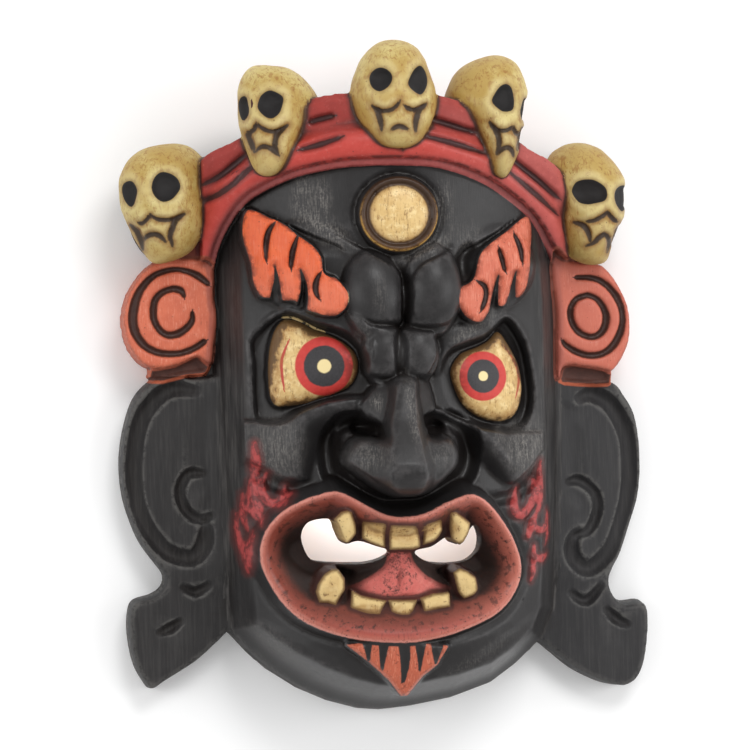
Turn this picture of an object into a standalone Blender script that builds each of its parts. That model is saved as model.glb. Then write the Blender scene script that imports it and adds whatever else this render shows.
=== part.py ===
"""Carved wooden mask of a wrathful guardian, hollowed at the back, lying face up.

Frame: +X to the viewer's right, +Y to the crown, +Z out of the face.  The flat back rim lies
on z = 0.  Sizes are in millimetres and are scaled to metres once.

The front is carved as a relief over the back plane: a block for the head, then one named
feature after another (brows, knots, cheeks, nose, eyes, lips, teeth, band, ears, rosettes).
The five skulls are round bodies set on the band, the hollow is scooped from behind, and
the two mouth openings break through into it.
"""
import bpy
import bmesh
import math
import numpy as np
from mathutils import Matrix, Vector

# ---------------------------------------------------------------- driving dimensions (mm)
MM = 0.001
EAR_THICKNESS = 16.5          # plates of the ears
WALL = 10.0                   # wood behind the deepest carving
RIM = 12.0                    # flat rim round the hollow
MOUTH_FLOOR = 44.0            # front of the wood at the back of the mouth
ROSETTE_Z = 26.0              # face of the temple rosettes
GRID = 1.5                    # spacing of the relief
VOXEL = 1.45                  # spacing at which the carved bodies are grown together
HOLLOW_GRID = 6.0
FACETS = 7400                 # triangles kept on the outside
COLOUR = (0.045, 0.042, 0.042, 1.0)
# the faces of the skulls are laid out square to this place in front of the mask
VIEWER = (-184.6, -0.4, 1488.8)
# the skulls: centre x y z, outline about that centre, depth in front and behind
SKULLS = [
    (-98.0, 77.0, 29.0, [(-18.0, 6.4), (-17.0, 13.0), (-14.2, 18.6), (-9.6, 22.8), (-4.0, 25.0), (2.6, 26.2), (9.2, 26.0),
                         (14.4, 24.2), (18.6, 20.0), (20.2, 14.0), (19.8, 5.6), (18.8, -5.2), (16.4, -16.2), (10.2, -23.0),
                         (1.4, -25.8), (-4.4, -25.6), (-9.4, -19.2), (-13.6, -11.2), (-16.8, -3.2)], 20.0, 21.0, 4.0),
    (-50.2, 109.9, 55.0, [(-14.8, 7.8), (-14.6, 13.4), (-13.2, 19.0), (-10.0, 23.2), (-4.8, 24.8), (6.0, 23.4), (11.2, 20.8),
                          (15.8, 16.4), (19.4, 10.2), (17.0, 2.8), (13.6, -3.6), (9.4, -12.2), (4.8, -19.0), (0.4, -22.4),
                          (-3.0, -23.2), (-7.0, -21.8), (-10.2, -16.2), (-13.0, -7.4), (-14.6, 0.4)], 18.5, 24.0, 12.0),
    (-0.1, 119.25, 66.0, [(0.4, 24.4), (-6.0, 22.4), (-11.4, 17.6), (-15.0, 10.8), (-17.4, 2.2), (-16.8, -3.8), (-13.4, -10.4),
                        (-9.2, -16.4), (-4.2, -20.8), (1.4, -22.2), (7.2, -22.0), (12.4, -19.0), (17.0, -12.6), (19.2, -6.2),
                        (19.8, -1.0), (18.2, 5.2), (15.8, 13.0), (12.6, 19.8), (7.0, 23.4)], 19.5, 24.0, 13.0),
    (46.7, 109.9, 55.0, [(-21.6, 8.8), (-18.4, 17.2), (-14.2, 22.2), (-7.8, 25.6), (-1.2, 27.4), (4.6, 27.2), (9.8, 24.0),
                         (12.8, 18.8), (14.4, 12.2), (13.8, 5.8), (12.6, -0.8), (11.2, -9.6), (8.6, -18.2), (5.4, -23.8),
                         (2.8, -25.6), (-1.2, -23.2), (-4.4, -15.8), (-7.4, -9.2), (-11.4, -2.6), (-17.4, 3.6)], 18.5, 24.0, 12.0),
    (92.0, 73.0, 29.0, [(-19.0, 16.4), (-16.0, 22.6), (-10.6, 26.4), (-3.8, 27.4), (2.6, 26.0), (7.4, 23.2), (12.8, 17.2),
                        (15.8, 11.4), (17.0, 3.8), (16.2, -2.8), (13.4, -10.8), (10.0, -18.8), (7.4, -25.2), (2.0, -27.0),
                        (-4.2, -25.8), (-9.4, -21.8), (-12.4, -9.0), (-14.2, 2.2), (-17.2, 9.6)], 20.0, 21.0, 4.0)]
# each skull's face about its centre (mm): eye pits, the cuts under the cheekbones, the
# grooves beside the muzzle and the mouth
SKULL_FACES = [
    dict(pits=[[(-3.6, 6.2), (-3.0, 10.0), (-1.2, 12.6), (1.4, 13.8), (5.4, 12.6), (8.0, 10.2), (8.8, 6.8), (7.0, 3.8),
                (4.6, 1.6), (1.2, 0.8), (-1.8, 2.6)],
               [(-16.6, 6.4), (-15.8, 9.0), (-13.4, 10.2), (-11.4, 9.4), (-10.0, 6.2), (-10.6, 2.8), (-12.0, -0.8),
                (-13.8, -0.6), (-15.8, 2.4)]],
         arcs=[[(11.0, -4.2), (6.2, -6.0), (1.8, -6.4), (-2.0, -5.8), (-4.6, -4.0)],
               [(-4.6, -4.0), (-6.0, -5.6), (-8.2, -7.6), (-10.4, -7.6)]],
         grooves=[[(10.2, -4.6), (6.6, -7.2), (4.8, -10.8), (3.8, -14.2), (5.0, -18.8)],
                  [(-13.2, -9.0), (-10.6, -11.8), (-9.0, -15.6), (-8.2, -20.0)]],
         mouth=[(-8.0, -16.2), (-6.2, -14.0), (-3.6, -13.2), (-0.6, -14.0), (2.0, -16.8)]),
    dict(pits=[[(-6.2, 6.2), (-5.2, 10.6), (-3.0, 12.8), (-0.8, 13.6), (2.2, 12.6), (4.8, 10.4), (4.2, 6.6), (2.8, 3.6),
                (-0.2, 1.6), (-3.4, 2.6)],
               [(-14.6, 8.2), (-13.4, 10.8), (-11.2, 11.2), (-10.4, 8.0), (-10.0, 4.6), (-11.6, 1.4), (-13.0, 1.0),
                (-14.2, 4.0)]],
         arcs=[[(6.2, -1.4), (1.8, -3.2), (-1.2, -3.2), (-4.2, -2.0), (-6.4, -0.2)],
               [(-7.0, 0.2), (-9.0, -3.0), (-11.2, -3.8)]],
         grooves=[[(6.4, -1.4), (3.2, -3.8), (1.2, -6.8), (0.8, -10.6), (2.4, -14.6)],
                  [(-11.2, -4.8), (-9.6, -8.4), (-8.0, -12.8)]],
         mouth=[(-7.4, -12.6), (-5.8, -10.8), (-3.2, -10.4), (-0.6, -11.6), (2.8, -14.6)]),
    dict(pits=[[(-8.8, 7.2), (-8.2, 9.8), (-6.4, 11.6), (-4.2, 12.4), (-1.6, 11.8), (0.6, 9.8), (1.0, 7.2), (-0.4, 4.6),
                (-3.2, 2.6), (-5.4, 2.4), (-7.8, 4.2)],
               [(7.8, 5.8), (9.2, 9.2), (11.0, 11.8), (13.2, 13.0), (15.0, 11.2), (16.0, 8.2), (16.0, 5.2), (14.8, 2.2),
                (13.0, 0.6), (10.8, 1.6), (8.6, 3.6)]],
         arcs=[[(4.4, -1.2), (2.4, -3.2), (-0.2, -5.0), (-3.4, -5.4), (-6.4, -4.4), (-8.4, -3.0)],
               [(15.8, -3.0), (13.2, -4.4), (10.6, -5.2), (7.6, -4.6), (5.4, -3.2)]],
         grooves=[[(-6.8, -4.8), (-4.8, -8.8), (-4.0, -14.4)],
                  [(14.8, -3.6), (11.8, -6.8), (10.6, -11.2), (10.4, -15.2)]],
         mouth=[(-0.2, -14.4), (1.6, -13.2), (4.2, -12.8), (7.6, -14.2)]),
    dict(pits=[[(-0.8, 7.2), (0.6, 10.8), (3.0, 13.8), (5.6, 14.8), (7.8, 13.2), (8.6, 9.8), (8.8, 6.2), (8.0, 3.6),
                (5.2, 2.8), (2.6, 3.6)],
               [(11.4, 2.6), (12.0, 5.2), (13.4, 8.6), (15.2, 7.0), (15.0, 2.6), (13.4, -0.8), (12.0, -0.4)]],
         arcs=[[(7.8, -3.2), (5.6, -4.4), (2.8, -4.6), (-0.2, -3.6), (-2.0, -1.4)],
               [(11.6, -7.2), (9.4, -5.6), (8.6, -3.2)]],
         grooves=[[(-2.0, -1.6), (0.6, -5.4), (1.8, -9.4), (1.4, -12.8), (0.4, -15.6)],
                  [(12.2, -4.4), (11.6, -8.6), (9.6, -13.8)]],
         mouth=[(0.6, -16.0), (2.2, -14.0), (4.8, -12.6), (7.0, -13.4), (8.0, -16.6)]),
    dict(pits=[[(-7.0, 5.6), (-5.6, 9.2), (-3.2, 10.6), (1.2, 11.0), (4.8, 9.8), (8.0, 7.2), (8.8, 4.0), (7.4, 1.4),
                (3.2, 0.4), (-0.4, 0.0), (-4.2, 1.2)],
               [(12.0, 4.0), (13.0, 6.6), (15.2, 8.0), (17.4, 7.4), (18.0, 3.0), (17.4, -1.2), (15.2, -3.4),
                (13.4, -1.4), (12.2, 1.2)]],
         arcs=[[(8.6, -3.0), (5.4, -5.2), (2.2, -6.6), (-1.4, -7.4)],
               [(13.4, -8.2), (10.8, -5.4), (8.6, -3.0)]],
         grooves=[[(-6.4, -7.8), (-2.4, -9.2), (-0.2, -12.2), (0.8, -16.8)],
                  [(13.8, -10.0), (12.4, -14.4), (10.4, -18.8)]],
         mouth=[(-1.8, -18.4), (1.8, -17.2), (5.0, -14.6), (7.4, -13.6), (9.2, -16.6), (8.0, -21.4)])]


# ---------------------------------------------------------------- outlines (mm, x y [z])
HEAD = [(-74.5, 70), (-75.5, 35), (-75, -10), (-74, -54), (-72.5, -98), (-71, -111.5), (-62.5, -121),
        (-54, -129), (-40.5, -138), (-27.5, -144), (-14, -148), (-4, -149), (8.5, -148), (26.5, -145),
        (44.5, -139), (56, -131), (67.5, -120.5), (74, -106), (77.5, -58), (78.5, -13), (79, 31), (77, 62),
        (72, 88), (59, 97.5), (40.5, 111), (21, 118.5), (1, 121), (-17, 120.5), (-38, 117), (-63.5, 103),
        (-78, 93)]
BAND_LOW = [(-76, 42, 24), (-73, 56, 31), (-68.5, 66.5, 41), (-60.5, 76.5, 52), (-44, 84.5, 64),
            (-27.5, 88, 70), (-15, 89, 73), (2.5, 89, 74), (20, 87.5, 72), (38.5, 81.5, 64), (53, 73, 54),
            (63, 65, 45), (72, 53, 33), (79, 40, 24)]
BAND_TOP = [(-88, 74, 24), (-80.5, 94, 36), (-63.5, 103, 46), (-38, 117, 56), (-17, 120.5, 60), (1, 121, 62),
            (21, 118.5, 60), (40.5, 111.5, 56), (59, 97.5, 46), (76, 87.5, 36), (88, 66, 24)]
BAND_LINES = [[(-82, 83.5), (-73, 87.5), (-66.5, 92.5), (-61, 97)], [(-81, 77), (-74, 79.5), (-68, 83.5), (-62.5, 88.5), (-57, 92)],
              [(-36, 108.5), (-30, 110), (-25, 111)], [(-41, 96.5), (-32, 98.5), (-22.5, 101.5)],
              [(15, 109), (22.5, 107), (29, 105), (37, 103)], [(11, 101.5), (21.5, 99), (30.5, 96.5), (41, 93.5)],
              [(52, 93), (62.5, 85.5), (70, 80), (77, 75)], [(49, 88), (59, 80.5), (66.5, 75), (76, 68)]]
LIP = [(-60.5, -79.5, 58), (-60, -71, 59), (-56.5, -63.5, 62), (-50.5, -57.5, 66), (-44.5, -54, 70),
       (-38.5, -51.5, 74), (-30, -49.5, 78), (-24, -51.5, 80), (-15.5, -56.5, 83), (-8.5, -60, 85),
       (-1.5, -61, 86), (7.5, -60, 85), (16.5, -56, 83), (23.5, -53.5, 81), (29, -52.5, 79), (35, -55, 75),
       (42, -62, 69), (49, -72, 62), (53, -82.5, 58), (52.5, -91, 58), (47.5, -99.5, 61), (39, -106, 66),
       (24, -111.5, 72), (9.5, -114.5, 76), (-6, -115, 78), (-25, -112.5, 76), (-41.5, -106.5, 70),
       (-51.5, -98, 63), (-57.5, -88, 59)]
HOLE_L = [(-41.5, -70), (-40, -64), (-35, -62), (-29, -62.5), (-27, -67.5), (-24, -73), (-19, -71.5),
          (-12.5, -73.5), (-5.5, -76), (-6, -78), (-12, -81), (-20.5, -82), (-34.5, -81), (-39, -78)]
HOLE_R = [(5, -76.5), (12.5, -75), (20, -71), (25, -75), (30, -71.5), (33, -66), (35.5, -69.5), (36.5, -74),
          (35.5, -79), (30, -83), (19, -83.5), (10, -81)]
SOCKET_L = [(-61, 6), (-61.5, 15), (-57, 22), (-48, 27.5), (-41, 26), (-35, 23), (-26, 20.5), (-19, 16),
            (-14.5, 9), (-14, 1), (-18, -6), (-26, -10.5), (-34, -12), (-43, -16), (-49, -20), (-59, -19.5),
            (-61, -10)]
SOCKET_R = [(49, 23.5), (56, 17), (60, 8), (62, -4), (62, -15), (58, -24), (50, -27), (44, -25.5), (35, -23.5),
            (26, -18), (19.5, -9), (18.5, 1), (22, 9), (30, 12.5), (39, 15.5)]
EYE_L = [(-54.5, 3), (-53.5, 13), (-51, 20.5), (-47, 24.5), (-40.5, 23), (-36, 20.2), (-29, 17.4), (-22.5, 13.7),
         (-18, 9), (-17, 2), (-20.3, -4.6), (-26.3, -7.7), (-33, -9.7), (-39, -11.7), (-45.7, -12.8), (-51.4, -12.7),
         (-54, -8)]
EYE_R = [(46, 17), (51, 10.5), (55, 2.5), (56.5, -6.5), (55.5, -14), (52, -20), (45, -22), (35.5, -19.5),
         (28.5, -14), (24.5, -5.5), (23.5, 1), (28, 7.5), (36, 10.5), (41, 13)]
BROW_L = [(-62, 72), (-58, 71), (-54, 68.6), (-50, 66.7), (-46.4, 64.3), (-43, 61), (-40.1, 58.7), (-36.5, 55.8),
          (-34, 52.7), (-32.5, 49.5), (-32.2, 44.5), (-30, 42.1), (-27, 41.3), (-25, 39.1), (-23, 36.5), (-21.9, 33.5),
          (-22.4, 30.1), (-24.1, 27.6), (-27, 25.6), (-31, 25.6), (-35, 26.7), (-39.6, 28.8), (-43.5, 32.2),
          (-48, 32.7), (-52, 33.7), (-57, 34.6), (-59, 37.5), (-60.5, 41.5), (-61.3, 49), (-63, 55), (-64.3, 61), (-64, 68)]
BROW_R = [(60, 67), (62, 64.5), (62.2, 57), (60.5, 50), (59.7, 43), (58.3, 35.8), (55.5, 32), (52, 31.6), (48.7, 29.2),
          (46.8, 28), (42.5, 28.5), (39.5, 24.8), (36.3, 21.4), (31.5, 22.3), (27.5, 26), (25.8, 31), (27, 35.8),
          (31.2, 38), (33.4, 40), (34.9, 44.5), (36, 48.5), (38.5, 52.4), (44.7, 57), (50, 60.4), (56, 64.8)]
# wedges between the lobes of each brow: x, y, half width
BROW_GAPS = [[(-51.8, 47.5, 0.3), (-51.1, 42, 1.0), (-51.3, 37, 1.9), (-51.6, 31, 3.0)],
             [(-41.2, 45.5, 0.3), (-40, 39.5, 1.2), (-40.2, 34, 1.8), (-41.5, 28, 2.6)],
             [(53.2, 42.8, 0.3), (52.1, 38, 0.9), (51.6, 33, 1.6), (51.2, 29.5, 2.4)],
             [(45.2, 41.5, 0.3), (43.9, 36, 1.1), (43.0, 30, 1.8), (42.6, 25.5, 2.4)]]
BROW_CUTS_L = [[(-51.2, 66.2), (-53.8, 62.2), (-54.9, 57), (-55.2, 49.5)], [(-41.5, 60.8), (-43.8, 54.8), (-44.7, 50.5), (-45.1, 45.8)],
               [(-33, 44), (-34.9, 40.3), (-35.3, 36.5), (-34, 32.4)]]
BROW_CUTS_R = [[(53.2, 59.6), (54.8, 55.7), (55.9, 51.4), (56.3, 46.2)], [(45.6, 53.2), (46.9, 48.3), (48.2, 42.6)],
               [(34.6, 39), (38.2, 36.7), (39, 33.2), (37.9, 29.3), (36, 25.7)]]
EAR_L = [(-86, 0), (-98, 0.5), (-103.5, -1.5), (-110.5, -9), (-115, -22), (-117, -35), (-116.5, -48.5),
         (-114, -59.5), (-109.5, -71), (-103.5, -80), (-99.5, -85.5), (-99, -90), (-101.5, -94), (-106, -96.5),
         (-113, -98.5), (-115, -103), (-115.5, -111), (-114.5, -120), (-112.5, -127.5), (-109.5, -133),
         (-106.5, -136.5), (-100.5, -133), (-87, -125), (-78, -117.5), (-70, -111), (-60, -112), (-60, -10)]
EAR_R = [(90, -5), (103.5, -6.5), (108.5, -12), (113.5, -21.5), (115.5, -37.5), (114.5, -55.5), (110.5, -69),
         (105.5, -82.5), (100.5, -92), (100, -98), (102.5, -103.5), (107, -106.5), (114.5, -106), (117, -109),
         (117, -119), (115, -132), (111.5, -139.5), (107, -142.5), (103, -142.5), (95.5, -140.5), (84, -134.5),
         (75, -127), (67, -120.5), (60, -118), (60, -10)]
HELIX_L = [(-82, -6), (-93, -4), (-101, -8), (-108, -17), (-111.5, -30), (-112, -48), (-109, -61), (-103, -71),
           (-96.5, -77), (-88, -79), (-83, -75), (-81, -68), (-82, -62)]
HELIX_R = [(86, -14.5), (93.5, -11.5), (102, -16), (108, -26), (110.5, -37), (110, -55), (106.5, -68.5),
           (102, -79.5), (96, -86.5), (90, -89.5), (85, -86.5), (82.5, -81), (84, -75), (88, -72)]
TRAGUS_L = [(-77, -60), (-84, -62), (-90, -57), (-92, -49), (-88, -42), (-80, -42)]
TRAGUS_R = [(80, -51), (87, -50), (94, -56), (95, -64), (91, -72), (84, -75)]
GOUGES_L = [[(-93, -91), (-86, -94), (-79, -90)], [(-104, -112), (-98, -110), (-92, -106)]]
GOUGES_R = [[(81, -99), (89, -104), (97, -96)], [(97, -107), (103, -113), (109, -116)]]
BEARD = [(-26, -115.5), (-18.4, -121.5), (-12, -127.3), (-6.7, -132.8), (-2.2, -138.8), (0.6, -138.6), (6.8, -130.6),
         (13.4, -125.3), (18, -117.5), (-4, -113)]
BEARD_CUTS = [[(-17.2, -115, 2.0), (-16.6, -122.5, 0.6)], [(-10.2, -115.5, 2.3), (-11, -126.5, 0.7)],
              [(-1.5, -116, 2.6), (-1, -124, 2.0), (-1.9, -133.5, 0.7)], [(5.6, -116.3, 2.4), (5.6, -123, 1.2), (5.2, -128.5, 0.4)],
              [(13, -116.5, 2.9), (12.4, -124.5, 0.8)]]
NOSE = [(-5, -2), (-6.5, -12), (-8.5, -22), (-9, -27.5), (-17.5, -27), (-23, -30), (-25.5, -37), (-19.5, -43),
        (-11.5, -49.5), (-4, -52.5), (4, -52.5), (10, -51), (17, -45.5), (23.5, -39), (23, -31.5), (19, -27.5),
        (11.5, -27.5), (10, -20), (8, -10), (7, -2)]
# tongues of painted flame: x, y, half width
FLAMES = [[(-61.6, -28.6, 1.0), (-61.3, -34, 1.9), (-60.9, -40, 1.9), (-61.3, -47, 1.2), (-60.8, -53, 1.2), (-59.3, -58, 1.6), (-59.4, -64.4, 0.4)],
          [(-60.5, -41.5, 1.3), (-58.7, -45.5, 1.7), (-58.4, -50, 1.7), (-55.4, -54.4, 1.8), (-51.4, -54.2, 1.9), (-49.2, -51, 1.8), (-48.9, -47.4, 0.4)],
          [(-58.2, -46, 1.2), (-57, -43.5, 0.9), (-56.2, -41.2, 0.3)], [(-50, -52, 1.6), (-46, -50.2, 0.4)],
          [(-62.8, -44.5, 0.6), (-63.4, -51, 1.0), (-62.6, -57.5, 1.7), (-60.3, -60.5, 1.6)],
          [(-66, -50.6, 0.4), (-66, -56, 1.0), (-65.9, -61, 1.2), (-64.2, -67, 0.4)], [(-66, -56.5, 0.9), (-62.6, -59, 1.0)],
          [(-68.2, -59.4, 0.5), (-68.4, -66, 0.9), (-67.2, -72.5, 1.4), (-65.4, -75.5, 2.2), (-64.9, -80, 1.7), (-64.5, -85.3, 0.4)],
          [(-65.2, -75, 1.7), (-63.3, -70.5, 1.0), (-62.6, -66.6, 0.3)],
          [(64.6, -39.8, 0.5), (64, -46, 1.3), (63.9, -54, 1.4), (63, -60, 1.1), (61.5, -63, 0.8), (59.5, -67, 1.8), (57.6, -72, 1.3)],
          [(61.2, -48.6, 1.0), (61.3, -54, 2.0), (58.3, -59.6, 1.7), (54.2, -62.9, 1.8), (50.9, -60.2, 2.0), (51.4, -55.5, 1.3), (52.3, -51, 0.3)],
          [(59.5, -67.8, 1.5), (63, -70, 1.2), (66.6, -69.3, 1.5), (68, -65, 1.0), (67.3, -61.4, 0.3)],
          [(67.9, -68.5, 1.1), (68.2, -73.5, 0.9), (66.6, -77, 0.3)],
          [(60.2, -77.2, 0.8), (60, -82, 1.3), (59.5, -88, 1.1), (58.2, -91.8, 0.4)], [(60.5, -82.4, 1.1), (64.6, -82.6, 1.6), (68, -81, 0.5)]]
# teeth: outline, top height, line of the ridge that splits the fangs
UPPER_TEETH = [([(-30.3, -61.5), (-27, -58.2), (-24.6, -57.8), (-22.8, -58.6), (-21.3, -63), (-20.8, -67.5), (-23, -70.4),
                 (-25.6, -72.4), (-26.8, -71.4), (-28.2, -67.9)], 79.5, [(-24.4, -57), (-25.6, -73)]),
               ([(-18.2, -62.8), (-9, -63.6), (-8.4, -74.4), (-11, -73.9), (-15.9, -71.6), (-18.4, -70)], 77.5, None),
               ([(-7, -64.4), (4.4, -65), (6, -69.6), (6.6, -74.4), (3.7, -75.4), (-6.9, -75.2)], 78.5, None),
               ([(8.4, -64.6), (15.8, -62.6), (16.4, -67.4), (14.6, -70.4), (12.6, -72.4), (7.8, -73.8)], 77.5, None),
               ([(19.4, -60), (22, -59.8), (26, -62.6), (28.6, -65), (27.6, -69), (25.2, -73), (22.6, -74), (20.4, -72.2), (19.6, -67)],
                78.5, [(21.5, -59), (24.6, -66), (23.6, -75)])]
LOWER_TEETH = [([(-34.4, -85.5), (-31, -83.3), (-28, -83.3), (-25.4, -87.4), (-25.6, -92.3), (-27.7, -95.4), (-29.4, -98.7),
                 (-33, -97.6), (-36.6, -97.3), (-38, -92.8), (-37, -89.3)], 69.5, None),
               ([(-22.6, -92.6), (-18, -95), (-7.6, -97.4), (-9, -99.7), (-11, -102.8), (-13.6, -103.1), (-18.6, -101.8), (-23.4, -99.8)], 70, None),
               ([(-7, -97.1), (5.4, -97.4), (3.6, -101.9), (1.5, -103.6), (-3.2, -103.4), (-5.9, -102)], 71.5, None),
               ([(6.8, -96.8), (12.3, -95.1), (19.9, -94.6), (20, -101), (13.7, -101.9), (8.4, -102.6)], 70, None),
               ([(21.8, -86.4), (24.5, -84.6), (28.1, -86), (31.8, -89), (32.2, -94.4), (30.6, -96.4), (26.5, -98), (24, -95.4), (22.8, -91.2)], 68.5, None)]
# temple rosettes: body, the two curls cut in its face, the recess under it
ROSETTE_L = [(-104.0, 49.6), (-109.3, 43.5), (-113.3, 36.2), (-115.0, 28.8), (-114.6, 20.4), (-111.9, 12.9), (-108.0, 8.0),
             (-104.3, 5.7), (-97.7, 5.1), (-91.1, 6.7), (-83.5, 9.6), (-79.6, 7.3), (-77, 7.2), (-75.9, 14.6), (-74.4, 23.4),
             (-74.2, 29.1), (-75.4, 35.3), (-75.1, 47.6), (-77.6, 51.6), (-83.3, 52.8), (-92.1, 53.2), (-98.7, 52.1)]
CURLS_L = [[(-77.9, 41.7, 1.2), (-81.3, 44.7, 1.7), (-85.6, 46.9, 1.4), (-90.9, 48.2, 1.2), (-95.7, 47.8, 1.3), (-101, 46, 1.4), (-105.5, 42.1, 1.6),
            (-108.7, 37.4, 1.9), (-110.6, 31.7, 2.1), (-111.2, 25.6, 2.1), (-110, 20.3, 2), (-106.6, 15.4, 1.8), (-101.9, 12.4, 1.6),
            (-96.2, 11.2, 1.5), (-90.1, 11.5, 1.4), (-84.3, 13.5, 1.5), (-80.3, 16.1, 1.4)],
           [(-88.5, 36.5, 0.9), (-89.8, 38.9, 1.6), (-93.3, 39.7, 1.5), (-97.7, 38.4, 1.5), (-100.9, 35.4, 1.6), (-102.1, 31.1, 1.7),
            (-101.8, 26.2, 1.6), (-99.5, 21.8, 1.5), (-96, 19.5, 1.6), (-91.6, 19.9, 1.7), (-87.6, 22.4, 1.6), (-85.1, 25.8, 1.4), (-85, 28.9, 0.9)]]
RECESS_L = [(-102.5, 3.7), (-93.1, 5.2), (-83.3, 9.4), (-79, 5.5), (-80.3, 3.3), (-88.7, 2.7), (-98.5, 0.3), (-103.3, 0.6)]
ROSETTE_R = [(97.4, 46.4), (102.7, 41.4), (106.6, 35.1), (109.6, 27.9), (110.5, 21.2), (110.1, 13.1), (108.1, 7.4), (105.3, 2.5),
             (101.5, -1.4), (96.1, -0.1), (89.4, 0.9), (82.6, 2.0), (79.4, 0.5), (78.4, -3.0), (76.8, -3.0), (76.9, 8.6),
             (77.2, 19.7), (77, 28.6), (75.9, 37.6), (75.2, 47.8), (76.3, 53.1), (80.7, 49.5), (88.3, 47.3)]
CURLS_R = [[(86.8, 40.7, 1.1), (92.7, 40.5, 1.3), (97.2, 39.1, 1.4), (101.2, 36.1, 1.5), (104.7, 31.6, 1.7), (106.8, 26.2, 1.5), (107.1, 20.3, 1.5),
            (105.6, 15, 1.7), (102.3, 9.8, 1.7), (97.7, 6.5, 1.5), (91.7, 5.8, 1.5), (85.9, 7.5, 1.5), (81.5, 10.3, 1.3), (79.7, 12.5, 0.9)],
           [(91.6, 32.8, 1.3), (95.6, 30.9, 1.3), (98.6, 26.8, 1.5), (99.7, 22.3, 1.7), (98.4, 17.4, 1.7), (95.1, 14.4, 1.5), (91.1, 14.3, 1.4),
            (86.6, 16.8, 1.5), (84, 21.3, 1.5), (83.7, 26.7, 1.5), (86.5, 31.1, 1.4), (91.6, 32.8, 1.3)]]
RECESS_R = [(81.5, 0.7), (85.6, 1.1), (92.4, 0.0), (99.1, -1.5), (101.2, -2.9), (100.6, -6.1), (95.8, -6.2), (87.6, -5.7), (80, -4.9)]
ROSETTES = [(ROSETTE_L, CURLS_L, RECESS_L), (ROSETTE_R, CURLS_R, RECESS_R)]


# ---------------------------------------------------------------- shaping functions
def rise(a, b, x):
    t = np.clip((x - a) / (b - a), 0, 1)
    return t * t * (3 - 2 * t)


def meld(a, b, k):
    """larger of two surfaces with a fillet of size k"""
    h = np.clip(0.5 + 0.5 * (a - b) / k, 0, 1)
    return b * (1 - h) + a * h + k * h * (1 - h)


def least(a, b, k):
    return -meld(-a, -b, k)


def curve(pts, n=4, closed=False):
    """Catmull-Rom curve through the points"""
    P = np.array(pts, float)
    N = len(P)
    out = []
    for i in range(N if closed else N - 1):
        if closed:
            a, b, c, d = P[(i - 1) % N], P[i], P[(i + 1) % N], P[(i + 2) % N]
        else:
            a, b, c, d = P[max(i - 1, 0)], P[i], P[i + 1], P[min(i + 2, N - 1)]
        for k in range(n):
            t = k / n
            out.append(0.5 * (2 * b + (c - a) * t + (2 * a - 5 * b + 4 * c - d) * t * t
                              + (3 * b - a - 3 * c + d) * t ** 3))
    if not closed:
        out.append(P[-1])
    return np.array(out)


def to_line(X, Y, P, closed=False):
    """distance to a line of points, the fraction along it and its third coordinate there"""
    P = np.asarray(P, float)
    n = len(P)
    m = n if closed else n - 1
    L = [0.0]
    for i in range(m):
        L.append(L[-1] + math.hypot(*(P[(i + 1) % n] - P[i])[:2]))
    best = np.full(X.shape, 1e9)
    S = np.zeros(X.shape)
    E = np.zeros(X.shape)
    for i in range(m):
        a, b = P[i], P[(i + 1) % n]
        dx, dy = (b - a)[:2]
        q = dx * dx + dy * dy
        if q < 1e-12:
            continue
        t = np.clip(((X - a[0]) * dx + (Y - a[1]) * dy) / q, 0, 1)
        d = (X - a[0] - t * dx) ** 2 + (Y - a[1] - t * dy) ** 2
        w = d < best
        best = np.where(w, d, best)
        S = np.where(w, (L[i] + t * (L[i + 1] - L[i])) / L[m], S)
        if P.shape[1] > 2:
            E = np.where(w, a[2] + t * (b[2] - a[2]), E)
    return np.sqrt(best), S, E


def side_of(X, Y, P):
    """distance to a line, fraction along it, and which side: + is to the left of its direction"""
    P = np.asarray(P, float)
    L = [0.0]
    for i in range(len(P) - 1):
        L.append(L[-1] + math.hypot(*(P[i + 1] - P[i])))
    best = np.full(X.shape, 1e9)
    S = np.zeros(X.shape)
    G = np.ones(X.shape)
    for i in range(len(P) - 1):
        a, b = P[i], P[i + 1]
        dx, dy = b - a
        q = dx * dx + dy * dy
        t = ((X - a[0]) * dx + (Y - a[1]) * dy) / q
        t = np.clip(t, 0, 1)
        ex, ey = X - a[0] - t * dx, Y - a[1] - t * dy
        d = ex * ex + ey * ey
        w = d < best
        best = np.where(w, d, best)
        S = np.where(w, (L[i] + t * (L[i + 1] - L[i])) / L[-1], S)
        G = np.where(w, np.sign(dx * ey - dy * ex), G)
    return np.sqrt(best), S, G


def depth_in(X, Y, P):
    """distance inside a closed outline, negative outside it"""
    P = np.asarray(P, float)
    n = len(P)
    c = np.zeros(X.shape, bool)
    for i in range(n):
        x1, y1 = P[i][:2]
        x2, y2 = P[(i + 1) % n][:2]
        if y1 != y2:
            c ^= ((Y < y1) != (Y < y2)) & (X < (x2 - x1) * (Y - y1) / (y2 - y1) + x1)
    d, S, E = to_line(X, Y, P, True)
    return np.where(c, d, -d), S, E


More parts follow.
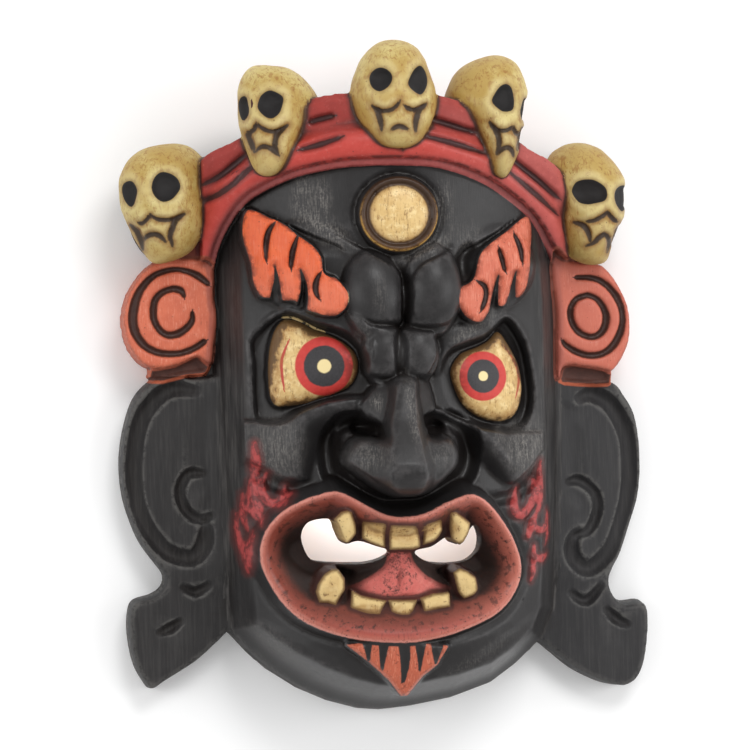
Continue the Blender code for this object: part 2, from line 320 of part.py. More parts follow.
class Relief:
    """height of the carving over the back plane on a regular grid"""

    def __init__(self, step):
        xs = np.arange(-123, 123.01, step)
        ys = np.arange(-156, 152.01, step)
        self.X, self.Y = np.meshgrid(xs, ys)
        self.H = np.full(self.X.shape, -6.0)
        self.step = step

    def window(self, pts, m):
        P = np.asarray([p[:2] for p in pts], float)
        c = (self.X[0] > P[:, 0].min() - m) & (self.X[0] < P[:, 0].max() + m)
        r = (self.Y[:, 0] > P[:, 1].min() - m) & (self.Y[:, 0] < P[:, 1].max() + m)
        j, i = np.nonzero(c)[0], np.nonzero(r)[0]
        return slice(i[0], i[-1] + 1), slice(j[0], j[-1] + 1)

    def dome(self, cx, cy, rx, ry, top, deep, turn=0.0, fillet=2.0, square=2.0, tilt=(0, 0)):
        w = self.window([(cx, cy)], 1.4 * max(rx, ry))
        X, Y, H = self.X[w], self.Y[w], self.H[w]
        c, s = math.cos(math.radians(turn)), math.sin(math.radians(turn))
        u = ((X - cx) * c + (Y - cy) * s) / rx
        v = (-(X - cx) * s + (Y - cy) * c) / ry
        r = np.sqrt(u * u + v * v)
        z = top - deep + deep * np.sqrt(np.clip(1 - r ** square, 0, 1)) - np.where(r > 1, (r - 1) * 120, 0)
        z = z + tilt[0] * (X - cx) + tilt[1] * (Y - cy)
        self.H[w] = np.where(r < 1.35, meld(H, z, fillet), H)

    def groove(self, pts, wide, deep, ends=0.25, where=None, one_side=0.0):
        """trench along a line; one_side keeps the bank on the left (+) or right (-) of the line sharp"""
        c = curve(pts, 5)
        w = self.window(c, wide + 1)
        D, S, _ = to_line(self.X[w], self.Y[w], c)
        t = np.clip(np.minimum(S, 1 - S) / ends, 0, 1) ** 0.5
        ww = wide * (0.45 + 0.55 * t)
        cut = deep * t * np.clip(1 - (D / ww) ** 2, 0, 1)
        if where is not None:
            cut = np.where(where[w], cut, 0)
        self.H[w] = self.H[w] - cut

    def cutaway(self, pts, wide, deep, side=1, ends=0.2, bank=0.5, run=1.6):
        """chisel cut along a line: upright at the line, running out on its left (+1) or right (-1)"""
        c = curve(pts, 5)
        w = self.window(c, wide + 1)
        D, S, G = side_of(self.X[w], self.Y[w], c)
        t = np.clip(np.minimum(S, 1 - S) / ends, 0, 1) ** 0.5
        out = np.clip(1 - D / (wide * (0.4 + 0.6 * t)), 0, 1) ** run
        self.H[w] -= deep * t * np.where(G * side > 0, out, np.clip(1 - D / bank, 0, 1))

    def ridge(self, pts, wide, high, ends=0.25):
        self.groove(pts, wide, -high, ends)


def head_block(R):
    X, Y = R.X, R.Y
    d, _, _ = depth_in(X, Y, HEAD)
    mid = np.interp(Y, [-160, -149, -142, -135, -125, -115, -100, -70, -50, -30, -15, 5, 20, 35, 50, 70, 95, 125],
                    [30, 46, 57, 64, 69, 71, 71, 71, 70, 66, 64, 65, 69, 73, 73, 72.5, 74, 72])
    edge = np.interp(Y, [-150, -110, -60, 0, 60, 90], [28, 41, 44, 44, 44, 44])
    t = np.abs(X - 2.0) / 66.5
    power = np.interp(Y, [-150, -100, -40, 20, 60], [2.3, 2.2, 1.9, 1.9, 2.0])
    front = mid - (mid - edge) * np.clip(t, 0, 1.3) ** power
    slope = np.interp(Y, [-150, -125, -100, 0, 100], [3.6, 3.2, 2.7, 2.55, 2.6])
    wall = 16 + np.where(d > 0, slope, 9.0) * d
    R.H = np.maximum(least(front, wall, 2.2), -6.0)
    R.d_head = d


def brow_region(R):
    # bone over each eye
    R.dome(-32, 46, 28, 22, 67, 12, -12, 6)
    R.dome(37, 44, 26, 21, 65, 12, 12, 6)
    # the forehead ends in a chiselled step over each brow
    R.cutaway([(-60, 73), (-52, 69.3), (-45.5, 65.5), (-39, 62), (-33, 59), (-26, 56), (-20.5, 52)], 7.5, 3.2, -1, 0.25)
    R.cutaway([(57, 67), (45.5, 60), (37, 55.5), (31, 52.5), (26.5, 48)], 7.0, 3.2, 1, 0.25)
    R.dome(31.5, 46.5, 5.0, 6.0, 60, 1.0, 0, 2.0)
    R.groove([(35, 55), (31, 51), (29, 46.5), (29.5, 40)], 4.0, 4.2, 0.3)
    # knotted muscles over the nose, run softly into the forehead
    R.dome(-10.3, 33.5, 13.5, 19.5, 82.0, 11.5, 6, 8.0, 2.2)
    R.dome(14.6, 35.0, 13.0, 20.0, 84.5, 12.5, -4, 8.0, 2.0)
    R.dome(-6.6, 8.8, 9.2, 14.0, 80.0, 9.0, 0, 5.5, 2.4)
    R.dome(7.6, 8.8, 9.6, 13.5, 81.5, 9.5, 0, 5.0, 2.3)
    # the folds that meet in the cleft between them
    R.cutaway([(-30, 64), (-19.6, 57.4), (-12, 52.6), (-5.7, 48.6), (-1.0, 45.6), (1.6, 41), (1.7, 32), (1.2, 21)], 5.5, 3.4, 1, 0.3, 0.7)
    R.cutaway([(25, 54), (18, 50.4), (10.7, 47), (6.9, 43.2), (5.2, 38.5), (5.2, 30), (4.9, 21)], 5.0, 3.4, -1, 0.3, 0.7)
    R.groove([(3.3, 43), (3.4, 32), (3.0, 20.5)], 2.4, 4.5, 0.25)
    R.groove([(-16.3, 24), (-10.8, 21.4), (0, 20.4), (5, 19.6), (12.8, 18.7), (20.6, 19.9), (25, 24)], 1.9, 3.4, 0.3)
    R.groove([(0.2, 19), (0.2, 9), (0.4, -2)], 3.4, 2.2, 0.2)
    R.cutaway([(14.0, 18.5), (15.9, 12), (15.3, 6), (13.4, 2), (11, -2)], 4.5, 3.0, 1, 0.25)
    R.cutaway([(-11.5, 18.5), (-13.2, 12), (-13.4, 6), (-12.4, -0.5)], 3.5, 2.0, -1, 0.3)
    R.groove([(-15.3, -1), (-7.1, -2.4), (1.5, -3.1), (10.1, -2.8), (16.6, -1.2)], 2.0, 4.0, 0.3)
    # lids: the fold over each eye, turned down beside the nose
    R.ridge([(-50, 28.5), (-38, 25.4), (-27, 23.8), (-18.5, 21), (-15.2, 14), (-15.0, 6), (-16.2, -3)], 4.4, 2.6, 0.2)
    R.ridge([(49, 26), (40, 21.5), (30.4, 17.6), (22.5, 13.4), (18.6, 7), (17, -1)], 4.8, 2.6, 0.2)


def nose(R):
    w = R.window(NOSE, 16)
    X, Y, H = R.X[w], R.Y[w], R.H[w]
    d, _, _ = depth_in(X, Y, curve(NOSE, 3, True))
    # flanks of the root: two facets that fall from the ridge to the cheeks
    ax = np.interp(Y, [-52, -38, -21, -5, 2], [-0.5, -1.2, -1.4, 1.2, 2.6])
    u = np.abs(X - ax)
    flank = np.interp(Y, [-20, -12, -8, 0], [82, 81, 79.5, 74]) - np.where(X < ax, 0.85, 1.15) * np.clip(u - 4, 0, 30)
    reach = np.where(X < ax, np.interp(Y, [-24, -19, -14, -4, 0], [0, 12, 17, 10, 6]), np.interp(Y, [-24, -19, -16, -4, 0], [0, 8, 16, 11, 6]))
    flank = np.where((Y < 0) & (Y > -24) & (u < reach + 3), flank - 6 * rise(reach, reach + 2.4, u), 0)
    H = meld(H, flank, 0.8)
    # body of the nose: a central plane with a hard edge each side, and the wings
    ridge = np.interp(Y, [-57, -54, -51, -48, -45, -41.5, -38, -30, -20, -3, 2], [84, 91, 96.8, 101, 103.8, 105.3, 104.8, 100.5, 94, 86, 81])
    half = np.interp(Y, [-56, -52, -48, -44, -38, -21, -10, -3, 2], [2.5, 4.6, 6.6, 7.6, 7.0, 5.2, 4.0, 3.4, 3.2])
    core = ridge - 0.7 * np.clip(u / half, 0, 1) ** 2 - 2.3 * np.clip(u - half, 0, 40)
    wing = np.interp(Y, [-52, -45, -36, -28, -26.5], [88, 92, 92.5, 89.5, 86]) - 0.028 * np.clip(u - 8, 0, 30) ** 2
    body = meld(core, np.where(Y < -24, wing, 0), 0.9)
    edge = np.sqrt(np.clip(1 - (1 - np.clip(d / 4.2, 0, 1)) ** 2, 0, 1))
    body = body - 9.0 * (1 - edge)
    R.H[w] = np.where(d > -0.5, meld(H, body, 0.6), H)
    # the deep fold from the hollow over each wing, down beside it and under the nose
    R.groove([(-9.5, -23), (-16, -21.5), (-23, -20.5), (-28.5, -25), (-30, -34), (-28, -44), (-20, -52),
              (-10, -57), (1, -58), (12, -56.5), (21, -51), (29, -43), (31, -33), (29, -25.5), (23, -21),
              (16, -22), (11.5, -23.5)], 5.2, 8.0, 0.06)
    R.groove([(-10, -24), (-15, -23.5), (-20, -24)], 3.4, 4.0, 0.3)
    R.groove([(11, -24), (16, -23.5), (20, -24)], 3.4, 4.0, 0.3)
    # scrolls over the wings and the cut under the left one
    R.ridge([(-26.5, -34), (-27.2, -27), (-23.5, -19.6), (-18.4, -17.4), (-12.8, -18.8)], 1.5, 1.1, 0.3)
    R.ridge([(9.8, -27), (12, -22.6), (16, -20.6), (20.5, -22.4), (22.8, -27)], 1.6, 1.2, 0.3)
    R.cutaway([(-25, -37.4), (-20.1, -40.6), (-15.4, -43.8), (-7.1, -49.8), (-1.2, -52.6), (7, -51.6)], 5.0, 3.0, -1, 0.12)


def cheeks(R):
    X, Y = R.X, R.Y
    # each cheek: a broad plane that faces out and up, a rounded crest and a short inner side
    for crest, s, out_slope, in_slope, top_line, low_line in (
            ([(-20, -12, 70), (-33, -14.5, 69), (-41, -20, 68), (-44.5, -30, 67), (-44.5, -41, 64)], -1, 0.92, 0.95,
             [(-70, -19), (-50, -19.5), (-42, -15), (-30, -11), (-15, -9)],
             [(-70, -33), (-60, -39), (-50, -44.5), (-40, -46.5), (-28, -48)]),
            ([(22, -16, 69), (34, -24, 68), (40, -31, 67.5), (47, -40, 66), (52, -48, 61)], 1, 0.95, 1.0,
             [(10, -12), (24, -19), (36, -25), (48, -27), (64, -27), (72, -26)],
             [(24, -50), (38, -52), (50, -50), (58, -44), (68, -34)])):
        c = curve(crest, 5)
        w = R.window(crest, 24)
        x, y, H = X[w], Y[w], R.H[w]
        D, S, zc = to_line(x, y, c)
        xc = np.interp(-y, -c[:, 1], c[:, 0])
        outer = (x - xc) * s > 0
        z = zc - np.where(outer, out_slope, in_slope) * (np.sqrt(D * D + 9) - 3)
        yt = np.interp(x, [p[0] for p in top_line], [p[1] for p in top_line])
        yl = np.interp(x, [p[0] for p in low_line], [p[1] for p in low_line])
        z = z - 14 * rise(-1.0, 3.0, y - yt) - 10 * rise(2.5, -3.0, y - yl)
        ok = (np.abs(x) < 66) & (D < 24)
        R.H[w] = np.where(ok, meld(H, z, 1.5), H)
    R.groove([(-66, -38), (-60, -43), (-50, -48), (-40, -50)], 3.5, 3, 0.2)
    R.groove([(36, -55.5), (48, -55), (58, -50), (66, -40)], 3.5, 3, 0.2)


def third_eye(R):
    w = R.window([(1.2, 68.3)], 26)
    X, Y, H = R.X[w], R.Y[w], R.H[w]
    r = np.hypot((X - 1.2) / 16.8, (Y - 68.3) / 16.0)
    H = np.where((r > 1.0) & (r < 1.3), H - 2.4 * (1 - np.abs(r - 1.08) / 0.22).clip(0, 1) ** 1.5, H)
    H = np.where(r < 1.06, np.maximum(H, 76.6 - 3.8 * rise(0.93, 1.06, r) - 1.2 * rise(0.95, 0.80, r)), H)
    H = np.where(np.abs(r - 0.80) < 0.06, H - 1.6 * (1 - ((r - 0.80) / 0.06) ** 2), H)
    H = np.where(r < 0.775, 74.2 + 3.4 * np.sqrt(np.clip(1 - (r / 0.79) ** 2, 0, 1)), H)
    R.H[w] = H


def eyes(R):
    for socket, outline, cx, gx, top, floor in (
            (SOCKET_L, EYE_L, -33, 0.36, 64.0, ([-62, -55, -38, -16], [40, 45, 55, 63])),
            (SOCKET_R, EYE_R, 37, -0.38, 63.0, ([19, 36, 53, 62], [63, 56, 46, 40]))):
        c = curve(socket, 4, True)
        w = R.window(c, 7)
        X, Y, H = R.X[w], R.Y[w], R.H[w]
        d, _, _ = depth_in(X, Y, c)
        base = np.interp(X, *floor)
        H = np.where(d > -0.8, np.minimum(H, base + (H - base) * (1 - rise(-0.8, 2.6, d))), H)
        e, _, _ = depth_in(X, Y, curve(outline, 4, True))
        ball = top + gx * (X - cx) - 6.0 * (1 - np.sqrt(np.clip(1 - (1 - np.clip(e / 12, 0, 1)) ** 2, 0, 1)))
        R.H[w] = np.where(e > -0.7, np.maximum(H, ball - 2.5 * (1 - rise(-0.7, 0.3, e))), H)
    # lids: the upper one hangs over the ball, with a crisp rim
    R.ridge([(-60, 12), (-56, 22), (-48, 27.8), (-40, 26), (-30, 22), (-20, 17.5), (-14, 9)], 2.2, 1.6, 0.2)
    R.ridge([(61, 0), (59, 12), (50, 23), (40, 16.5), (30, 13.5), (21, 9), (18, 0)], 2.2, 1.6, 0.2)


def tapered(X, Y, P, smooth=5):
    """how far inside a stroke whose points carry their own half width"""
    D, _, E = to_line(X, Y, curve(P, smooth))
    return E - D


def brows(R):
    for outline, xs, zs, cuts, gaps in ((BROW_L, [-65, -50, -35, -22], [55, 66, 75, 80], BROW_CUTS_L, BROW_GAPS[:2]),
                                        (BROW_R, [26, 36, 50, 63], [76, 72, 63, 53], BROW_CUTS_R, BROW_GAPS[2:])):
        c = curve(outline, 4, True)
        w = R.window(c, 3)
        X, Y = R.X[w], R.Y[w]
        d, _, _ = depth_in(X, Y, c)
        for q in gaps:
            d = np.minimum(d, -tapered(X, Y, q))
        body = np.maximum(np.interp(X, xs, zs), R.H[w] + 2.5)
        pad = body - 4.2 * (1 - np.sqrt(np.clip(1 - (1 - np.clip((d + 0.8) / 4.2, 0, 1)) ** 2, 0, 1)))
        R.H[w] = np.where(d > -0.8, np.maximum(R.H[w], pad), R.H[w])
        for q in cuts:
            R.groove(q, 1.7, 3.4, 0.12)


def tooth(R, outline, top, spine, edge=2.0):
    w = R.window(outline, 2)
    X, Y = R.X[w], R.Y[w]
    d, _, _ = depth_in(X, Y, outline)
    z = top - edge * (1 - np.sqrt(np.clip(1 - (1 - np.clip(d / edge, 0, 1)) ** 2, 0, 1)))
    if spine is not None:
        z = z + 1.0 - 0.62 * to_line(X, Y, np.array(spine))[0]
    # each tooth keeps the flats of the knife
    cx, cy = np.mean([p[0] for p in outline]), np.mean([p[1] for p in outline])
    k = math.sin(7.0 * cx + 3.0 * cy)
    z = z - 0.7 * np.abs((X - cx) * 0.22 * k + (Y - cy - 2.0 * k) * 0.30)
    R.H[w] = np.where(d > -0.4, np.maximum(R.H[w], z), R.H[w])


def mouth(R):
    w = R.window(LIP, 12)
    X, Y, H = R.X[w], R.Y[w], R.H[w]
    d, _, crest = depth_in(X, Y, curve(LIP, 3, True))
    # inside the crest the lip falls in a dish to the thin wood at the back of the mouth
    steep = np.interp(Y, [-112, -95, -75, -60], [0.75, 0.8, 1.05, 1.5])
    dish = np.interp(d * steep, [0, 1.5, 3.5, 7, 12, 18, 30], [-1.4, 0.0, -0.6, -3.6, -11, -20, -38])
    out = np.clip(-d, 0, 20)
    H = np.where(d <= 0, meld(H - 2.5 * rise(6, 0, out), crest - 1.4 - out * 3.4, 0.8), H)
    H = np.where(d > 0, np.maximum(crest + dish, MOUTH_FLOOR), H)
    R.H[w] = H
    R.d_lip = np.full(R.X.shape, -99.0)
    R.d_lip[w] = d
    # gum behind the upper teeth and bed of the lower teeth
    g, _, _ = to_line(X, Y, curve([(-23.5, -62.5), (-18, -65), (-8, -67), (6, -67), (16, -65), (22.5, -63)], 4))
    H = np.where((g < 4.4) & (d > 2.0), np.maximum(H, np.minimum(71.5 - 0.5 * g, crest - 3)), H)
    g, _, _ = to_line(X, Y, curve([(-34, -93), (-24, -99), (-12, -102), (0, -103), (12, -101), (22, -98), (29, -92)], 4))
    H = np.where(g < 5.5, np.maximum(H, 62 - 0.9 * g), H)
    R.H[w] = H
    # tongue: a pyramid that narrows to a neck under the middle tooth
    R.dome(-1.5, -93, 21.5, 11, 67.0, 14, 0, 2.0, 1.7)
    half = np.interp(Y, [-94, -86, -80, -75, -70], [18, 12, 7.5, 6.0, 8.0])
    u = np.abs(X + 0.5) / half
    neck = (d > 4) & (Y > -95) & (Y < -66) & (u < 1.35)
    R.H[w] = np.where(neck, meld(R.H[w], 68.0 - 6.5 * u ** 1.3 - 2.5 * rise(1.0, 1.35, u), 1.0), R.H[w])
    R.groove([(-2, -96), (-1.5, -88), (0.5, -79)], 2.2, 1.8, 0.4)
    for outline, top, spine in UPPER_TEETH + LOWER_TEETH:
        tooth(R, outline, top, spine)


def chin(R):
    w = R.window(BEARD, 6)
    X, Y, H = R.X[w], R.Y[w], R.H[w]
    b, _, _ = depth_in(X, Y, BEARD)
    lip = R.d_lip[w]
    top = np.interp(Y, [-139, -127, -116], [67.5, 73, 75.5]) - 0.05 * np.abs(X + 2)
    R.H[w] = np.where((b > -1) & (lip < 0), np.maximum(H, top - 3 * (1 - rise(-1, 1.6, b))), H)
    for q in BEARD_CUTS:
        R.groove([p[:2] for p in q], q[0][2] + 0.4, 1.1, 0.5)
    # jaw: a soft edge from the corner of the mouth down to the chin on each side
    R.ridge([(-70, -103), (-56, -112), (-40, -121), (-22, -131)], 5.0, 0.9, 0.3)
    R.ridge([(73, -100), (58, -112), (42, -121), (24, -131)], 5.0, 0.9, 0.3)
    for q in FLAMES:
        P = np.array(q)
        w = R.window(q, 3)
        f = tapered(R.X[w], R.Y[w], q)
        R.H[w] = R.H[w] + 0.9 * rise(-0.5, 0.7, f) - 0.7 * np.exp(-((f + 1.6) / 0.9) ** 2)


def around(pts, X, Y, cx=1.0, cy=0.0):
    """radius and height of a curve at the bearing of each place"""
    c = curve(pts, 8)
    a = np.arctan2(c[:, 0] - cx, c[:, 1] - cy)
    o = np.argsort(a)
    b = np.arctan2(X - cx, Y - cy)
    return (np.interp(b, a[o], np.hypot(c[:, 0] - cx, c[:, 1] - cy)[o]), np.interp(b, a[o], c[o, 2]))


def head_band(R):
    X, Y = R.X, R.Y
    r = np.hypot(X - 1.0, Y)
    r1, z1 = around(BAND_LOW, X, Y)
    r2, z2 = around(BAND_TOP, X, Y)
    width = np.clip(r2 - r1, 8, 60)
    s = r - r1
    scale = np.clip(width / 30.0, 0.6, 1.05)
    # from below: a narrow lip, a sunk line, the broad roll, and the panel that falls back to the crown
    lip = z1 + 1.6 * np.sqrt(np.clip(1 - ((s - 1.4) / 1.6) ** 2, 0, 1))
    roll = z1 - 0.5 + 6.5 * np.sqrt(np.clip(1 - ((s / scale - 9.0) / 7.0) ** 2, 0, 1))
    panel = z2 + (z1 + 4.0 - z2) * np.clip((r2 - r) / np.clip(width - 13 * scale, 1, 60), 0, 1) ** 0.85
    z = np.where(s < 3.0, lip, np.maximum(roll, np.where(s > 12.5 * scale, panel, 0)))
    z = z - 2.5 * (1 - rise(0, 3, r2 - r))
    on = (s > 0) & (r < r2 + 0.8) & (Y > 40) & (np.abs(X - 1) < 82)
    R.H = np.where(on, np.maximum(z, 18), R.H)
    R.on_band = on
    for q in BAND_LINES:
        R.groove(q, 2.1, 2.4, 0.10, on)


def ears(R):
    R.ear = np.zeros(R.X.shape, bool)
    for side, outline, helix, tragus, gouges in ((-1, EAR_L, HELIX_L, TRAGUS_L, GOUGES_L),
                                                 (1, EAR_R, HELIX_R, TRAGUS_R, GOUGES_R)):
        c = curve(outline, 4, True)
        E = Relief(R.step)
        d, _, _ = depth_in(E.X, E.Y, c)
        # the shell rises a little to the head, and the tail falls away from a ridge
        z = EAR_THICKNESS + np.interp(np.abs(E.X), [75, 95, 115], [5.0, 1.0, 0]) * rise(-104, -80, E.Y)
        if side < 0:
            g = (E.Y + 99) * 0.55 + (E.X + 80) * -0.83
        else:
            g = (E.Y + 103) * 0.55 + (E.X - 80) * 0.83
        E.H = z
        ax = -84 if side < 0 else 84
        ay = -53 if side < 0 else -62
        # hollow of the shell inside the helix line
        h, _, _ = depth_in(E.X, E.Y, np.vstack([curve(helix, 4), [(ax * 0.9, ay), (ax * 0.92, -12)]]))
        E.H = E.H - 1.2 * rise(0, 5, h) + 1.2 * rise(6, 16, h)
        E.groove(helix, 4.2, 4.4, 0.08)
        E.dome(ax * 0.96, ay, 8.5, 9.0, 20.5, 5, 0, 1.0)
        E.groove(tragus, 2.8, 3.2, 0.15)
        for q in gouges:
            E.groove(q, 2.9, 3.6, 0.5)
        round_off = 2.4 * (1 - np.sqrt(np.clip(1 - (1 - np.clip(d / 2.4, 0, 1)) ** 2, 0, 1)))
        E.H = np.where(d > 0, E.H - round_off, EAR_THICKNESS - 2.4 + 14.0 * np.clip(d, -3, 0))
        part = np.where(d > -2.2, E.H, -6.0)
        R.ear |= (part > R.H) & (d > -0.5)
        R.H = np.maximum(R.H, part)


def rosettes(R):
    for body, curls, recess in ROSETTES:
        w = R.window(body, 4)
        X, Y, H = R.X[w], R.Y[w], R.H[w]
        # wood under the rosette, between the ear and the head
        f, _, _ = depth_in(X, Y, recess)
        H = np.where(f > -1.5, np.maximum(H, 20.5), H)
        d, _, _ = depth_in(X, Y, curve(body, 3, True))
        z = ROSETTE_Z - 2.2 * (1 - np.sqrt(np.clip(1 - (1 - np.clip(d / 2.6, 0, 1)) ** 2, 0, 1)))
        H = np.where(d > -0.2, z, H)
        H = np.where((f > 0) & (d <= -0.2), np.minimum(H, 20.5 - 1.5 * np.clip(f, 0, 1)), H)
        R.H[w] = H
        for q in curls:
            w = R.window(q, 3)
            into = tapered(R.X[w], R.Y[w], q)
            R.H[w] -= 3.0 * rise(-0.7, 1.2, into)


def skull_feet(R):
    """wood that carries the outer skulls down to the back plane, and fills the seams at the temples"""
    X, Y = R.X, R.Y
    for cx, cy, s in ((-97.5, 77.0, 1), (92.0, 73.0, -1)):
        w = R.window([(cx, cy)], 30)
        r = np.hypot((X[w] - cx - 4 * s) / 16.5, (Y[w] - cy + 1) / 23.0)
        R.H[w] = np.maximum(R.H[w], np.where(r < 1.0, 26.0, 26.0 - (r - 1) * 330))
        # the foot of the band runs down between the skull and the rosette
        w = R.window([(cx + 12.5 * s, cy - 21)], 12)
        r = np.hypot((X[w] - cx - 12.5 * s) / 7.5, (Y[w] - cy + 21) / 6.5)
        R.H[w] = np.maximum(R.H[w], np.where(r < 1.0, 24.5, -6.0))
    seam = ((X > -84) & (X < -70) & (Y > -108) & (Y < 92)) | ((X > 72) & (X < 84) & (Y > -112) & (Y < 86))
    R.H = np.where(seam & (R.H < 14), 14.0, R.H)


def front_relief(step):
    R = Relief(step)
    head_block(R)
    brow_region(R)
    cheeks(R)
    nose(R)
    third_eye(R)
    eyes(R)
    brows(R)
    mouth(R)
    chin(R)
    R.H = np.where(R.d_head > -2.6, R.H, -6.0)
    head_band(R)
    ears(R)
    rosettes(R)
    skull_feet(R)
    R.solid = R.H.copy()
    for hole in (HOLE_L, HOLE_R):
        w = R.window(hole, 4)
        d, _, _ = depth_in(R.X[w], R.Y[w], hole)
        R.H[w] = np.where(d > 0, 26.0, R.H[w])
    R.H = np.clip(R.H, -6.0, 200.0)
    return R


# ---------------------------------------------------------------- solids
def slab_mesh(name, xs, ys, top, floor):
    """closed body between a surface over a grid and a flat floor"""
    bm = bmesh.new()
    ny, nx = top.shape
    up = [[bm.verts.new((xs[j] * MM, ys[i] * MM, top[i, j] * MM)) for j in range(nx)] for i in range(ny)]
    rim = [(0, j) for j in range(nx)] + [(i, nx - 1) for i in range(1, ny)] \
        + [(ny - 1, j) for j in range(nx - 2, -1, -1)] + [(i, 0) for i in range(ny - 2, 0, -1)]
    for i in range(ny - 1):
        for j in range(nx - 1):
            bm.faces.new((up[i][j], up[i][j + 1], up[i + 1][j + 1], up[i + 1][j]))
    low = [bm.verts.new((xs[j] * MM, ys[i] * MM, floor * MM)) for i, j in rim]
    n = len(rim)
    for k in range(n):
        i, j = rim[k]
        i2, j2 = rim[(k + 1) % n]
        bm.faces.new((up[i][j], low[k], low[(k + 1) % n], up[i2][j2]))
    bm.faces.new(low[::-1])
    bmesh.ops.recalc_face_normals(bm, faces=bm.faces[:])
    me = bpy.data.meshes.new(name)
    bm.to_mesh(me)
    bm.free()
    return me


def link(name, me):
    ob = bpy.data.objects.new(name, me)
    bpy.context.scene.collection.objects.link(ob)
    return ob


def skull_body(i):
    """rows of the skull: heights, left and right edge, depth in front and behind about its centre, and lean"""
    cx, cy, cz, outline, front, behind, chin = SKULLS[i]
    c = curve(outline, 12, True)
    lo, hi = c[:, 1].min(), c[:, 1].max()
    mid, half = (lo + hi) / 2, (hi - lo) / 2
    ys = mid + half * np.sin(np.linspace(-math.pi / 2, math.pi / 2, 241))
    left, right = np.zeros(241), np.zeros(241)
    n = len(c)
    for k, y in enumerate(np.clip(ys, lo + 0.004, hi - 0.004)):
        a, b = c, c[(np.arange(n) + 1) % n]
        hit = (a[:, 1] - y) * (b[:, 1] - y) <= 0
        a, b = a[hit], b[hit]
        x = a[:, 0] + (b[:, 0] - a[:, 0]) * (y - a[:, 1]) / np.where(np.abs(b[:, 1] - a[:, 1]) < 1e-9, 1e-9, b[:, 1] - a[:, 1])
        left[k], right[k] = x.min(), x.max()
    u = (ys - mid) / half
    s = np.sqrt(np.clip(1 - u * u, 0, 1))
    e = np.where(u < 0, np.clip(1 - np.abs(u) ** 2.5, 0, 1) ** 0.4, s)
    f = front * e * np.interp(u, [-1, -0.5, 0, 1], [0.78, 0.88, 1.0, 1.0])
    g = behind * s * np.interp(u, [-1, -0.5, 0.1, 1], [0.5, 0.6, 1.0, 1.0])
    # the face leans forward, its chin resting on the roll of the band
    lean = chin * np.clip((0.3 - u) / 1.3, 0, 1) ** 1.2
    return mid, half, ys, left, right, f, g, lean


def skull_sight(i, x, y, z):
    """place on the skull as seen from the viewer, slid back to the plane of the skull's centre"""
    cx, cy, cz = SKULLS[i][:3]
    k = 1 / (VIEWER[2] - cz)
    return x + z * (cx - VIEWER[0]) * k, y + z * (cy - VIEWER[1]) * k


def skull_leant(i, x, y, z, lean, way=1):
    """moves places on the skull forward by the lean, along the line of sight so that the seen outline stays"""
    cx, cy, cz = SKULLS[i][:3]
    k = lean * way / (VIEWER[2] - cz)
    return x - k * (cx - VIEWER[0]), y - k * (cy - VIEWER[1]), z + lean * way


def skull_marks(i, X, Y):
    """at places on a skull's face: depth carved away, and how far inside its painted pits and its dark cuts (mm)"""
    carve = np.zeros(X.shape)
    black = np.full(X.shape, -9.0)
    dark = np.full(X.shape, -9.0)
    face = SKULL_FACES[i]
    for pit in face["pits"]:
        d, _, _ = depth_in(X, Y, curve(pit, 4, True))
        black = np.maximum(black, d)
        carve += 2.6 * rise(-0.35, 1.5, d) + 1.0 * rise(1.5, 4.0, d)
        # the cheekbone and the brow swell a little round the pit
        carve -= 0.45 * np.exp(-((d + 2.6) / 1.7) ** 2)
    for arc in face["arcs"]:
        D, S, G = side_of(X, Y, curve(arc, 5))
        t = np.clip(np.minimum(S, 1 - S) / 0.22, 0, 1) ** 0.6
        below = G > 0
        ramp = np.clip(1 - D / (3.4 * (0.35 + 0.65 * t)), 0, 1)
        carve += np.where(below, 1.75 * t * ramp ** 0.8, 1.75 * t * np.clip(1 - D / 0.45, 0, 1))
        carve -= np.where(~below, 0.55 * t * np.clip(1 - np.abs(D - 2.2) / 2.2, 0, 1), 0)
        dark = np.maximum(dark, np.where(below, 1.55 * t - D, 0.10 - D))
    for groove in face["grooves"]:
        D, S, G = side_of(X, Y, curve(groove, 5))
        t = np.clip(np.minimum(S + 0.05, 1 - S) / 0.35, 0, 1) ** 0.6
        ww = 1.35 * (0.4 + 0.6 * t)
        carve += 1.9 * t * np.clip(1 - (D / (ww + 0.4)) ** 2, 0, 1)
        dark = np.maximum(dark, ww - 0.15 - D)
    D, S, G = side_of(X, Y, curve(face["mouth"], 5))
    t = np.clip(np.minimum(S, 1 - S) / 0.3, 0, 1) ** 0.6
    ww = 1.15 * (0.35 + 0.65 * t)
    carve += 1.6 * t * np.clip(1 - (D / (ww + 0.3)) ** 2, 0, 1)
    dark = np.maximum(dark, ww - 0.1 - D)
    # lips stand a little proud of the mouth
    carve -= 0.35 * np.exp(-((D - 2.4) / 1.1) ** 2) * t
    return carve, black, dark


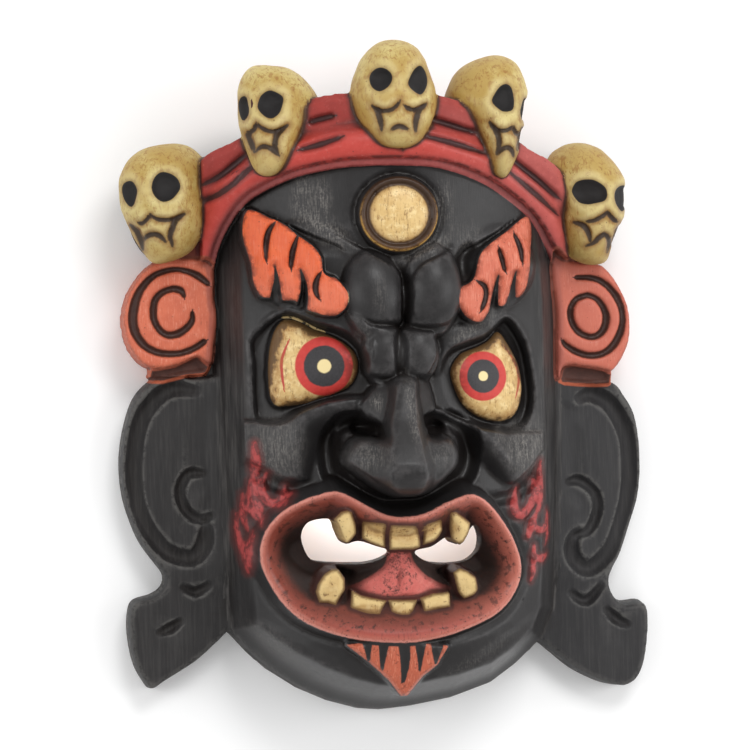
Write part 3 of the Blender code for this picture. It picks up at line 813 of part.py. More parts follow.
def skull(i):
    """rounded head set out from its own outline, with eye pits, cheek cuts, mouth and narrow jaw"""
    bm = bmesh.new()
    bmesh.ops.create_uvsphere(bm, u_segments=96, v_segments=64, radius=1.0, matrix=Matrix.Rotation(math.pi / 2, 4, 'X'))
    mid, half, ys, left, right, f, g, lean = skull_body(i)
    n = np.array([v.co[:] for v in bm.verts])
    y = mid + half * n[:, 1]
    s = np.sqrt(np.clip(n[:, 0] ** 2 + n[:, 2] ** 2, 1e-9, 1))
    c, t = n[:, 0] / s, n[:, 2] / s
    a, b = np.interp(y, ys, left), np.interp(y, ys, right)
    x = (a + b) / 2 + (b - a) / 2 * c
    z = np.where(t > 0, np.interp(y, ys, f), np.interp(y, ys, g)) * t
    carve, _, _ = skull_marks(i, *skull_sight(i, x, y, z))
    p = (np.stack(skull_leant(i, x, y, z, np.interp(y, ys, lean)), 1)
         - n * (carve * rise(-0.12, 0.12, t))[:, None] + np.array(SKULLS[i][:3]))
    for v, q in zip(bm.verts, p * MM):
        v.co = q
    me = bpy.data.meshes.new("skull")
    bm.to_mesh(me)
    bm.free()
    return me


def hollow(R):
    """the scoop at the back: follows the carving at the thickness of the wall, inside a flat rim"""
    n = int(round(HOLLOW_GRID / R.step))
    low = R.solid.copy()
    for _ in range(int(round(7.0 / R.step))):
        low = np.minimum.reduce([low, np.roll(low, 1, 0), np.roll(low, -1, 0), np.roll(low, 1, 1), np.roll(low, -1, 1)])
    for _ in range(10):
        low = (low + np.roll(low, 1, 0) + np.roll(low, -1, 0) + np.roll(low, 1, 1) + np.roll(low, -1, 1)) / 5
    X, Y, low, d = R.X[::n, ::n], R.Y[::n, ::n], low[::n, ::n], R.d_head[::n, ::n]
    z = least(low - WALL, 3.0 + 2.6 * (d - RIM), 6.0)
    z = np.where(d > RIM - 5.5, np.clip(z, -10, 80), -10)
    rows = np.nonzero((z > -9).any(1))[0]
    cols = np.nonzero((z > -9).any(0))[0]
    a, b, c, e = rows[0] - 1, rows[-1] + 2, cols[0] - 1, cols[-1] + 2
    return slab_mesh("hollow", X[0, c:e], Y[a:b, 0], z[a:b, c:e], -20.0)


def modifier(ob, kind, **kw):
    m = ob.modifiers.new(kind.title(), kind)
    for k, v in kw.items():
        setattr(m, k, v)
    return m


def applied(ob, name):
    """new object holding the evaluated mesh of ob"""
    deps = bpy.context.evaluated_depsgraph_get()
    deps.update()
    me = bpy.data.meshes.new_from_object(ob.evaluated_get(deps))
    new = link(name, me)
    bpy.data.objects.remove(ob)
    return new


def tidy(me):
    bm = bmesh.new()
    bm.from_mesh(me)
    bmesh.ops.remove_doubles(bm, verts=bm.verts[:], dist=0.00002)
    bmesh.ops.dissolve_degenerate(bm, dist=0.00002, edges=bm.edges[:])
    bmesh.ops.triangulate(bm, faces=bm.faces[:])
    bm.to_mesh(me)
    bm.free()


def main():
    for ob in list(bpy.data.objects):
        bpy.data.objects.remove(ob)
    R = front_relief(GRID)
    # the relief and the skulls are grown together into one body
    bm = bmesh.new()
    bm.from_mesh(slab_mesh("carve", R.X[0], R.Y[:, 0], R.H, -8.0))
    for i in range(5):
        bm.from_mesh(skull(i))
    me = bpy.data.meshes.new("carve")
    bm.to_mesh(me)
    bm.free()
    carve = link("carve", me)
    modifier(carve, 'REMESH', mode='VOXEL', voxel_size=VOXEL * MM)
    body = applied(carve, "body")
    # what lies under the back plane goes before thinning, so that facets are spent on the carving
    bm = bmesh.new()
    bm.from_mesh(body.data)
    bmesh.ops.bisect_plane(bm, geom=bm.verts[:] + bm.edges[:] + bm.faces[:], plane_co=(0, 0, -0.0025),
                           plane_no=(0, 0, -1), clear_outer=True)
    rim = [e for e in bm.edges if e.is_boundary]
    bmesh.ops.holes_fill(bm, edges=rim, sides=0)
    bmesh.ops.triangulate(bm, faces=bm.faces[:])
    bm.to_mesh(body.data)
    bm.free()
    modifier(body, 'DECIMATE', ratio=min(1.0, FACETS / len(body.data.polygons)), use_collapse_triangulate=True)
    body = applied(body, "body")
    scoop = link("scoop", hollow(R))
    bpy.ops.mesh.primitive_cube_add(size=1.0, location=(0, 0, -0.05))
    under = bpy.context.object
    under.name = "under"
    under.data.transform(Matrix.Diagonal((0.4, 0.4, 0.1, 1.0)))
    for cutter in (scoop, under):
        modifier(body, 'BOOLEAN', operation='DIFFERENCE', solver='EXACT', object=cutter)
        cutter.hide_render = True
        cutter.display_type = 'WIRE'
    mask = applied(body, "bhairab_mask")
    for cutter in (scoop, under):
        bpy.data.objects.remove(cutter)
    tidy(mask.data)
    # the origin goes to the middle of the underside
    co = np.array([v.co[:] for v in mask.data.vertices])
    lo, hi = co.min(0), co.max(0)
    mask.data.transform(Matrix.Translation((-(lo[0] + hi[0]) / 2, -(lo[1] + hi[1]) / 2, -lo[2])))
    mat = bpy.data.materials.new("painted_wood")
    mat.use_nodes = True
    p = mat.node_tree.nodes["Principled BSDF"]
    p.inputs["Base Color"].default_value = COLOUR
    p.inputs["Roughness"].default_value = 0.45
    p.inputs["Metallic"].default_value = 0.0
    mask.data.materials.clear()
    mask.data.materials.append(mat)
    mask.data.shade_smooth()
    mask.data.set_sharp_from_angle(angle=math.radians(35))
    print("triangles", len(mask.data.polygons), "shift mm", [round(float(-(lo[k] + hi[k]) / 2 * 1000), 3) for k in (0, 1)],
          "size mm", [round(float((hi[k] - lo[k]) * 1000), 1) for k in range(3)])


main()
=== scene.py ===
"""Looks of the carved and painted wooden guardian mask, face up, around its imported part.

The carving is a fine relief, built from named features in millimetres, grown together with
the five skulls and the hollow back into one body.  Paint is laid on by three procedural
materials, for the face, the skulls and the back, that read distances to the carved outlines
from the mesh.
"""
import bpy
import bmesh
import math
import numpy as np
from mathutils import Matrix, Vector
from mathutils.kdtree import KDTree


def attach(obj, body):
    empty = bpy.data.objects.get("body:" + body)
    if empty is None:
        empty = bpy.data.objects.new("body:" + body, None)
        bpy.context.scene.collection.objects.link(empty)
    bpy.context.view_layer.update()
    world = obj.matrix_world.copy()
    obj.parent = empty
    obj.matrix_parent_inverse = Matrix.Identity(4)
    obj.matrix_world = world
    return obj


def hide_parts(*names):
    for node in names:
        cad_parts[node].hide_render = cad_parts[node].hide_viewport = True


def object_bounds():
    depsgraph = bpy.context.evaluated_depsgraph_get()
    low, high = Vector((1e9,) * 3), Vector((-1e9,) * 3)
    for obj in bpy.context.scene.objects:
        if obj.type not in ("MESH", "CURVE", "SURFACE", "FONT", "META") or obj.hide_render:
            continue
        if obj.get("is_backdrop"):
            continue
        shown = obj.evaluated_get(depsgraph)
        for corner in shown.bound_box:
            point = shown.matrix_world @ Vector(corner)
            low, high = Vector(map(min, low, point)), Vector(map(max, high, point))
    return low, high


MM = 0.001
SHIFT = (-0.091, 3.454)       # mm, from the carving's own centre line to the part's origin
STEP = 0.6                    # mm, spacing of the relief
VOXEL = 0.68                  # mm, spacing at which the bodies are grown together
FACES = 197000
KEEP = 2e-6                   # how much finer paint holds on to its faces
EAR_THICKNESS = 16.5
WALL = 10.0
RIM = 12.0
MOUTH_FLOOR = 44.0
ROSETTE_Z = 26.0
# places with fine paint: x, y, half sizes, turn, any
FINE_PAINT = [(-43, 48, 24, 26, 0, 1), (43, 45, 20, 26, 0, 1), (-37, 6, 22, 22, 0, 1), (39, -2, 20, 22, 0, 1), (-3, -84, 40, 26, 0, 1),
              (-59, -58, 14, 30, 0, 1), (60, -66, 12, 28, 0, 1), (-3, -126, 22, 14, 0, 1),
              (-98, 75, 18, 24, 0, 1), (-52, 108, 16, 22, 0, 1), (1, 117, 18, 22, 0, 1), (50, 108, 14, 24, 0, 1), (94, 71, 17, 24, 0, 1)]
VIEWER = (-184.6, -0.4, 1488.8)   # place of the camera; the skulls' faces are laid out square to it
# the skulls: centre x y z, outline about that centre, depth in front and behind
SKULLS = [
    (-98.0, 77.0, 29.0, [(-18.0, 6.4), (-17.0, 13.0), (-14.2, 18.6), (-9.6, 22.8), (-4.0, 25.0), (2.6, 26.2), (9.2, 26.0),
                         (14.4, 24.2), (18.6, 20.0), (20.2, 14.0), (19.8, 5.6), (18.8, -5.2), (16.4, -16.2), (10.2, -23.0),
                         (1.4, -25.8), (-4.4, -25.6), (-9.4, -19.2), (-13.6, -11.2), (-16.8, -3.2)], 20.0, 21.0, 4.0),
    (-50.2, 109.9, 55.0, [(-14.8, 7.8), (-14.6, 13.4), (-13.2, 19.0), (-10.0, 23.2), (-4.8, 24.8), (6.0, 23.4), (11.2, 20.8),
                          (15.8, 16.4), (19.4, 10.2), (17.0, 2.8), (13.6, -3.6), (9.4, -12.2), (4.8, -19.0), (0.4, -22.4),
                          (-3.0, -23.2), (-7.0, -21.8), (-10.2, -16.2), (-13.0, -7.4), (-14.6, 0.4)], 18.5, 24.0, 12.0),
    (-0.1, 119.25, 66.0, [(0.4, 24.4), (-6.0, 22.4), (-11.4, 17.6), (-15.0, 10.8), (-17.4, 2.2), (-16.8, -3.8), (-13.4, -10.4),
                        (-9.2, -16.4), (-4.2, -20.8), (1.4, -22.2), (7.2, -22.0), (12.4, -19.0), (17.0, -12.6), (19.2, -6.2),
                        (19.8, -1.0), (18.2, 5.2), (15.8, 13.0), (12.6, 19.8), (7.0, 23.4)], 19.5, 24.0, 13.0),
    (46.7, 109.9, 55.0, [(-21.6, 8.8), (-18.4, 17.2), (-14.2, 22.2), (-7.8, 25.6), (-1.2, 27.4), (4.6, 27.2), (9.8, 24.0),
                         (12.8, 18.8), (14.4, 12.2), (13.8, 5.8), (12.6, -0.8), (11.2, -9.6), (8.6, -18.2), (5.4, -23.8),
                         (2.8, -25.6), (-1.2, -23.2), (-4.4, -15.8), (-7.4, -9.2), (-11.4, -2.6), (-17.4, 3.6)], 18.5, 24.0, 12.0),
    (92.0, 73.0, 29.0, [(-19.0, 16.4), (-16.0, 22.6), (-10.6, 26.4), (-3.8, 27.4), (2.6, 26.0), (7.4, 23.2), (12.8, 17.2),
                        (15.8, 11.4), (17.0, 3.8), (16.2, -2.8), (13.4, -10.8), (10.0, -18.8), (7.4, -25.2), (2.0, -27.0),
                        (-4.2, -25.8), (-9.4, -21.8), (-12.4, -9.0), (-14.2, 2.2), (-17.2, 9.6)], 20.0, 21.0, 4.0)]
# each skull's face about its centre (mm): eye pits, the cuts under the cheekbones, the
# grooves beside the muzzle and the mouth
SKULL_FACES = [
    dict(pits=[[(-3.6, 6.2), (-3.0, 10.0), (-1.2, 12.6), (1.4, 13.8), (5.4, 12.6), (8.0, 10.2), (8.8, 6.8), (7.0, 3.8),
                (4.6, 1.6), (1.2, 0.8), (-1.8, 2.6)],
               [(-16.6, 6.4), (-15.8, 9.0), (-13.4, 10.2), (-11.4, 9.4), (-10.0, 6.2), (-10.6, 2.8), (-12.0, -0.8),
                (-13.8, -0.6), (-15.8, 2.4)]],
         arcs=[[(11.0, -4.2), (6.2, -6.0), (1.8, -6.4), (-2.0, -5.8), (-4.6, -4.0)],
               [(-4.6, -4.0), (-6.0, -5.6), (-8.2, -7.6), (-10.4, -7.6)]],
         grooves=[[(10.2, -4.6), (6.6, -7.2), (4.8, -10.8), (3.8, -14.2), (5.0, -18.8)],
                  [(-13.2, -9.0), (-10.6, -11.8), (-9.0, -15.6), (-8.2, -20.0)]],
         mouth=[(-8.0, -16.2), (-6.2, -14.0), (-3.6, -13.2), (-0.6, -14.0), (2.0, -16.8)]),
    dict(pits=[[(-6.2, 6.2), (-5.2, 10.6), (-3.0, 12.8), (-0.8, 13.6), (2.2, 12.6), (4.8, 10.4), (4.2, 6.6), (2.8, 3.6),
                (-0.2, 1.6), (-3.4, 2.6)],
               [(-14.6, 8.2), (-13.4, 10.8), (-11.2, 11.2), (-10.4, 8.0), (-10.0, 4.6), (-11.6, 1.4), (-13.0, 1.0),
                (-14.2, 4.0)]],
         arcs=[[(6.2, -1.4), (1.8, -3.2), (-1.2, -3.2), (-4.2, -2.0), (-6.4, -0.2)],
               [(-7.0, 0.2), (-9.0, -3.0), (-11.2, -3.8)]],
         grooves=[[(6.4, -1.4), (3.2, -3.8), (1.2, -6.8), (0.8, -10.6), (2.4, -14.6)],
                  [(-11.2, -4.8), (-9.6, -8.4), (-8.0, -12.8)]],
         mouth=[(-7.4, -12.6), (-5.8, -10.8), (-3.2, -10.4), (-0.6, -11.6), (2.8, -14.6)]),
    dict(pits=[[(-8.8, 7.2), (-8.2, 9.8), (-6.4, 11.6), (-4.2, 12.4), (-1.6, 11.8), (0.6, 9.8), (1.0, 7.2), (-0.4, 4.6),
                (-3.2, 2.6), (-5.4, 2.4), (-7.8, 4.2)],
               [(7.8, 5.8), (9.2, 9.2), (11.0, 11.8), (13.2, 13.0), (15.0, 11.2), (16.0, 8.2), (16.0, 5.2), (14.8, 2.2),
                (13.0, 0.6), (10.8, 1.6), (8.6, 3.6)]],
         arcs=[[(4.4, -1.2), (2.4, -3.2), (-0.2, -5.0), (-3.4, -5.4), (-6.4, -4.4), (-8.4, -3.0)],
               [(15.8, -3.0), (13.2, -4.4), (10.6, -5.2), (7.6, -4.6), (5.4, -3.2)]],
         grooves=[[(-6.8, -4.8), (-4.8, -8.8), (-4.0, -14.4)],
                  [(14.8, -3.6), (11.8, -6.8), (10.6, -11.2), (10.4, -15.2)]],
         mouth=[(-0.2, -14.4), (1.6, -13.2), (4.2, -12.8), (7.6, -14.2)]),
    dict(pits=[[(-0.8, 7.2), (0.6, 10.8), (3.0, 13.8), (5.6, 14.8), (7.8, 13.2), (8.6, 9.8), (8.8, 6.2), (8.0, 3.6),
                (5.2, 2.8), (2.6, 3.6)],
               [(11.4, 2.6), (12.0, 5.2), (13.4, 8.6), (15.2, 7.0), (15.0, 2.6), (13.4, -0.8), (12.0, -0.4)]],
         arcs=[[(7.8, -3.2), (5.6, -4.4), (2.8, -4.6), (-0.2, -3.6), (-2.0, -1.4)],
               [(11.6, -7.2), (9.4, -5.6), (8.6, -3.2)]],
         grooves=[[(-2.0, -1.6), (0.6, -5.4), (1.8, -9.4), (1.4, -12.8), (0.4, -15.6)],
                  [(12.2, -4.4), (11.6, -8.6), (9.6, -13.8)]],
         mouth=[(0.6, -16.0), (2.2, -14.0), (4.8, -12.6), (7.0, -13.4), (8.0, -16.6)]),
    dict(pits=[[(-7.0, 5.6), (-5.6, 9.2), (-3.2, 10.6), (1.2, 11.0), (4.8, 9.8), (8.0, 7.2), (8.8, 4.0), (7.4, 1.4),
                (3.2, 0.4), (-0.4, 0.0), (-4.2, 1.2)],
               [(12.0, 4.0), (13.0, 6.6), (15.2, 8.0), (17.4, 7.4), (18.0, 3.0), (17.4, -1.2), (15.2, -3.4),
                (13.4, -1.4), (12.2, 1.2)]],
         arcs=[[(8.6, -3.0), (5.4, -5.2), (2.2, -6.6), (-1.4, -7.4)],
               [(13.4, -8.2), (10.8, -5.4), (8.6, -3.0)]],
         grooves=[[(-6.4, -7.8), (-2.4, -9.2), (-0.2, -12.2), (0.8, -16.8)],
                  [(13.8, -10.0), (12.4, -14.4), (10.4, -18.8)]],
         mouth=[(-1.8, -18.4), (1.8, -17.2), (5.0, -14.6), (7.4, -13.6), (9.2, -16.6), (8.0, -21.4)])]
# ---------------------------------------------------------------- outlines (mm, x y [z])
HEAD = [(-74.5, 70), (-75.5, 35), (-75, -10), (-74, -54), (-72.5, -98), (-71, -111.5), (-62.5, -121),
        (-54, -129), (-40.5, -138), (-27.5, -144), (-14, -148), (-4, -149), (8.5, -148), (26.5, -145),
        (44.5, -139), (56, -131), (67.5, -120.5), (74, -106), (77.5, -58), (78.5, -13), (79, 31), (77, 62),
        (72, 88), (59, 97.5), (40.5, 111), (21, 118.5), (1, 121), (-17, 120.5), (-38, 117), (-63.5, 103),
        (-78, 93)]
BAND_LOW = [(-76, 42, 24), (-73, 56, 31), (-68.5, 66.5, 41), (-60.5, 76.5, 52), (-44, 84.5, 64),
            (-27.5, 88, 70), (-15, 89, 73), (2.5, 89, 74), (20, 87.5, 72), (38.5, 81.5, 64), (53, 73, 54),
            (63, 65, 45), (72, 53, 33), (79, 40, 24)]
BAND_TOP = [(-88, 74, 24), (-80.5, 94, 36), (-63.5, 103, 46), (-38, 117, 56), (-17, 120.5, 60), (1, 121, 62),
            (21, 118.5, 60), (40.5, 111.5, 56), (59, 97.5, 46), (76, 87.5, 36), (88, 66, 24)]
BAND_LINES = [[(-82, 83.5), (-73, 87.5), (-66.5, 92.5), (-61, 97)], [(-81, 77), (-74, 79.5), (-68, 83.5), (-62.5, 88.5), (-57, 92)],
              [(-36, 108.5), (-30, 110), (-25, 111)], [(-41, 96.5), (-32, 98.5), (-22.5, 101.5)],
              [(15, 109), (22.5, 107), (29, 105), (37, 103)], [(11, 101.5), (21.5, 99), (30.5, 96.5), (41, 93.5)],
              [(52, 93), (62.5, 85.5), (70, 80), (77, 75)], [(49, 88), (59, 80.5), (66.5, 75), (76, 68)]]
LIP = [(-60.5, -79.5, 58), (-60, -71, 59), (-56.5, -63.5, 62), (-50.5, -57.5, 66), (-44.5, -54, 70),
       (-38.5, -51.5, 74), (-30, -49.5, 78), (-24, -51.5, 80), (-15.5, -56.5, 83), (-8.5, -60, 85),
       (-1.5, -61, 86), (7.5, -60, 85), (16.5, -56, 83), (23.5, -53.5, 81), (29, -52.5, 79), (35, -55, 75),
       (42, -62, 69), (49, -72, 62), (53, -82.5, 58), (52.5, -91, 58), (47.5, -99.5, 61), (39, -106, 66),
       (24, -111.5, 72), (9.5, -114.5, 76), (-6, -115, 78), (-25, -112.5, 76), (-41.5, -106.5, 70),
       (-51.5, -98, 63), (-57.5, -88, 59)]
HOLE_L = [(-41.5, -70), (-40, -64), (-35, -62), (-29, -62.5), (-27, -67.5), (-24, -73), (-19, -71.5),
          (-12.5, -73.5), (-5.5, -76), (-6, -78), (-12, -81), (-20.5, -82), (-34.5, -81), (-39, -78)]
HOLE_R = [(5, -76.5), (12.5, -75), (20, -71), (25, -75), (30, -71.5), (33, -66), (35.5, -69.5), (36.5, -74),
          (35.5, -79), (30, -83), (19, -83.5), (10, -81)]
SOCKET_L = [(-61, 6), (-61.5, 15), (-57, 22), (-48, 27.5), (-41, 26), (-35, 23), (-26, 20.5), (-19, 16),
            (-14.5, 9), (-14, 1), (-18, -6), (-26, -10.5), (-34, -12), (-43, -16), (-49, -20), (-59, -19.5),
            (-61, -10)]
SOCKET_R = [(49, 23.5), (56, 17), (60, 8), (62, -4), (62, -15), (58, -24), (50, -27), (44, -25.5), (35, -23.5),
            (26, -18), (19.5, -9), (18.5, 1), (22, 9), (30, 12.5), (39, 15.5)]
EYE_L = [(-54.5, 3), (-53.5, 13), (-51, 20.5), (-47, 24.5), (-40.5, 23), (-36, 20.2), (-29, 17.4), (-22.5, 13.7),
         (-18, 9), (-17, 2), (-20.3, -4.6), (-26.3, -7.7), (-33, -9.7), (-39, -11.7), (-45.7, -12.8), (-51.4, -12.7),
         (-54, -8)]
EYE_R = [(46, 17), (51, 10.5), (55, 2.5), (56.5, -6.5), (55.5, -14), (52, -20), (45, -22), (35.5, -19.5),
         (28.5, -14), (24.5, -5.5), (23.5, 1), (28, 7.5), (36, 10.5), (41, 13)]
BROW_L = [(-62, 72), (-58, 71), (-54, 68.6), (-50, 66.7), (-46.4, 64.3), (-43, 61), (-40.1, 58.7), (-36.5, 55.8),
          (-34, 52.7), (-32.5, 49.5), (-32.2, 44.5), (-30, 42.1), (-27, 41.3), (-25, 39.1), (-23, 36.5), (-21.9, 33.5),
          (-22.4, 30.1), (-24.1, 27.6), (-27, 25.6), (-31, 25.6), (-35, 26.7), (-39.6, 28.8), (-43.5, 32.2),
          (-48, 32.7), (-52, 33.7), (-57, 34.6), (-59, 37.5), (-60.5, 41.5), (-61.3, 49), (-63, 55), (-64.3, 61), (-64, 68)]
BROW_R = [(60, 67), (62, 64.5), (62.2, 57), (60.5, 50), (59.7, 43), (58.3, 35.8), (55.5, 32), (52, 31.6), (48.7, 29.2),
          (46.8, 28), (42.5, 28.5), (39.5, 24.8), (36.3, 21.4), (31.5, 22.3), (27.5, 26), (25.8, 31), (27, 35.8),
          (31.2, 38), (33.4, 40), (34.9, 44.5), (36, 48.5), (38.5, 52.4), (44.7, 57), (50, 60.4), (56, 64.8)]
# wedges between the lobes of each brow: x, y, half width
BROW_GAPS = [[(-51.8, 47.5, 0.3), (-51.1, 42, 1.0), (-51.3, 37, 1.9), (-51.6, 31, 3.0)],
             [(-41.2, 45.5, 0.3), (-40, 39.5, 1.2), (-40.2, 34, 1.8), (-41.5, 28, 2.6)],
             [(53.2, 42.8, 0.3), (52.1, 38, 0.9), (51.6, 33, 1.6), (51.2, 29.5, 2.4)],
             [(45.2, 41.5, 0.3), (43.9, 36, 1.1), (43.0, 30, 1.8), (42.6, 25.5, 2.4)]]
BROW_CUTS_L = [[(-51.2, 66.2), (-53.8, 62.2), (-54.9, 57), (-55.2, 49.5)], [(-41.5, 60.8), (-43.8, 54.8), (-44.7, 50.5), (-45.1, 45.8)],
               [(-33, 44), (-34.9, 40.3), (-35.3, 36.5), (-34, 32.4)]]
BROW_CUTS_R = [[(53.2, 59.6), (54.8, 55.7), (55.9, 51.4), (56.3, 46.2)], [(45.6, 53.2), (46.9, 48.3), (48.2, 42.6)],
               [(34.6, 39), (38.2, 36.7), (39, 33.2), (37.9, 29.3), (36, 25.7)]]
EAR_L = [(-86, 0), (-98, 0.5), (-103.5, -1.5), (-110.5, -9), (-115, -22), (-117, -35), (-116.5, -48.5),
         (-114, -59.5), (-109.5, -71), (-103.5, -80), (-99.5, -85.5), (-99, -90), (-101.5, -94), (-106, -96.5),
         (-113, -98.5), (-115, -103), (-115.5, -111), (-114.5, -120), (-112.5, -127.5), (-109.5, -133),
         (-106.5, -136.5), (-100.5, -133), (-87, -125), (-78, -117.5), (-70, -111), (-60, -112), (-60, -10)]
EAR_R = [(90, -5), (103.5, -6.5), (108.5, -12), (113.5, -21.5), (115.5, -37.5), (114.5, -55.5), (110.5, -69),
         (105.5, -82.5), (100.5, -92), (100, -98), (102.5, -103.5), (107, -106.5), (114.5, -106), (117, -109),
         (117, -119), (115, -132), (111.5, -139.5), (107, -142.5), (103, -142.5), (95.5, -140.5), (84, -134.5),
         (75, -127), (67, -120.5), (60, -118), (60, -10)]
HELIX_L = [(-82, -6), (-93, -4), (-101, -8), (-108, -17), (-111.5, -30), (-112, -48), (-109, -61), (-103, -71),
           (-96.5, -77), (-88, -79), (-83, -75), (-81, -68), (-82, -62)]
HELIX_R = [(86, -14.5), (93.5, -11.5), (102, -16), (108, -26), (110.5, -37), (110, -55), (106.5, -68.5),
           (102, -79.5), (96, -86.5), (90, -89.5), (85, -86.5), (82.5, -81), (84, -75), (88, -72)]
TRAGUS_L = [(-77, -60), (-84, -62), (-90, -57), (-92, -49), (-88, -42), (-80, -42)]
TRAGUS_R = [(80, -51), (87, -50), (94, -56), (95, -64), (91, -72), (84, -75)]
GOUGES_L = [[(-93, -91), (-86, -94), (-79, -90)], [(-104, -112), (-98, -110), (-92, -106)]]
GOUGES_R = [[(81, -99), (89, -104), (97, -96)], [(97, -107), (103, -113), (109, -116)]]
BEARD = [(-26, -115.5), (-18.4, -121.5), (-12, -127.3), (-6.7, -132.8), (-2.2, -138.8), (0.6, -138.6), (6.8, -130.6),
         (13.4, -125.3), (18, -117.5), (-4, -113)]
BEARD_CUTS = [[(-17.2, -115, 2.0), (-16.6, -122.5, 0.6)], [(-10.2, -115.5, 2.3), (-11, -126.5, 0.7)],
              [(-1.5, -116, 2.6), (-1, -124, 2.0), (-1.9, -133.5, 0.7)], [(5.6, -116.3, 2.4), (5.6, -123, 1.2), (5.2, -128.5, 0.4)],
              [(13, -116.5, 2.9), (12.4, -124.5, 0.8)]]
NOSE = [(-5, -2), (-6.5, -12), (-8.5, -22), (-9, -27.5), (-17.5, -27), (-23, -30), (-25.5, -37), (-19.5, -43),
        (-11.5, -49.5), (-4, -52.5), (4, -52.5), (10, -51), (17, -45.5), (23.5, -39), (23, -31.5), (19, -27.5),
        (11.5, -27.5), (10, -20), (8, -10), (7, -2)]
# tongues of painted flame: x, y, half width
FLAMES = [[(-61.6, -28.6, 1.0), (-61.3, -34, 1.9), (-60.9, -40, 1.9), (-61.3, -47, 1.2), (-60.8, -53, 1.2), (-59.3, -58, 1.6), (-59.4, -64.4, 0.4)],
          [(-60.5, -41.5, 1.3), (-58.7, -45.5, 1.7), (-58.4, -50, 1.7), (-55.4, -54.4, 1.8), (-51.4, -54.2, 1.9), (-49.2, -51, 1.8), (-48.9, -47.4, 0.4)],
          [(-58.2, -46, 1.2), (-57, -43.5, 0.9), (-56.2, -41.2, 0.3)], [(-50, -52, 1.6), (-46, -50.2, 0.4)],
          [(-62.8, -44.5, 0.6), (-63.4, -51, 1.0), (-62.6, -57.5, 1.7), (-60.3, -60.5, 1.6)],
          [(-66, -50.6, 0.4), (-66, -56, 1.0), (-65.9, -61, 1.2), (-64.2, -67, 0.4)], [(-66, -56.5, 0.9), (-62.6, -59, 1.0)],
          [(-68.2, -59.4, 0.5), (-68.4, -66, 0.9), (-67.2, -72.5, 1.4), (-65.4, -75.5, 2.2), (-64.9, -80, 1.7), (-64.5, -85.3, 0.4)],
          [(-65.2, -75, 1.7), (-63.3, -70.5, 1.0), (-62.6, -66.6, 0.3)],
          [(64.6, -39.8, 0.5), (64, -46, 1.3), (63.9, -54, 1.4), (63, -60, 1.1), (61.5, -63, 0.8), (59.5, -67, 1.8), (57.6, -72, 1.3)],
          [(61.2, -48.6, 1.0), (61.3, -54, 2.0), (58.3, -59.6, 1.7), (54.2, -62.9, 1.8), (50.9, -60.2, 2.0), (51.4, -55.5, 1.3), (52.3, -51, 0.3)],
          [(59.5, -67.8, 1.5), (63, -70, 1.2), (66.6, -69.3, 1.5), (68, -65, 1.0), (67.3, -61.4, 0.3)],
          [(67.9, -68.5, 1.1), (68.2, -73.5, 0.9), (66.6, -77, 0.3)],
          [(60.2, -77.2, 0.8), (60, -82, 1.3), (59.5, -88, 1.1), (58.2, -91.8, 0.4)], [(60.5, -82.4, 1.1), (64.6, -82.6, 1.6), (68, -81, 0.5)]]
# teeth: outline, top height, line of the ridge that splits the fangs
UPPER_TEETH = [([(-30.3, -61.5), (-27, -58.2), (-24.6, -57.8), (-22.8, -58.6), (-21.3, -63), (-20.8, -67.5), (-23, -70.4),
                 (-25.6, -72.4), (-26.8, -71.4), (-28.2, -67.9)], 79.5, [(-24.4, -57), (-25.6, -73)]),
               ([(-18.2, -62.8), (-9, -63.6), (-8.4, -74.4), (-11, -73.9), (-15.9, -71.6), (-18.4, -70)], 77.5, None),
               ([(-7, -64.4), (4.4, -65), (6, -69.6), (6.6, -74.4), (3.7, -75.4), (-6.9, -75.2)], 78.5, None),
               ([(8.4, -64.6), (15.8, -62.6), (16.4, -67.4), (14.6, -70.4), (12.6, -72.4), (7.8, -73.8)], 77.5, None),
               ([(19.4, -60), (22, -59.8), (26, -62.6), (28.6, -65), (27.6, -69), (25.2, -73), (22.6, -74), (20.4, -72.2), (19.6, -67)],
                78.5, [(21.5, -59), (24.6, -66), (23.6, -75)])]
LOWER_TEETH = [([(-34.4, -85.5), (-31, -83.3), (-28, -83.3), (-25.4, -87.4), (-25.6, -92.3), (-27.7, -95.4), (-29.4, -98.7),
                 (-33, -97.6), (-36.6, -97.3), (-38, -92.8), (-37, -89.3)], 69.5, None),
               ([(-22.6, -92.6), (-18, -95), (-7.6, -97.4), (-9, -99.7), (-11, -102.8), (-13.6, -103.1), (-18.6, -101.8), (-23.4, -99.8)], 70, None),
               ([(-7, -97.1), (5.4, -97.4), (3.6, -101.9), (1.5, -103.6), (-3.2, -103.4), (-5.9, -102)], 71.5, None),
               ([(6.8, -96.8), (12.3, -95.1), (19.9, -94.6), (20, -101), (13.7, -101.9), (8.4, -102.6)], 70, None),
               ([(21.8, -86.4), (24.5, -84.6), (28.1, -86), (31.8, -89), (32.2, -94.4), (30.6, -96.4), (26.5, -98), (24, -95.4), (22.8, -91.2)], 68.5, None)]
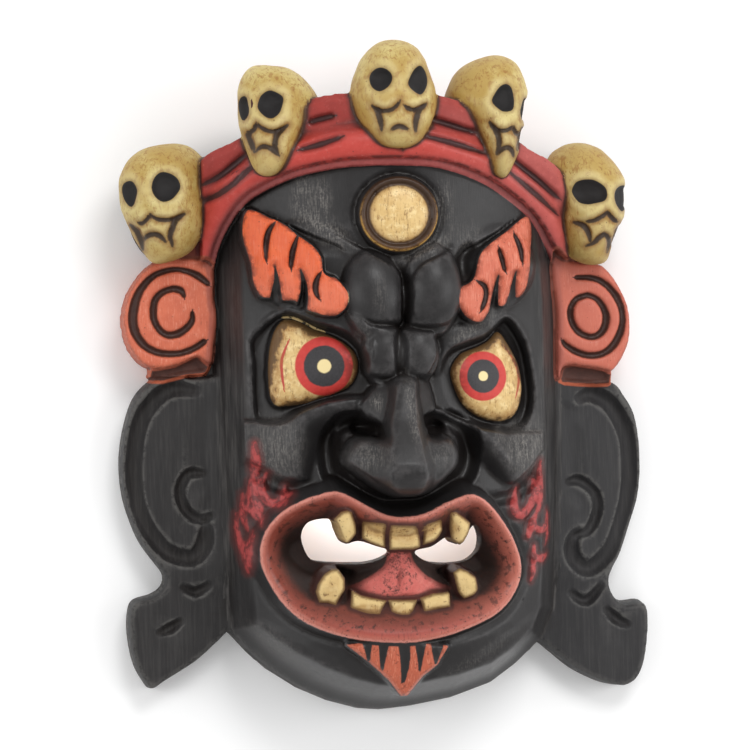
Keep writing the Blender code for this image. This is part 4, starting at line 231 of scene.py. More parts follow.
# temple rosettes: body, the two curls cut in its face, the recess under it
ROSETTE_L = [(-104.0, 49.6), (-109.3, 43.5), (-113.3, 36.2), (-115.0, 28.8), (-114.6, 20.4), (-111.9, 12.9), (-108.0, 8.0),
             (-104.3, 5.7), (-97.7, 5.1), (-91.1, 6.7), (-83.5, 9.6), (-79.6, 7.3), (-77, 7.2), (-75.9, 14.6), (-74.4, 23.4),
             (-74.2, 29.1), (-75.4, 35.3), (-75.1, 47.6), (-77.6, 51.6), (-83.3, 52.8), (-92.1, 53.2), (-98.7, 52.1)]
CURLS_L = [[(-77.9, 41.7, 1.2), (-81.3, 44.7, 1.7), (-85.6, 46.9, 1.4), (-90.9, 48.2, 1.2), (-95.7, 47.8, 1.3), (-101, 46, 1.4), (-105.5, 42.1, 1.6),
            (-108.7, 37.4, 1.9), (-110.6, 31.7, 2.1), (-111.2, 25.6, 2.1), (-110, 20.3, 2), (-106.6, 15.4, 1.8), (-101.9, 12.4, 1.6),
            (-96.2, 11.2, 1.5), (-90.1, 11.5, 1.4), (-84.3, 13.5, 1.5), (-80.3, 16.1, 1.4)],
           [(-88.5, 36.5, 0.9), (-89.8, 38.9, 1.6), (-93.3, 39.7, 1.5), (-97.7, 38.4, 1.5), (-100.9, 35.4, 1.6), (-102.1, 31.1, 1.7),
            (-101.8, 26.2, 1.6), (-99.5, 21.8, 1.5), (-96, 19.5, 1.6), (-91.6, 19.9, 1.7), (-87.6, 22.4, 1.6), (-85.1, 25.8, 1.4), (-85, 28.9, 0.9)]]
RECESS_L = [(-102.5, 3.7), (-93.1, 5.2), (-83.3, 9.4), (-79, 5.5), (-80.3, 3.3), (-88.7, 2.7), (-98.5, 0.3), (-103.3, 0.6)]
ROSETTE_R = [(97.4, 46.4), (102.7, 41.4), (106.6, 35.1), (109.6, 27.9), (110.5, 21.2), (110.1, 13.1), (108.1, 7.4), (105.3, 2.5),
             (101.5, -1.4), (96.1, -0.1), (89.4, 0.9), (82.6, 2.0), (79.4, 0.5), (78.4, -3.0), (76.8, -3.0), (76.9, 8.6),
             (77.2, 19.7), (77, 28.6), (75.9, 37.6), (75.2, 47.8), (76.3, 53.1), (80.7, 49.5), (88.3, 47.3)]
CURLS_R = [[(86.8, 40.7, 1.1), (92.7, 40.5, 1.3), (97.2, 39.1, 1.4), (101.2, 36.1, 1.5), (104.7, 31.6, 1.7), (106.8, 26.2, 1.5), (107.1, 20.3, 1.5),
            (105.6, 15, 1.7), (102.3, 9.8, 1.7), (97.7, 6.5, 1.5), (91.7, 5.8, 1.5), (85.9, 7.5, 1.5), (81.5, 10.3, 1.3), (79.7, 12.5, 0.9)],
           [(91.6, 32.8, 1.3), (95.6, 30.9, 1.3), (98.6, 26.8, 1.5), (99.7, 22.3, 1.7), (98.4, 17.4, 1.7), (95.1, 14.4, 1.5), (91.1, 14.3, 1.4),
            (86.6, 16.8, 1.5), (84, 21.3, 1.5), (83.7, 26.7, 1.5), (86.5, 31.1, 1.4), (91.6, 32.8, 1.3)]]
RECESS_R = [(81.5, 0.7), (85.6, 1.1), (92.4, 0.0), (99.1, -1.5), (101.2, -2.9), (100.6, -6.1), (95.8, -6.2), (87.6, -5.7), (80, -4.9)]
ROSETTES = [(ROSETTE_L, CURLS_L, RECESS_L), (ROSETTE_R, CURLS_R, RECESS_R)]


# ---------------------------------------------------------------- shaping functions
def rise(a, b, x):
    t = np.clip((x - a) / (b - a), 0, 1)
    return t * t * (3 - 2 * t)


def meld(a, b, k):
    """larger of two surfaces with a fillet of size k"""
    h = np.clip(0.5 + 0.5 * (a - b) / k, 0, 1)
    return b * (1 - h) + a * h + k * h * (1 - h)


def least(a, b, k):
    return -meld(-a, -b, k)


def curve(pts, n=4, closed=False):
    """Catmull-Rom curve through the points"""
    P = np.array(pts, float)
    N = len(P)
    out = []
    for i in range(N if closed else N - 1):
        if closed:
            a, b, c, d = P[(i - 1) % N], P[i], P[(i + 1) % N], P[(i + 2) % N]
        else:
            a, b, c, d = P[max(i - 1, 0)], P[i], P[i + 1], P[min(i + 2, N - 1)]
        for k in range(n):
            t = k / n
            out.append(0.5 * (2 * b + (c - a) * t + (2 * a - 5 * b + 4 * c - d) * t * t
                              + (3 * b - a - 3 * c + d) * t ** 3))
    if not closed:
        out.append(P[-1])
    return np.array(out)


def to_line(X, Y, P, closed=False):
    """distance to a line of points, the fraction along it and its third coordinate there"""
    P = np.asarray(P, float)
    n = len(P)
    m = n if closed else n - 1
    L = [0.0]
    for i in range(m):
        L.append(L[-1] + math.hypot(*(P[(i + 1) % n] - P[i])[:2]))
    best = np.full(X.shape, 1e9)
    S = np.zeros(X.shape)
    E = np.zeros(X.shape)
    for i in range(m):
        a, b = P[i], P[(i + 1) % n]
        dx, dy = (b - a)[:2]
        q = dx * dx + dy * dy
        if q < 1e-12:
            continue
        t = np.clip(((X - a[0]) * dx + (Y - a[1]) * dy) / q, 0, 1)
        d = (X - a[0] - t * dx) ** 2 + (Y - a[1] - t * dy) ** 2
        w = d < best
        best = np.where(w, d, best)
        S = np.where(w, (L[i] + t * (L[i + 1] - L[i])) / L[m], S)
        if P.shape[1] > 2:
            E = np.where(w, a[2] + t * (b[2] - a[2]), E)
    return np.sqrt(best), S, E


def side_of(X, Y, P):
    """distance to a line, fraction along it, and which side: + is to the left of its direction"""
    P = np.asarray(P, float)
    L = [0.0]
    for i in range(len(P) - 1):
        L.append(L[-1] + math.hypot(*(P[i + 1] - P[i])))
    best = np.full(X.shape, 1e9)
    S = np.zeros(X.shape)
    G = np.ones(X.shape)
    for i in range(len(P) - 1):
        a, b = P[i], P[i + 1]
        dx, dy = b - a
        q = dx * dx + dy * dy
        t = ((X - a[0]) * dx + (Y - a[1]) * dy) / q
        t = np.clip(t, 0, 1)
        ex, ey = X - a[0] - t * dx, Y - a[1] - t * dy
        d = ex * ex + ey * ey
        w = d < best
        best = np.where(w, d, best)
        S = np.where(w, (L[i] + t * (L[i + 1] - L[i])) / L[-1], S)
        G = np.where(w, np.sign(dx * ey - dy * ex), G)
    return np.sqrt(best), S, G


def depth_in(X, Y, P):
    """distance inside a closed outline, negative outside it"""
    P = np.asarray(P, float)
    n = len(P)
    c = np.zeros(X.shape, bool)
    for i in range(n):
        x1, y1 = P[i][:2]
        x2, y2 = P[(i + 1) % n][:2]
        if y1 != y2:
            c ^= ((Y < y1) != (Y < y2)) & (X < (x2 - x1) * (Y - y1) / (y2 - y1) + x1)
    d, S, E = to_line(X, Y, P, True)
    return np.where(c, d, -d), S, E


class Relief:
    """height of the carving over the back plane on a regular grid"""

    def __init__(self, step):
        xs = np.arange(-123, 123.01, step)
        ys = np.arange(-156, 152.01, step)
        self.X, self.Y = np.meshgrid(xs, ys)
        self.H = np.full(self.X.shape, -6.0)
        self.step = step

    def window(self, pts, m):
        P = np.asarray([p[:2] for p in pts], float)
        c = (self.X[0] > P[:, 0].min() - m) & (self.X[0] < P[:, 0].max() + m)
        r = (self.Y[:, 0] > P[:, 1].min() - m) & (self.Y[:, 0] < P[:, 1].max() + m)
        j, i = np.nonzero(c)[0], np.nonzero(r)[0]
        return slice(i[0], i[-1] + 1), slice(j[0], j[-1] + 1)

    def dome(self, cx, cy, rx, ry, top, deep, turn=0.0, fillet=2.0, square=2.0, tilt=(0, 0)):
        w = self.window([(cx, cy)], 1.4 * max(rx, ry))
        X, Y, H = self.X[w], self.Y[w], self.H[w]
        c, s = math.cos(math.radians(turn)), math.sin(math.radians(turn))
        u = ((X - cx) * c + (Y - cy) * s) / rx
        v = (-(X - cx) * s + (Y - cy) * c) / ry
        r = np.sqrt(u * u + v * v)
        z = top - deep + deep * np.sqrt(np.clip(1 - r ** square, 0, 1)) - np.where(r > 1, (r - 1) * 120, 0)
        z = z + tilt[0] * (X - cx) + tilt[1] * (Y - cy)
        self.H[w] = np.where(r < 1.35, meld(H, z, fillet), H)

    def groove(self, pts, wide, deep, ends=0.25, where=None, one_side=0.0):
        """trench along a line; one_side is not used"""
        c = curve(pts, 5)
        w = self.window(c, wide + 1)
        D, S, _ = to_line(self.X[w], self.Y[w], c)
        t = np.clip(np.minimum(S, 1 - S) / ends, 0, 1) ** 0.5
        ww = wide * (0.45 + 0.55 * t)
        cut = deep * t * np.clip(1 - (D / ww) ** 2, 0, 1)
        if where is not None:
            cut = np.where(where[w], cut, 0)
        self.H[w] = self.H[w] - cut

    def cutaway(self, pts, wide, deep, side=1, ends=0.2, bank=0.5, run=1.6):
        """chisel cut along a line: upright at the line, running out on its left (+1) or right (-1)"""
        c = curve(pts, 5)
        w = self.window(c, wide + 1)
        D, S, G = side_of(self.X[w], self.Y[w], c)
        t = np.clip(np.minimum(S, 1 - S) / ends, 0, 1) ** 0.5
        out = np.clip(1 - D / (wide * (0.4 + 0.6 * t)), 0, 1) ** run
        self.H[w] -= deep * t * np.where(G * side > 0, out, np.clip(1 - D / bank, 0, 1))

    def ridge(self, pts, wide, high, ends=0.25):
        self.groove(pts, wide, -high, ends)


def head_block(R):
    X, Y = R.X, R.Y
    d, _, _ = depth_in(X, Y, HEAD)
    mid = np.interp(Y, [-160, -149, -142, -135, -125, -115, -100, -70, -50, -30, -15, 5, 20, 35, 50, 70, 95, 125],
                    [30, 46, 57, 64, 69, 71, 71, 71, 70, 66, 64, 65, 69, 73, 73, 72.5, 74, 72])
    edge = np.interp(Y, [-150, -110, -60, 0, 60, 90], [28, 41, 44, 44, 44, 44])
    t = np.abs(X - 2.0) / 66.5
    power = np.interp(Y, [-150, -100, -40, 20, 60], [2.3, 2.2, 1.9, 1.9, 2.0])
    front = mid - (mid - edge) * np.clip(t, 0, 1.3) ** power
    slope = np.interp(Y, [-150, -125, -100, 0, 100], [3.6, 3.2, 2.7, 2.55, 2.6])
    wall = 16 + np.where(d > 0, slope, 9.0) * d
    R.H = np.maximum(least(front, wall, 2.2), -6.0)
    R.d_head = d


def brow_region(R):
    # bone over each eye
    R.dome(-32, 46, 28, 22, 67, 12, -12, 6)
    R.dome(37, 44, 26, 21, 65, 12, 12, 6)
    # the forehead ends in a chiselled step over each brow
    R.cutaway([(-60, 73), (-52, 69.3), (-45.5, 65.5), (-39, 62), (-33, 59), (-26, 56), (-20.5, 52)], 7.5, 3.2, -1, 0.25)
    R.cutaway([(57, 67), (45.5, 60), (37, 55.5), (31, 52.5), (26.5, 48)], 7.0, 3.2, 1, 0.25)
    R.dome(31.5, 46.5, 5.0, 6.0, 60, 1.0, 0, 2.0)
    R.groove([(35, 55), (31, 51), (29, 46.5), (29.5, 40)], 4.0, 4.2, 0.3)
    # knotted muscles over the nose, run softly into the forehead
    R.dome(-10.3, 33.5, 13.5, 19.5, 82.0, 11.5, 6, 8.0, 2.2)
    R.dome(14.6, 35.0, 13.0, 20.0, 84.5, 12.5, -4, 8.0, 2.0)
    R.dome(-6.6, 8.8, 9.2, 14.0, 80.0, 9.0, 0, 5.5, 2.4)
    R.dome(7.6, 8.8, 9.6, 13.5, 81.5, 9.5, 0, 5.0, 2.3)
    # the folds that meet in the cleft between them
    R.cutaway([(-30, 64), (-19.6, 57.4), (-12, 52.6), (-5.7, 48.6), (-1.0, 45.6), (1.6, 41), (1.7, 32), (1.2, 21)], 5.5, 3.4, 1, 0.3, 0.7)
    R.cutaway([(25, 54), (18, 50.4), (10.7, 47), (6.9, 43.2), (5.2, 38.5), (5.2, 30), (4.9, 21)], 5.0, 3.4, -1, 0.3, 0.7)
    R.groove([(3.3, 43), (3.4, 32), (3.0, 20.5)], 2.4, 4.5, 0.25)
    R.groove([(-16.3, 24), (-10.8, 21.4), (0, 20.4), (5, 19.6), (12.8, 18.7), (20.6, 19.9), (25, 24)], 1.9, 3.4, 0.3)
    R.groove([(0.2, 19), (0.2, 9), (0.4, -2)], 3.4, 2.2, 0.2)
    R.cutaway([(14.0, 18.5), (15.9, 12), (15.3, 6), (13.4, 2), (11, -2)], 4.5, 3.0, 1, 0.25)
    R.cutaway([(-11.5, 18.5), (-13.2, 12), (-13.4, 6), (-12.4, -0.5)], 3.5, 2.0, -1, 0.3)
    R.groove([(-15.3, -1), (-7.1, -2.4), (1.5, -3.1), (10.1, -2.8), (16.6, -1.2)], 2.0, 4.0, 0.3)
    # lids: the fold over each eye, turned down beside the nose
    R.ridge([(-50, 28.5), (-38, 25.4), (-27, 23.8), (-18.5, 21), (-15.2, 14), (-15.0, 6), (-16.2, -3)], 4.4, 2.6, 0.2)
    R.ridge([(49, 26), (40, 21.5), (30.4, 17.6), (22.5, 13.4), (18.6, 7), (17, -1)], 4.8, 2.6, 0.2)


def nose(R):
    w = R.window(NOSE, 16)
    X, Y, H = R.X[w], R.Y[w], R.H[w]
    d, _, _ = depth_in(X, Y, curve(NOSE, 3, True))
    # flanks of the root: two facets that fall from the ridge to the cheeks
    ax = np.interp(Y, [-52, -38, -21, -5, 2], [-0.5, -1.2, -1.4, 1.2, 2.6])
    u = np.abs(X - ax)
    flank = np.interp(Y, [-20, -12, -8, 0], [82, 81, 79.5, 74]) - np.where(X < ax, 0.85, 1.15) * np.clip(u - 4, 0, 30)
    reach = np.where(X < ax, np.interp(Y, [-24, -19, -14, -4, 0], [0, 12, 17, 10, 6]), np.interp(Y, [-24, -19, -16, -4, 0], [0, 8, 16, 11, 6]))
    flank = np.where((Y < 0) & (Y > -24) & (u < reach + 3), flank - 6 * rise(reach, reach + 2.4, u), 0)
    H = meld(H, flank, 0.8)
    # body of the nose: a central plane with a hard edge each side, and the wings
    ridge = np.interp(Y, [-57, -54, -51, -48, -45, -41.5, -38, -30, -20, -3, 2], [84, 91, 96.8, 101, 103.8, 105.3, 104.8, 100.5, 94, 86, 81])
    half = np.interp(Y, [-56, -52, -48, -44, -38, -21, -10, -3, 2], [2.5, 4.6, 6.6, 7.6, 7.0, 5.2, 4.0, 3.4, 3.2])
    core = ridge - 0.7 * np.clip(u / half, 0, 1) ** 2 - 2.3 * np.clip(u - half, 0, 40)
    wing = np.interp(Y, [-52, -45, -36, -28, -26.5], [88, 92, 92.5, 89.5, 86]) - 0.028 * np.clip(u - 8, 0, 30) ** 2
    body = meld(core, np.where(Y < -24, wing, 0), 0.9)
    edge = np.sqrt(np.clip(1 - (1 - np.clip(d / 4.2, 0, 1)) ** 2, 0, 1))
    body = body - 9.0 * (1 - edge)
    R.H[w] = np.where(d > -0.5, meld(H, body, 0.6), H)
    # the deep fold from the hollow over each wing, down beside it and under the nose
    R.groove([(-9.5, -23), (-16, -21.5), (-23, -20.5), (-28.5, -25), (-30, -34), (-28, -44), (-20, -52),
              (-10, -57), (1, -58), (12, -56.5), (21, -51), (29, -43), (31, -33), (29, -25.5), (23, -21),
              (16, -22), (11.5, -23.5)], 5.2, 8.0, 0.06)
    R.groove([(-10, -24), (-15, -23.5), (-20, -24)], 3.4, 4.0, 0.3)
    R.groove([(11, -24), (16, -23.5), (20, -24)], 3.4, 4.0, 0.3)
    # scrolls over the wings and the cut under the left one
    R.ridge([(-26.5, -34), (-27.2, -27), (-23.5, -19.6), (-18.4, -17.4), (-12.8, -18.8)], 1.5, 1.1, 0.3)
    R.ridge([(9.8, -27), (12, -22.6), (16, -20.6), (20.5, -22.4), (22.8, -27)], 1.6, 1.2, 0.3)
    R.cutaway([(-25, -37.4), (-20.1, -40.6), (-15.4, -43.8), (-7.1, -49.8), (-1.2, -52.6), (7, -51.6)], 5.0, 3.0, -1, 0.12)


def cheeks(R):
    X, Y = R.X, R.Y
    # each cheek: a broad plane that faces out and up, a rounded crest and a short inner side
    for crest, s, out_slope, in_slope, top_line, low_line in (
            ([(-20, -12, 70), (-33, -14.5, 69), (-41, -20, 68), (-44.5, -30, 67), (-44.5, -41, 64)], -1, 0.92, 0.95,
             [(-70, -19), (-50, -19.5), (-42, -15), (-30, -11), (-15, -9)],
             [(-70, -33), (-60, -39), (-50, -44.5), (-40, -46.5), (-28, -48)]),
            ([(22, -16, 69), (34, -24, 68), (40, -31, 67.5), (47, -40, 66), (52, -48, 61)], 1, 0.95, 1.0,
             [(10, -12), (24, -19), (36, -25), (48, -27), (64, -27), (72, -26)],
             [(24, -50), (38, -52), (50, -50), (58, -44), (68, -34)])):
        c = curve(crest, 5)
        w = R.window(crest, 24)
        x, y, H = X[w], Y[w], R.H[w]
        D, S, zc = to_line(x, y, c)
        xc = np.interp(-y, -c[:, 1], c[:, 0])
        outer = (x - xc) * s > 0
        z = zc - np.where(outer, out_slope, in_slope) * (np.sqrt(D * D + 9) - 3)
        yt = np.interp(x, [p[0] for p in top_line], [p[1] for p in top_line])
        yl = np.interp(x, [p[0] for p in low_line], [p[1] for p in low_line])
        z = z - 14 * rise(-1.0, 3.0, y - yt) - 10 * rise(2.5, -3.0, y - yl)
        ok = (np.abs(x) < 66) & (D < 24)
        R.H[w] = np.where(ok, meld(H, z, 1.5), H)
    R.groove([(-66, -38), (-60, -43), (-50, -48), (-40, -50)], 3.5, 3, 0.2)
    R.groove([(36, -55.5), (48, -55), (58, -50), (66, -40)], 3.5, 3, 0.2)


def third_eye(R):
    w = R.window([(1.2, 68.3)], 26)
    X, Y, H = R.X[w], R.Y[w], R.H[w]
    r = np.hypot((X - 1.2) / 16.8, (Y - 68.3) / 16.0)
    H = np.where((r > 1.0) & (r < 1.3), H - 2.4 * (1 - np.abs(r - 1.08) / 0.22).clip(0, 1) ** 1.5, H)
    H = np.where(r < 1.06, np.maximum(H, 76.6 - 3.8 * rise(0.93, 1.06, r) - 1.2 * rise(0.95, 0.80, r)), H)
    H = np.where(np.abs(r - 0.80) < 0.06, H - 1.6 * (1 - ((r - 0.80) / 0.06) ** 2), H)
    H = np.where(r < 0.775, 74.2 + 3.4 * np.sqrt(np.clip(1 - (r / 0.79) ** 2, 0, 1)), H)
    R.H[w] = H


def eyes(R):
    for socket, outline, cx, gx, top, floor in (
            (SOCKET_L, EYE_L, -33, 0.36, 64.0, ([-62, -55, -38, -16], [40, 45, 55, 63])),
            (SOCKET_R, EYE_R, 37, -0.38, 63.0, ([19, 36, 53, 62], [63, 56, 46, 40]))):
        c = curve(socket, 4, True)
        w = R.window(c, 7)
        X, Y, H = R.X[w], R.Y[w], R.H[w]
        d, _, _ = depth_in(X, Y, c)
        base = np.interp(X, *floor)
        H = np.where(d > -0.8, np.minimum(H, base + (H - base) * (1 - rise(-0.8, 2.6, d))), H)
        e, _, _ = depth_in(X, Y, curve(outline, 4, True))
        ball = top + gx * (X - cx) - 6.0 * (1 - np.sqrt(np.clip(1 - (1 - np.clip(e / 12, 0, 1)) ** 2, 0, 1)))
        R.H[w] = np.where(e > -0.7, np.maximum(H, ball - 2.5 * (1 - rise(-0.7, 0.3, e))), H)
    # lids: the upper one hangs over the ball, with a crisp rim
    R.ridge([(-60, 12), (-56, 22), (-48, 27.8), (-40, 26), (-30, 22), (-20, 17.5), (-14, 9)], 2.2, 1.6, 0.2)
    R.ridge([(61, 0), (59, 12), (50, 23), (40, 16.5), (30, 13.5), (21, 9), (18, 0)], 2.2, 1.6, 0.2)


def tapered(X, Y, P, smooth=5):
    """how far inside a stroke whose points carry their own half width"""
    D, _, E = to_line(X, Y, curve(P, smooth))
    return E - D


def brows(R):
    for outline, xs, zs, cuts, gaps in ((BROW_L, [-65, -50, -35, -22], [55, 66, 75, 80], BROW_CUTS_L, BROW_GAPS[:2]),
                                        (BROW_R, [26, 36, 50, 63], [76, 72, 63, 53], BROW_CUTS_R, BROW_GAPS[2:])):
        c = curve(outline, 4, True)
        w = R.window(c, 3)
        X, Y = R.X[w], R.Y[w]
        d, _, _ = depth_in(X, Y, c)
        for q in gaps:
            d = np.minimum(d, -tapered(X, Y, q))
        body = np.maximum(np.interp(X, xs, zs), R.H[w] + 2.5)
        pad = body - 4.2 * (1 - np.sqrt(np.clip(1 - (1 - np.clip((d + 0.8) / 4.2, 0, 1)) ** 2, 0, 1)))
        R.H[w] = np.where(d > -0.8, np.maximum(R.H[w], pad), R.H[w])
        for q in cuts:
            R.groove(q, 1.7, 3.4, 0.12)


def tooth(R, outline, top, spine, edge=2.0):
    w = R.window(outline, 2)
    X, Y = R.X[w], R.Y[w]
    d, _, _ = depth_in(X, Y, outline)
    z = top - edge * (1 - np.sqrt(np.clip(1 - (1 - np.clip(d / edge, 0, 1)) ** 2, 0, 1)))
    if spine is not None:
        z = z + 1.0 - 0.62 * to_line(X, Y, np.array(spine))[0]
    # each tooth keeps the flats of the knife
    cx, cy = np.mean([p[0] for p in outline]), np.mean([p[1] for p in outline])
    k = math.sin(7.0 * cx + 3.0 * cy)
    z = z - 0.7 * np.abs((X - cx) * 0.22 * k + (Y - cy - 2.0 * k) * 0.30)
    R.H[w] = np.where(d > -0.4, np.maximum(R.H[w], z), R.H[w])


def mouth(R):
    w = R.window(LIP, 12)
    X, Y, H = R.X[w], R.Y[w], R.H[w]
    d, _, crest = depth_in(X, Y, curve(LIP, 3, True))
    # inside the crest the lip falls in a dish to the thin wood at the back of the mouth
    steep = np.interp(Y, [-112, -95, -75, -60], [0.75, 0.8, 1.05, 1.5])
    dish = np.interp(d * steep, [0, 1.5, 3.5, 7, 12, 18, 30], [-1.4, 0.0, -0.6, -3.6, -11, -20, -38])
    out = np.clip(-d, 0, 20)
    H = np.where(d <= 0, meld(H - 2.5 * rise(6, 0, out), crest - 1.4 - out * 3.4, 0.8), H)
    H = np.where(d > 0, np.maximum(crest + dish, MOUTH_FLOOR), H)
    R.H[w] = H
    R.d_lip = np.full(R.X.shape, -99.0)
    R.d_lip[w] = d
    # gum behind the upper teeth and bed of the lower teeth
    g, _, _ = to_line(X, Y, curve([(-23.5, -62.5), (-18, -65), (-8, -67), (6, -67), (16, -65), (22.5, -63)], 4))
    H = np.where((g < 4.4) & (d > 2.0), np.maximum(H, np.minimum(71.5 - 0.5 * g, crest - 3)), H)
    g, _, _ = to_line(X, Y, curve([(-34, -93), (-24, -99), (-12, -102), (0, -103), (12, -101), (22, -98), (29, -92)], 4))
    H = np.where(g < 5.5, np.maximum(H, 62 - 0.9 * g), H)
    R.H[w] = H
    # tongue: a pyramid that narrows to a neck under the middle tooth
    R.dome(-1.5, -93, 21.5, 11, 67.0, 14, 0, 2.0, 1.7)
    half = np.interp(Y, [-94, -86, -80, -75, -70], [18, 12, 7.5, 6.0, 8.0])
    u = np.abs(X + 0.5) / half
    neck = (d > 4) & (Y > -95) & (Y < -66) & (u < 1.35)
    R.H[w] = np.where(neck, meld(R.H[w], 68.0 - 6.5 * u ** 1.3 - 2.5 * rise(1.0, 1.35, u), 1.0), R.H[w])
    R.groove([(-2, -96), (-1.5, -88), (0.5, -79)], 2.2, 1.8, 0.4)
    for outline, top, spine in UPPER_TEETH + LOWER_TEETH:
        tooth(R, outline, top, spine)


def chin(R):
    w = R.window(BEARD, 6)
    X, Y, H = R.X[w], R.Y[w], R.H[w]
    b, _, _ = depth_in(X, Y, BEARD)
    lip = R.d_lip[w]
    top = np.interp(Y, [-139, -127, -116], [67.5, 73, 75.5]) - 0.05 * np.abs(X + 2)
    R.H[w] = np.where((b > -1) & (lip < 0), np.maximum(H, top - 3 * (1 - rise(-1, 1.6, b))), H)
    for q in BEARD_CUTS:
        R.groove([p[:2] for p in q], q[0][2] + 0.4, 1.1, 0.5)
    # jaw: a soft edge from the corner of the mouth down to the chin on each side
    R.ridge([(-70, -103), (-56, -112), (-40, -121), (-22, -131)], 5.0, 0.9, 0.3)
    R.ridge([(73, -100), (58, -112), (42, -121), (24, -131)], 5.0, 0.9, 0.3)
    for q in FLAMES:
        P = np.array(q)
        w = R.window(q, 3)
        f = tapered(R.X[w], R.Y[w], q)
        R.H[w] = R.H[w] + 0.9 * rise(-0.5, 0.7, f) - 0.7 * np.exp(-((f + 1.6) / 0.9) ** 2)


def around(pts, X, Y, cx=1.0, cy=0.0):
    """radius and height of a curve at the bearing of each place"""
    c = curve(pts, 8)
    a = np.arctan2(c[:, 0] - cx, c[:, 1] - cy)
    o = np.argsort(a)
    b = np.arctan2(X - cx, Y - cy)
    return (np.interp(b, a[o], np.hypot(c[:, 0] - cx, c[:, 1] - cy)[o]), np.interp(b, a[o], c[o, 2]))


def head_band(R):
    X, Y = R.X, R.Y
    r = np.hypot(X - 1.0, Y)
    r1, z1 = around(BAND_LOW, X, Y)
    r2, z2 = around(BAND_TOP, X, Y)
    width = np.clip(r2 - r1, 8, 60)
    s = r - r1
    scale = np.clip(width / 30.0, 0.6, 1.05)
    # from below: a narrow lip, a sunk line, the broad roll, and the panel that falls back to the crown
    lip = z1 + 1.6 * np.sqrt(np.clip(1 - ((s - 1.4) / 1.6) ** 2, 0, 1))
    roll = z1 - 0.5 + 6.5 * np.sqrt(np.clip(1 - ((s / scale - 9.0) / 7.0) ** 2, 0, 1))
    panel = z2 + (z1 + 4.0 - z2) * np.clip((r2 - r) / np.clip(width - 13 * scale, 1, 60), 0, 1) ** 0.85
    z = np.where(s < 3.0, lip, np.maximum(roll, np.where(s > 12.5 * scale, panel, 0)))
    z = z - 2.5 * (1 - rise(0, 3, r2 - r))
    on = (s > 0) & (r < r2 + 0.8) & (Y > 40) & (np.abs(X - 1) < 82)
    R.H = np.where(on, np.maximum(z, 18), R.H)
    R.on_band = on
    for q in BAND_LINES:
        R.groove(q, 2.1, 2.4, 0.10, on)


def ears(R):
    R.ear = np.zeros(R.X.shape, bool)
    for side, outline, helix, tragus, gouges in ((-1, EAR_L, HELIX_L, TRAGUS_L, GOUGES_L),
                                                 (1, EAR_R, HELIX_R, TRAGUS_R, GOUGES_R)):
        c = curve(outline, 4, True)
        E = Relief(R.step)
        d, _, _ = depth_in(E.X, E.Y, c)
        # the shell rises a little to the head, and the tail falls away from a ridge
        z = EAR_THICKNESS + np.interp(np.abs(E.X), [75, 95, 115], [5.0, 1.0, 0]) * rise(-104, -80, E.Y)
        if side < 0:
            g = (E.Y + 99) * 0.55 + (E.X + 80) * -0.83
        else:
            g = (E.Y + 103) * 0.55 + (E.X - 80) * 0.83
        E.H = z
        ax = -84 if side < 0 else 84
        ay = -53 if side < 0 else -62
        # hollow of the shell inside the helix line
        h, _, _ = depth_in(E.X, E.Y, np.vstack([curve(helix, 4), [(ax * 0.9, ay), (ax * 0.92, -12)]]))
        E.H = E.H - 1.2 * rise(0, 5, h) + 1.2 * rise(6, 16, h)
        E.groove(helix, 4.2, 4.4, 0.08)
        E.dome(ax * 0.96, ay, 8.5, 9.0, 20.5, 5, 0, 1.0)
        E.groove(tragus, 2.8, 3.2, 0.15)
        for q in gouges:
            E.groove(q, 2.9, 3.6, 0.5)
        round_off = 2.4 * (1 - np.sqrt(np.clip(1 - (1 - np.clip(d / 2.4, 0, 1)) ** 2, 0, 1)))
        E.H = np.where(d > 0, E.H - round_off, EAR_THICKNESS - 2.4 + 14.0 * np.clip(d, -3, 0))
        part = np.where(d > -2.2, E.H, -6.0)
        R.ear |= (part > R.H) & (d > -0.5)
        R.H = np.maximum(R.H, part)


def rosettes(R):
    for body, curls, recess in ROSETTES:
        w = R.window(body, 4)
        X, Y, H = R.X[w], R.Y[w], R.H[w]
        # wood under the rosette, between the ear and the head
        f, _, _ = depth_in(X, Y, recess)
        H = np.where(f > -1.5, np.maximum(H, 20.5), H)
        d, _, _ = depth_in(X, Y, curve(body, 3, True))
        z = ROSETTE_Z - 2.2 * (1 - np.sqrt(np.clip(1 - (1 - np.clip(d / 2.6, 0, 1)) ** 2, 0, 1)))
        H = np.where(d > -0.2, z, H)
        H = np.where((f > 0) & (d <= -0.2), np.minimum(H, 20.5 - 1.5 * np.clip(f, 0, 1)), H)
        R.H[w] = H
        for q in curls:
            w = R.window(q, 3)
            into = tapered(R.X[w], R.Y[w], q)
            R.H[w] -= 3.0 * rise(-0.7, 1.2, into)


def skull_feet(R):
    """wood that carries the outer skulls down to the back plane, and fills the seams at the temples"""
    X, Y = R.X, R.Y
    for cx, cy, s in ((-97.5, 77.0, 1), (92.0, 73.0, -1)):
        w = R.window([(cx, cy)], 30)
        r = np.hypot((X[w] - cx - 4 * s) / 16.5, (Y[w] - cy + 1) / 23.0)
        R.H[w] = np.maximum(R.H[w], np.where(r < 1.0, 26.0, 26.0 - (r - 1) * 330))
        # the foot of the band runs down between the skull and the rosette
        w = R.window([(cx + 12.5 * s, cy - 21)], 12)
        r = np.hypot((X[w] - cx - 12.5 * s) / 7.5, (Y[w] - cy + 21) / 6.5)
        R.H[w] = np.maximum(R.H[w], np.where(r < 1.0, 24.5, -6.0))
    seam = ((X > -84) & (X < -70) & (Y > -108) & (Y < 92)) | ((X > 72) & (X < 84) & (Y > -112) & (Y < 86))
    R.H = np.where(seam & (R.H < 14), 14.0, R.H)


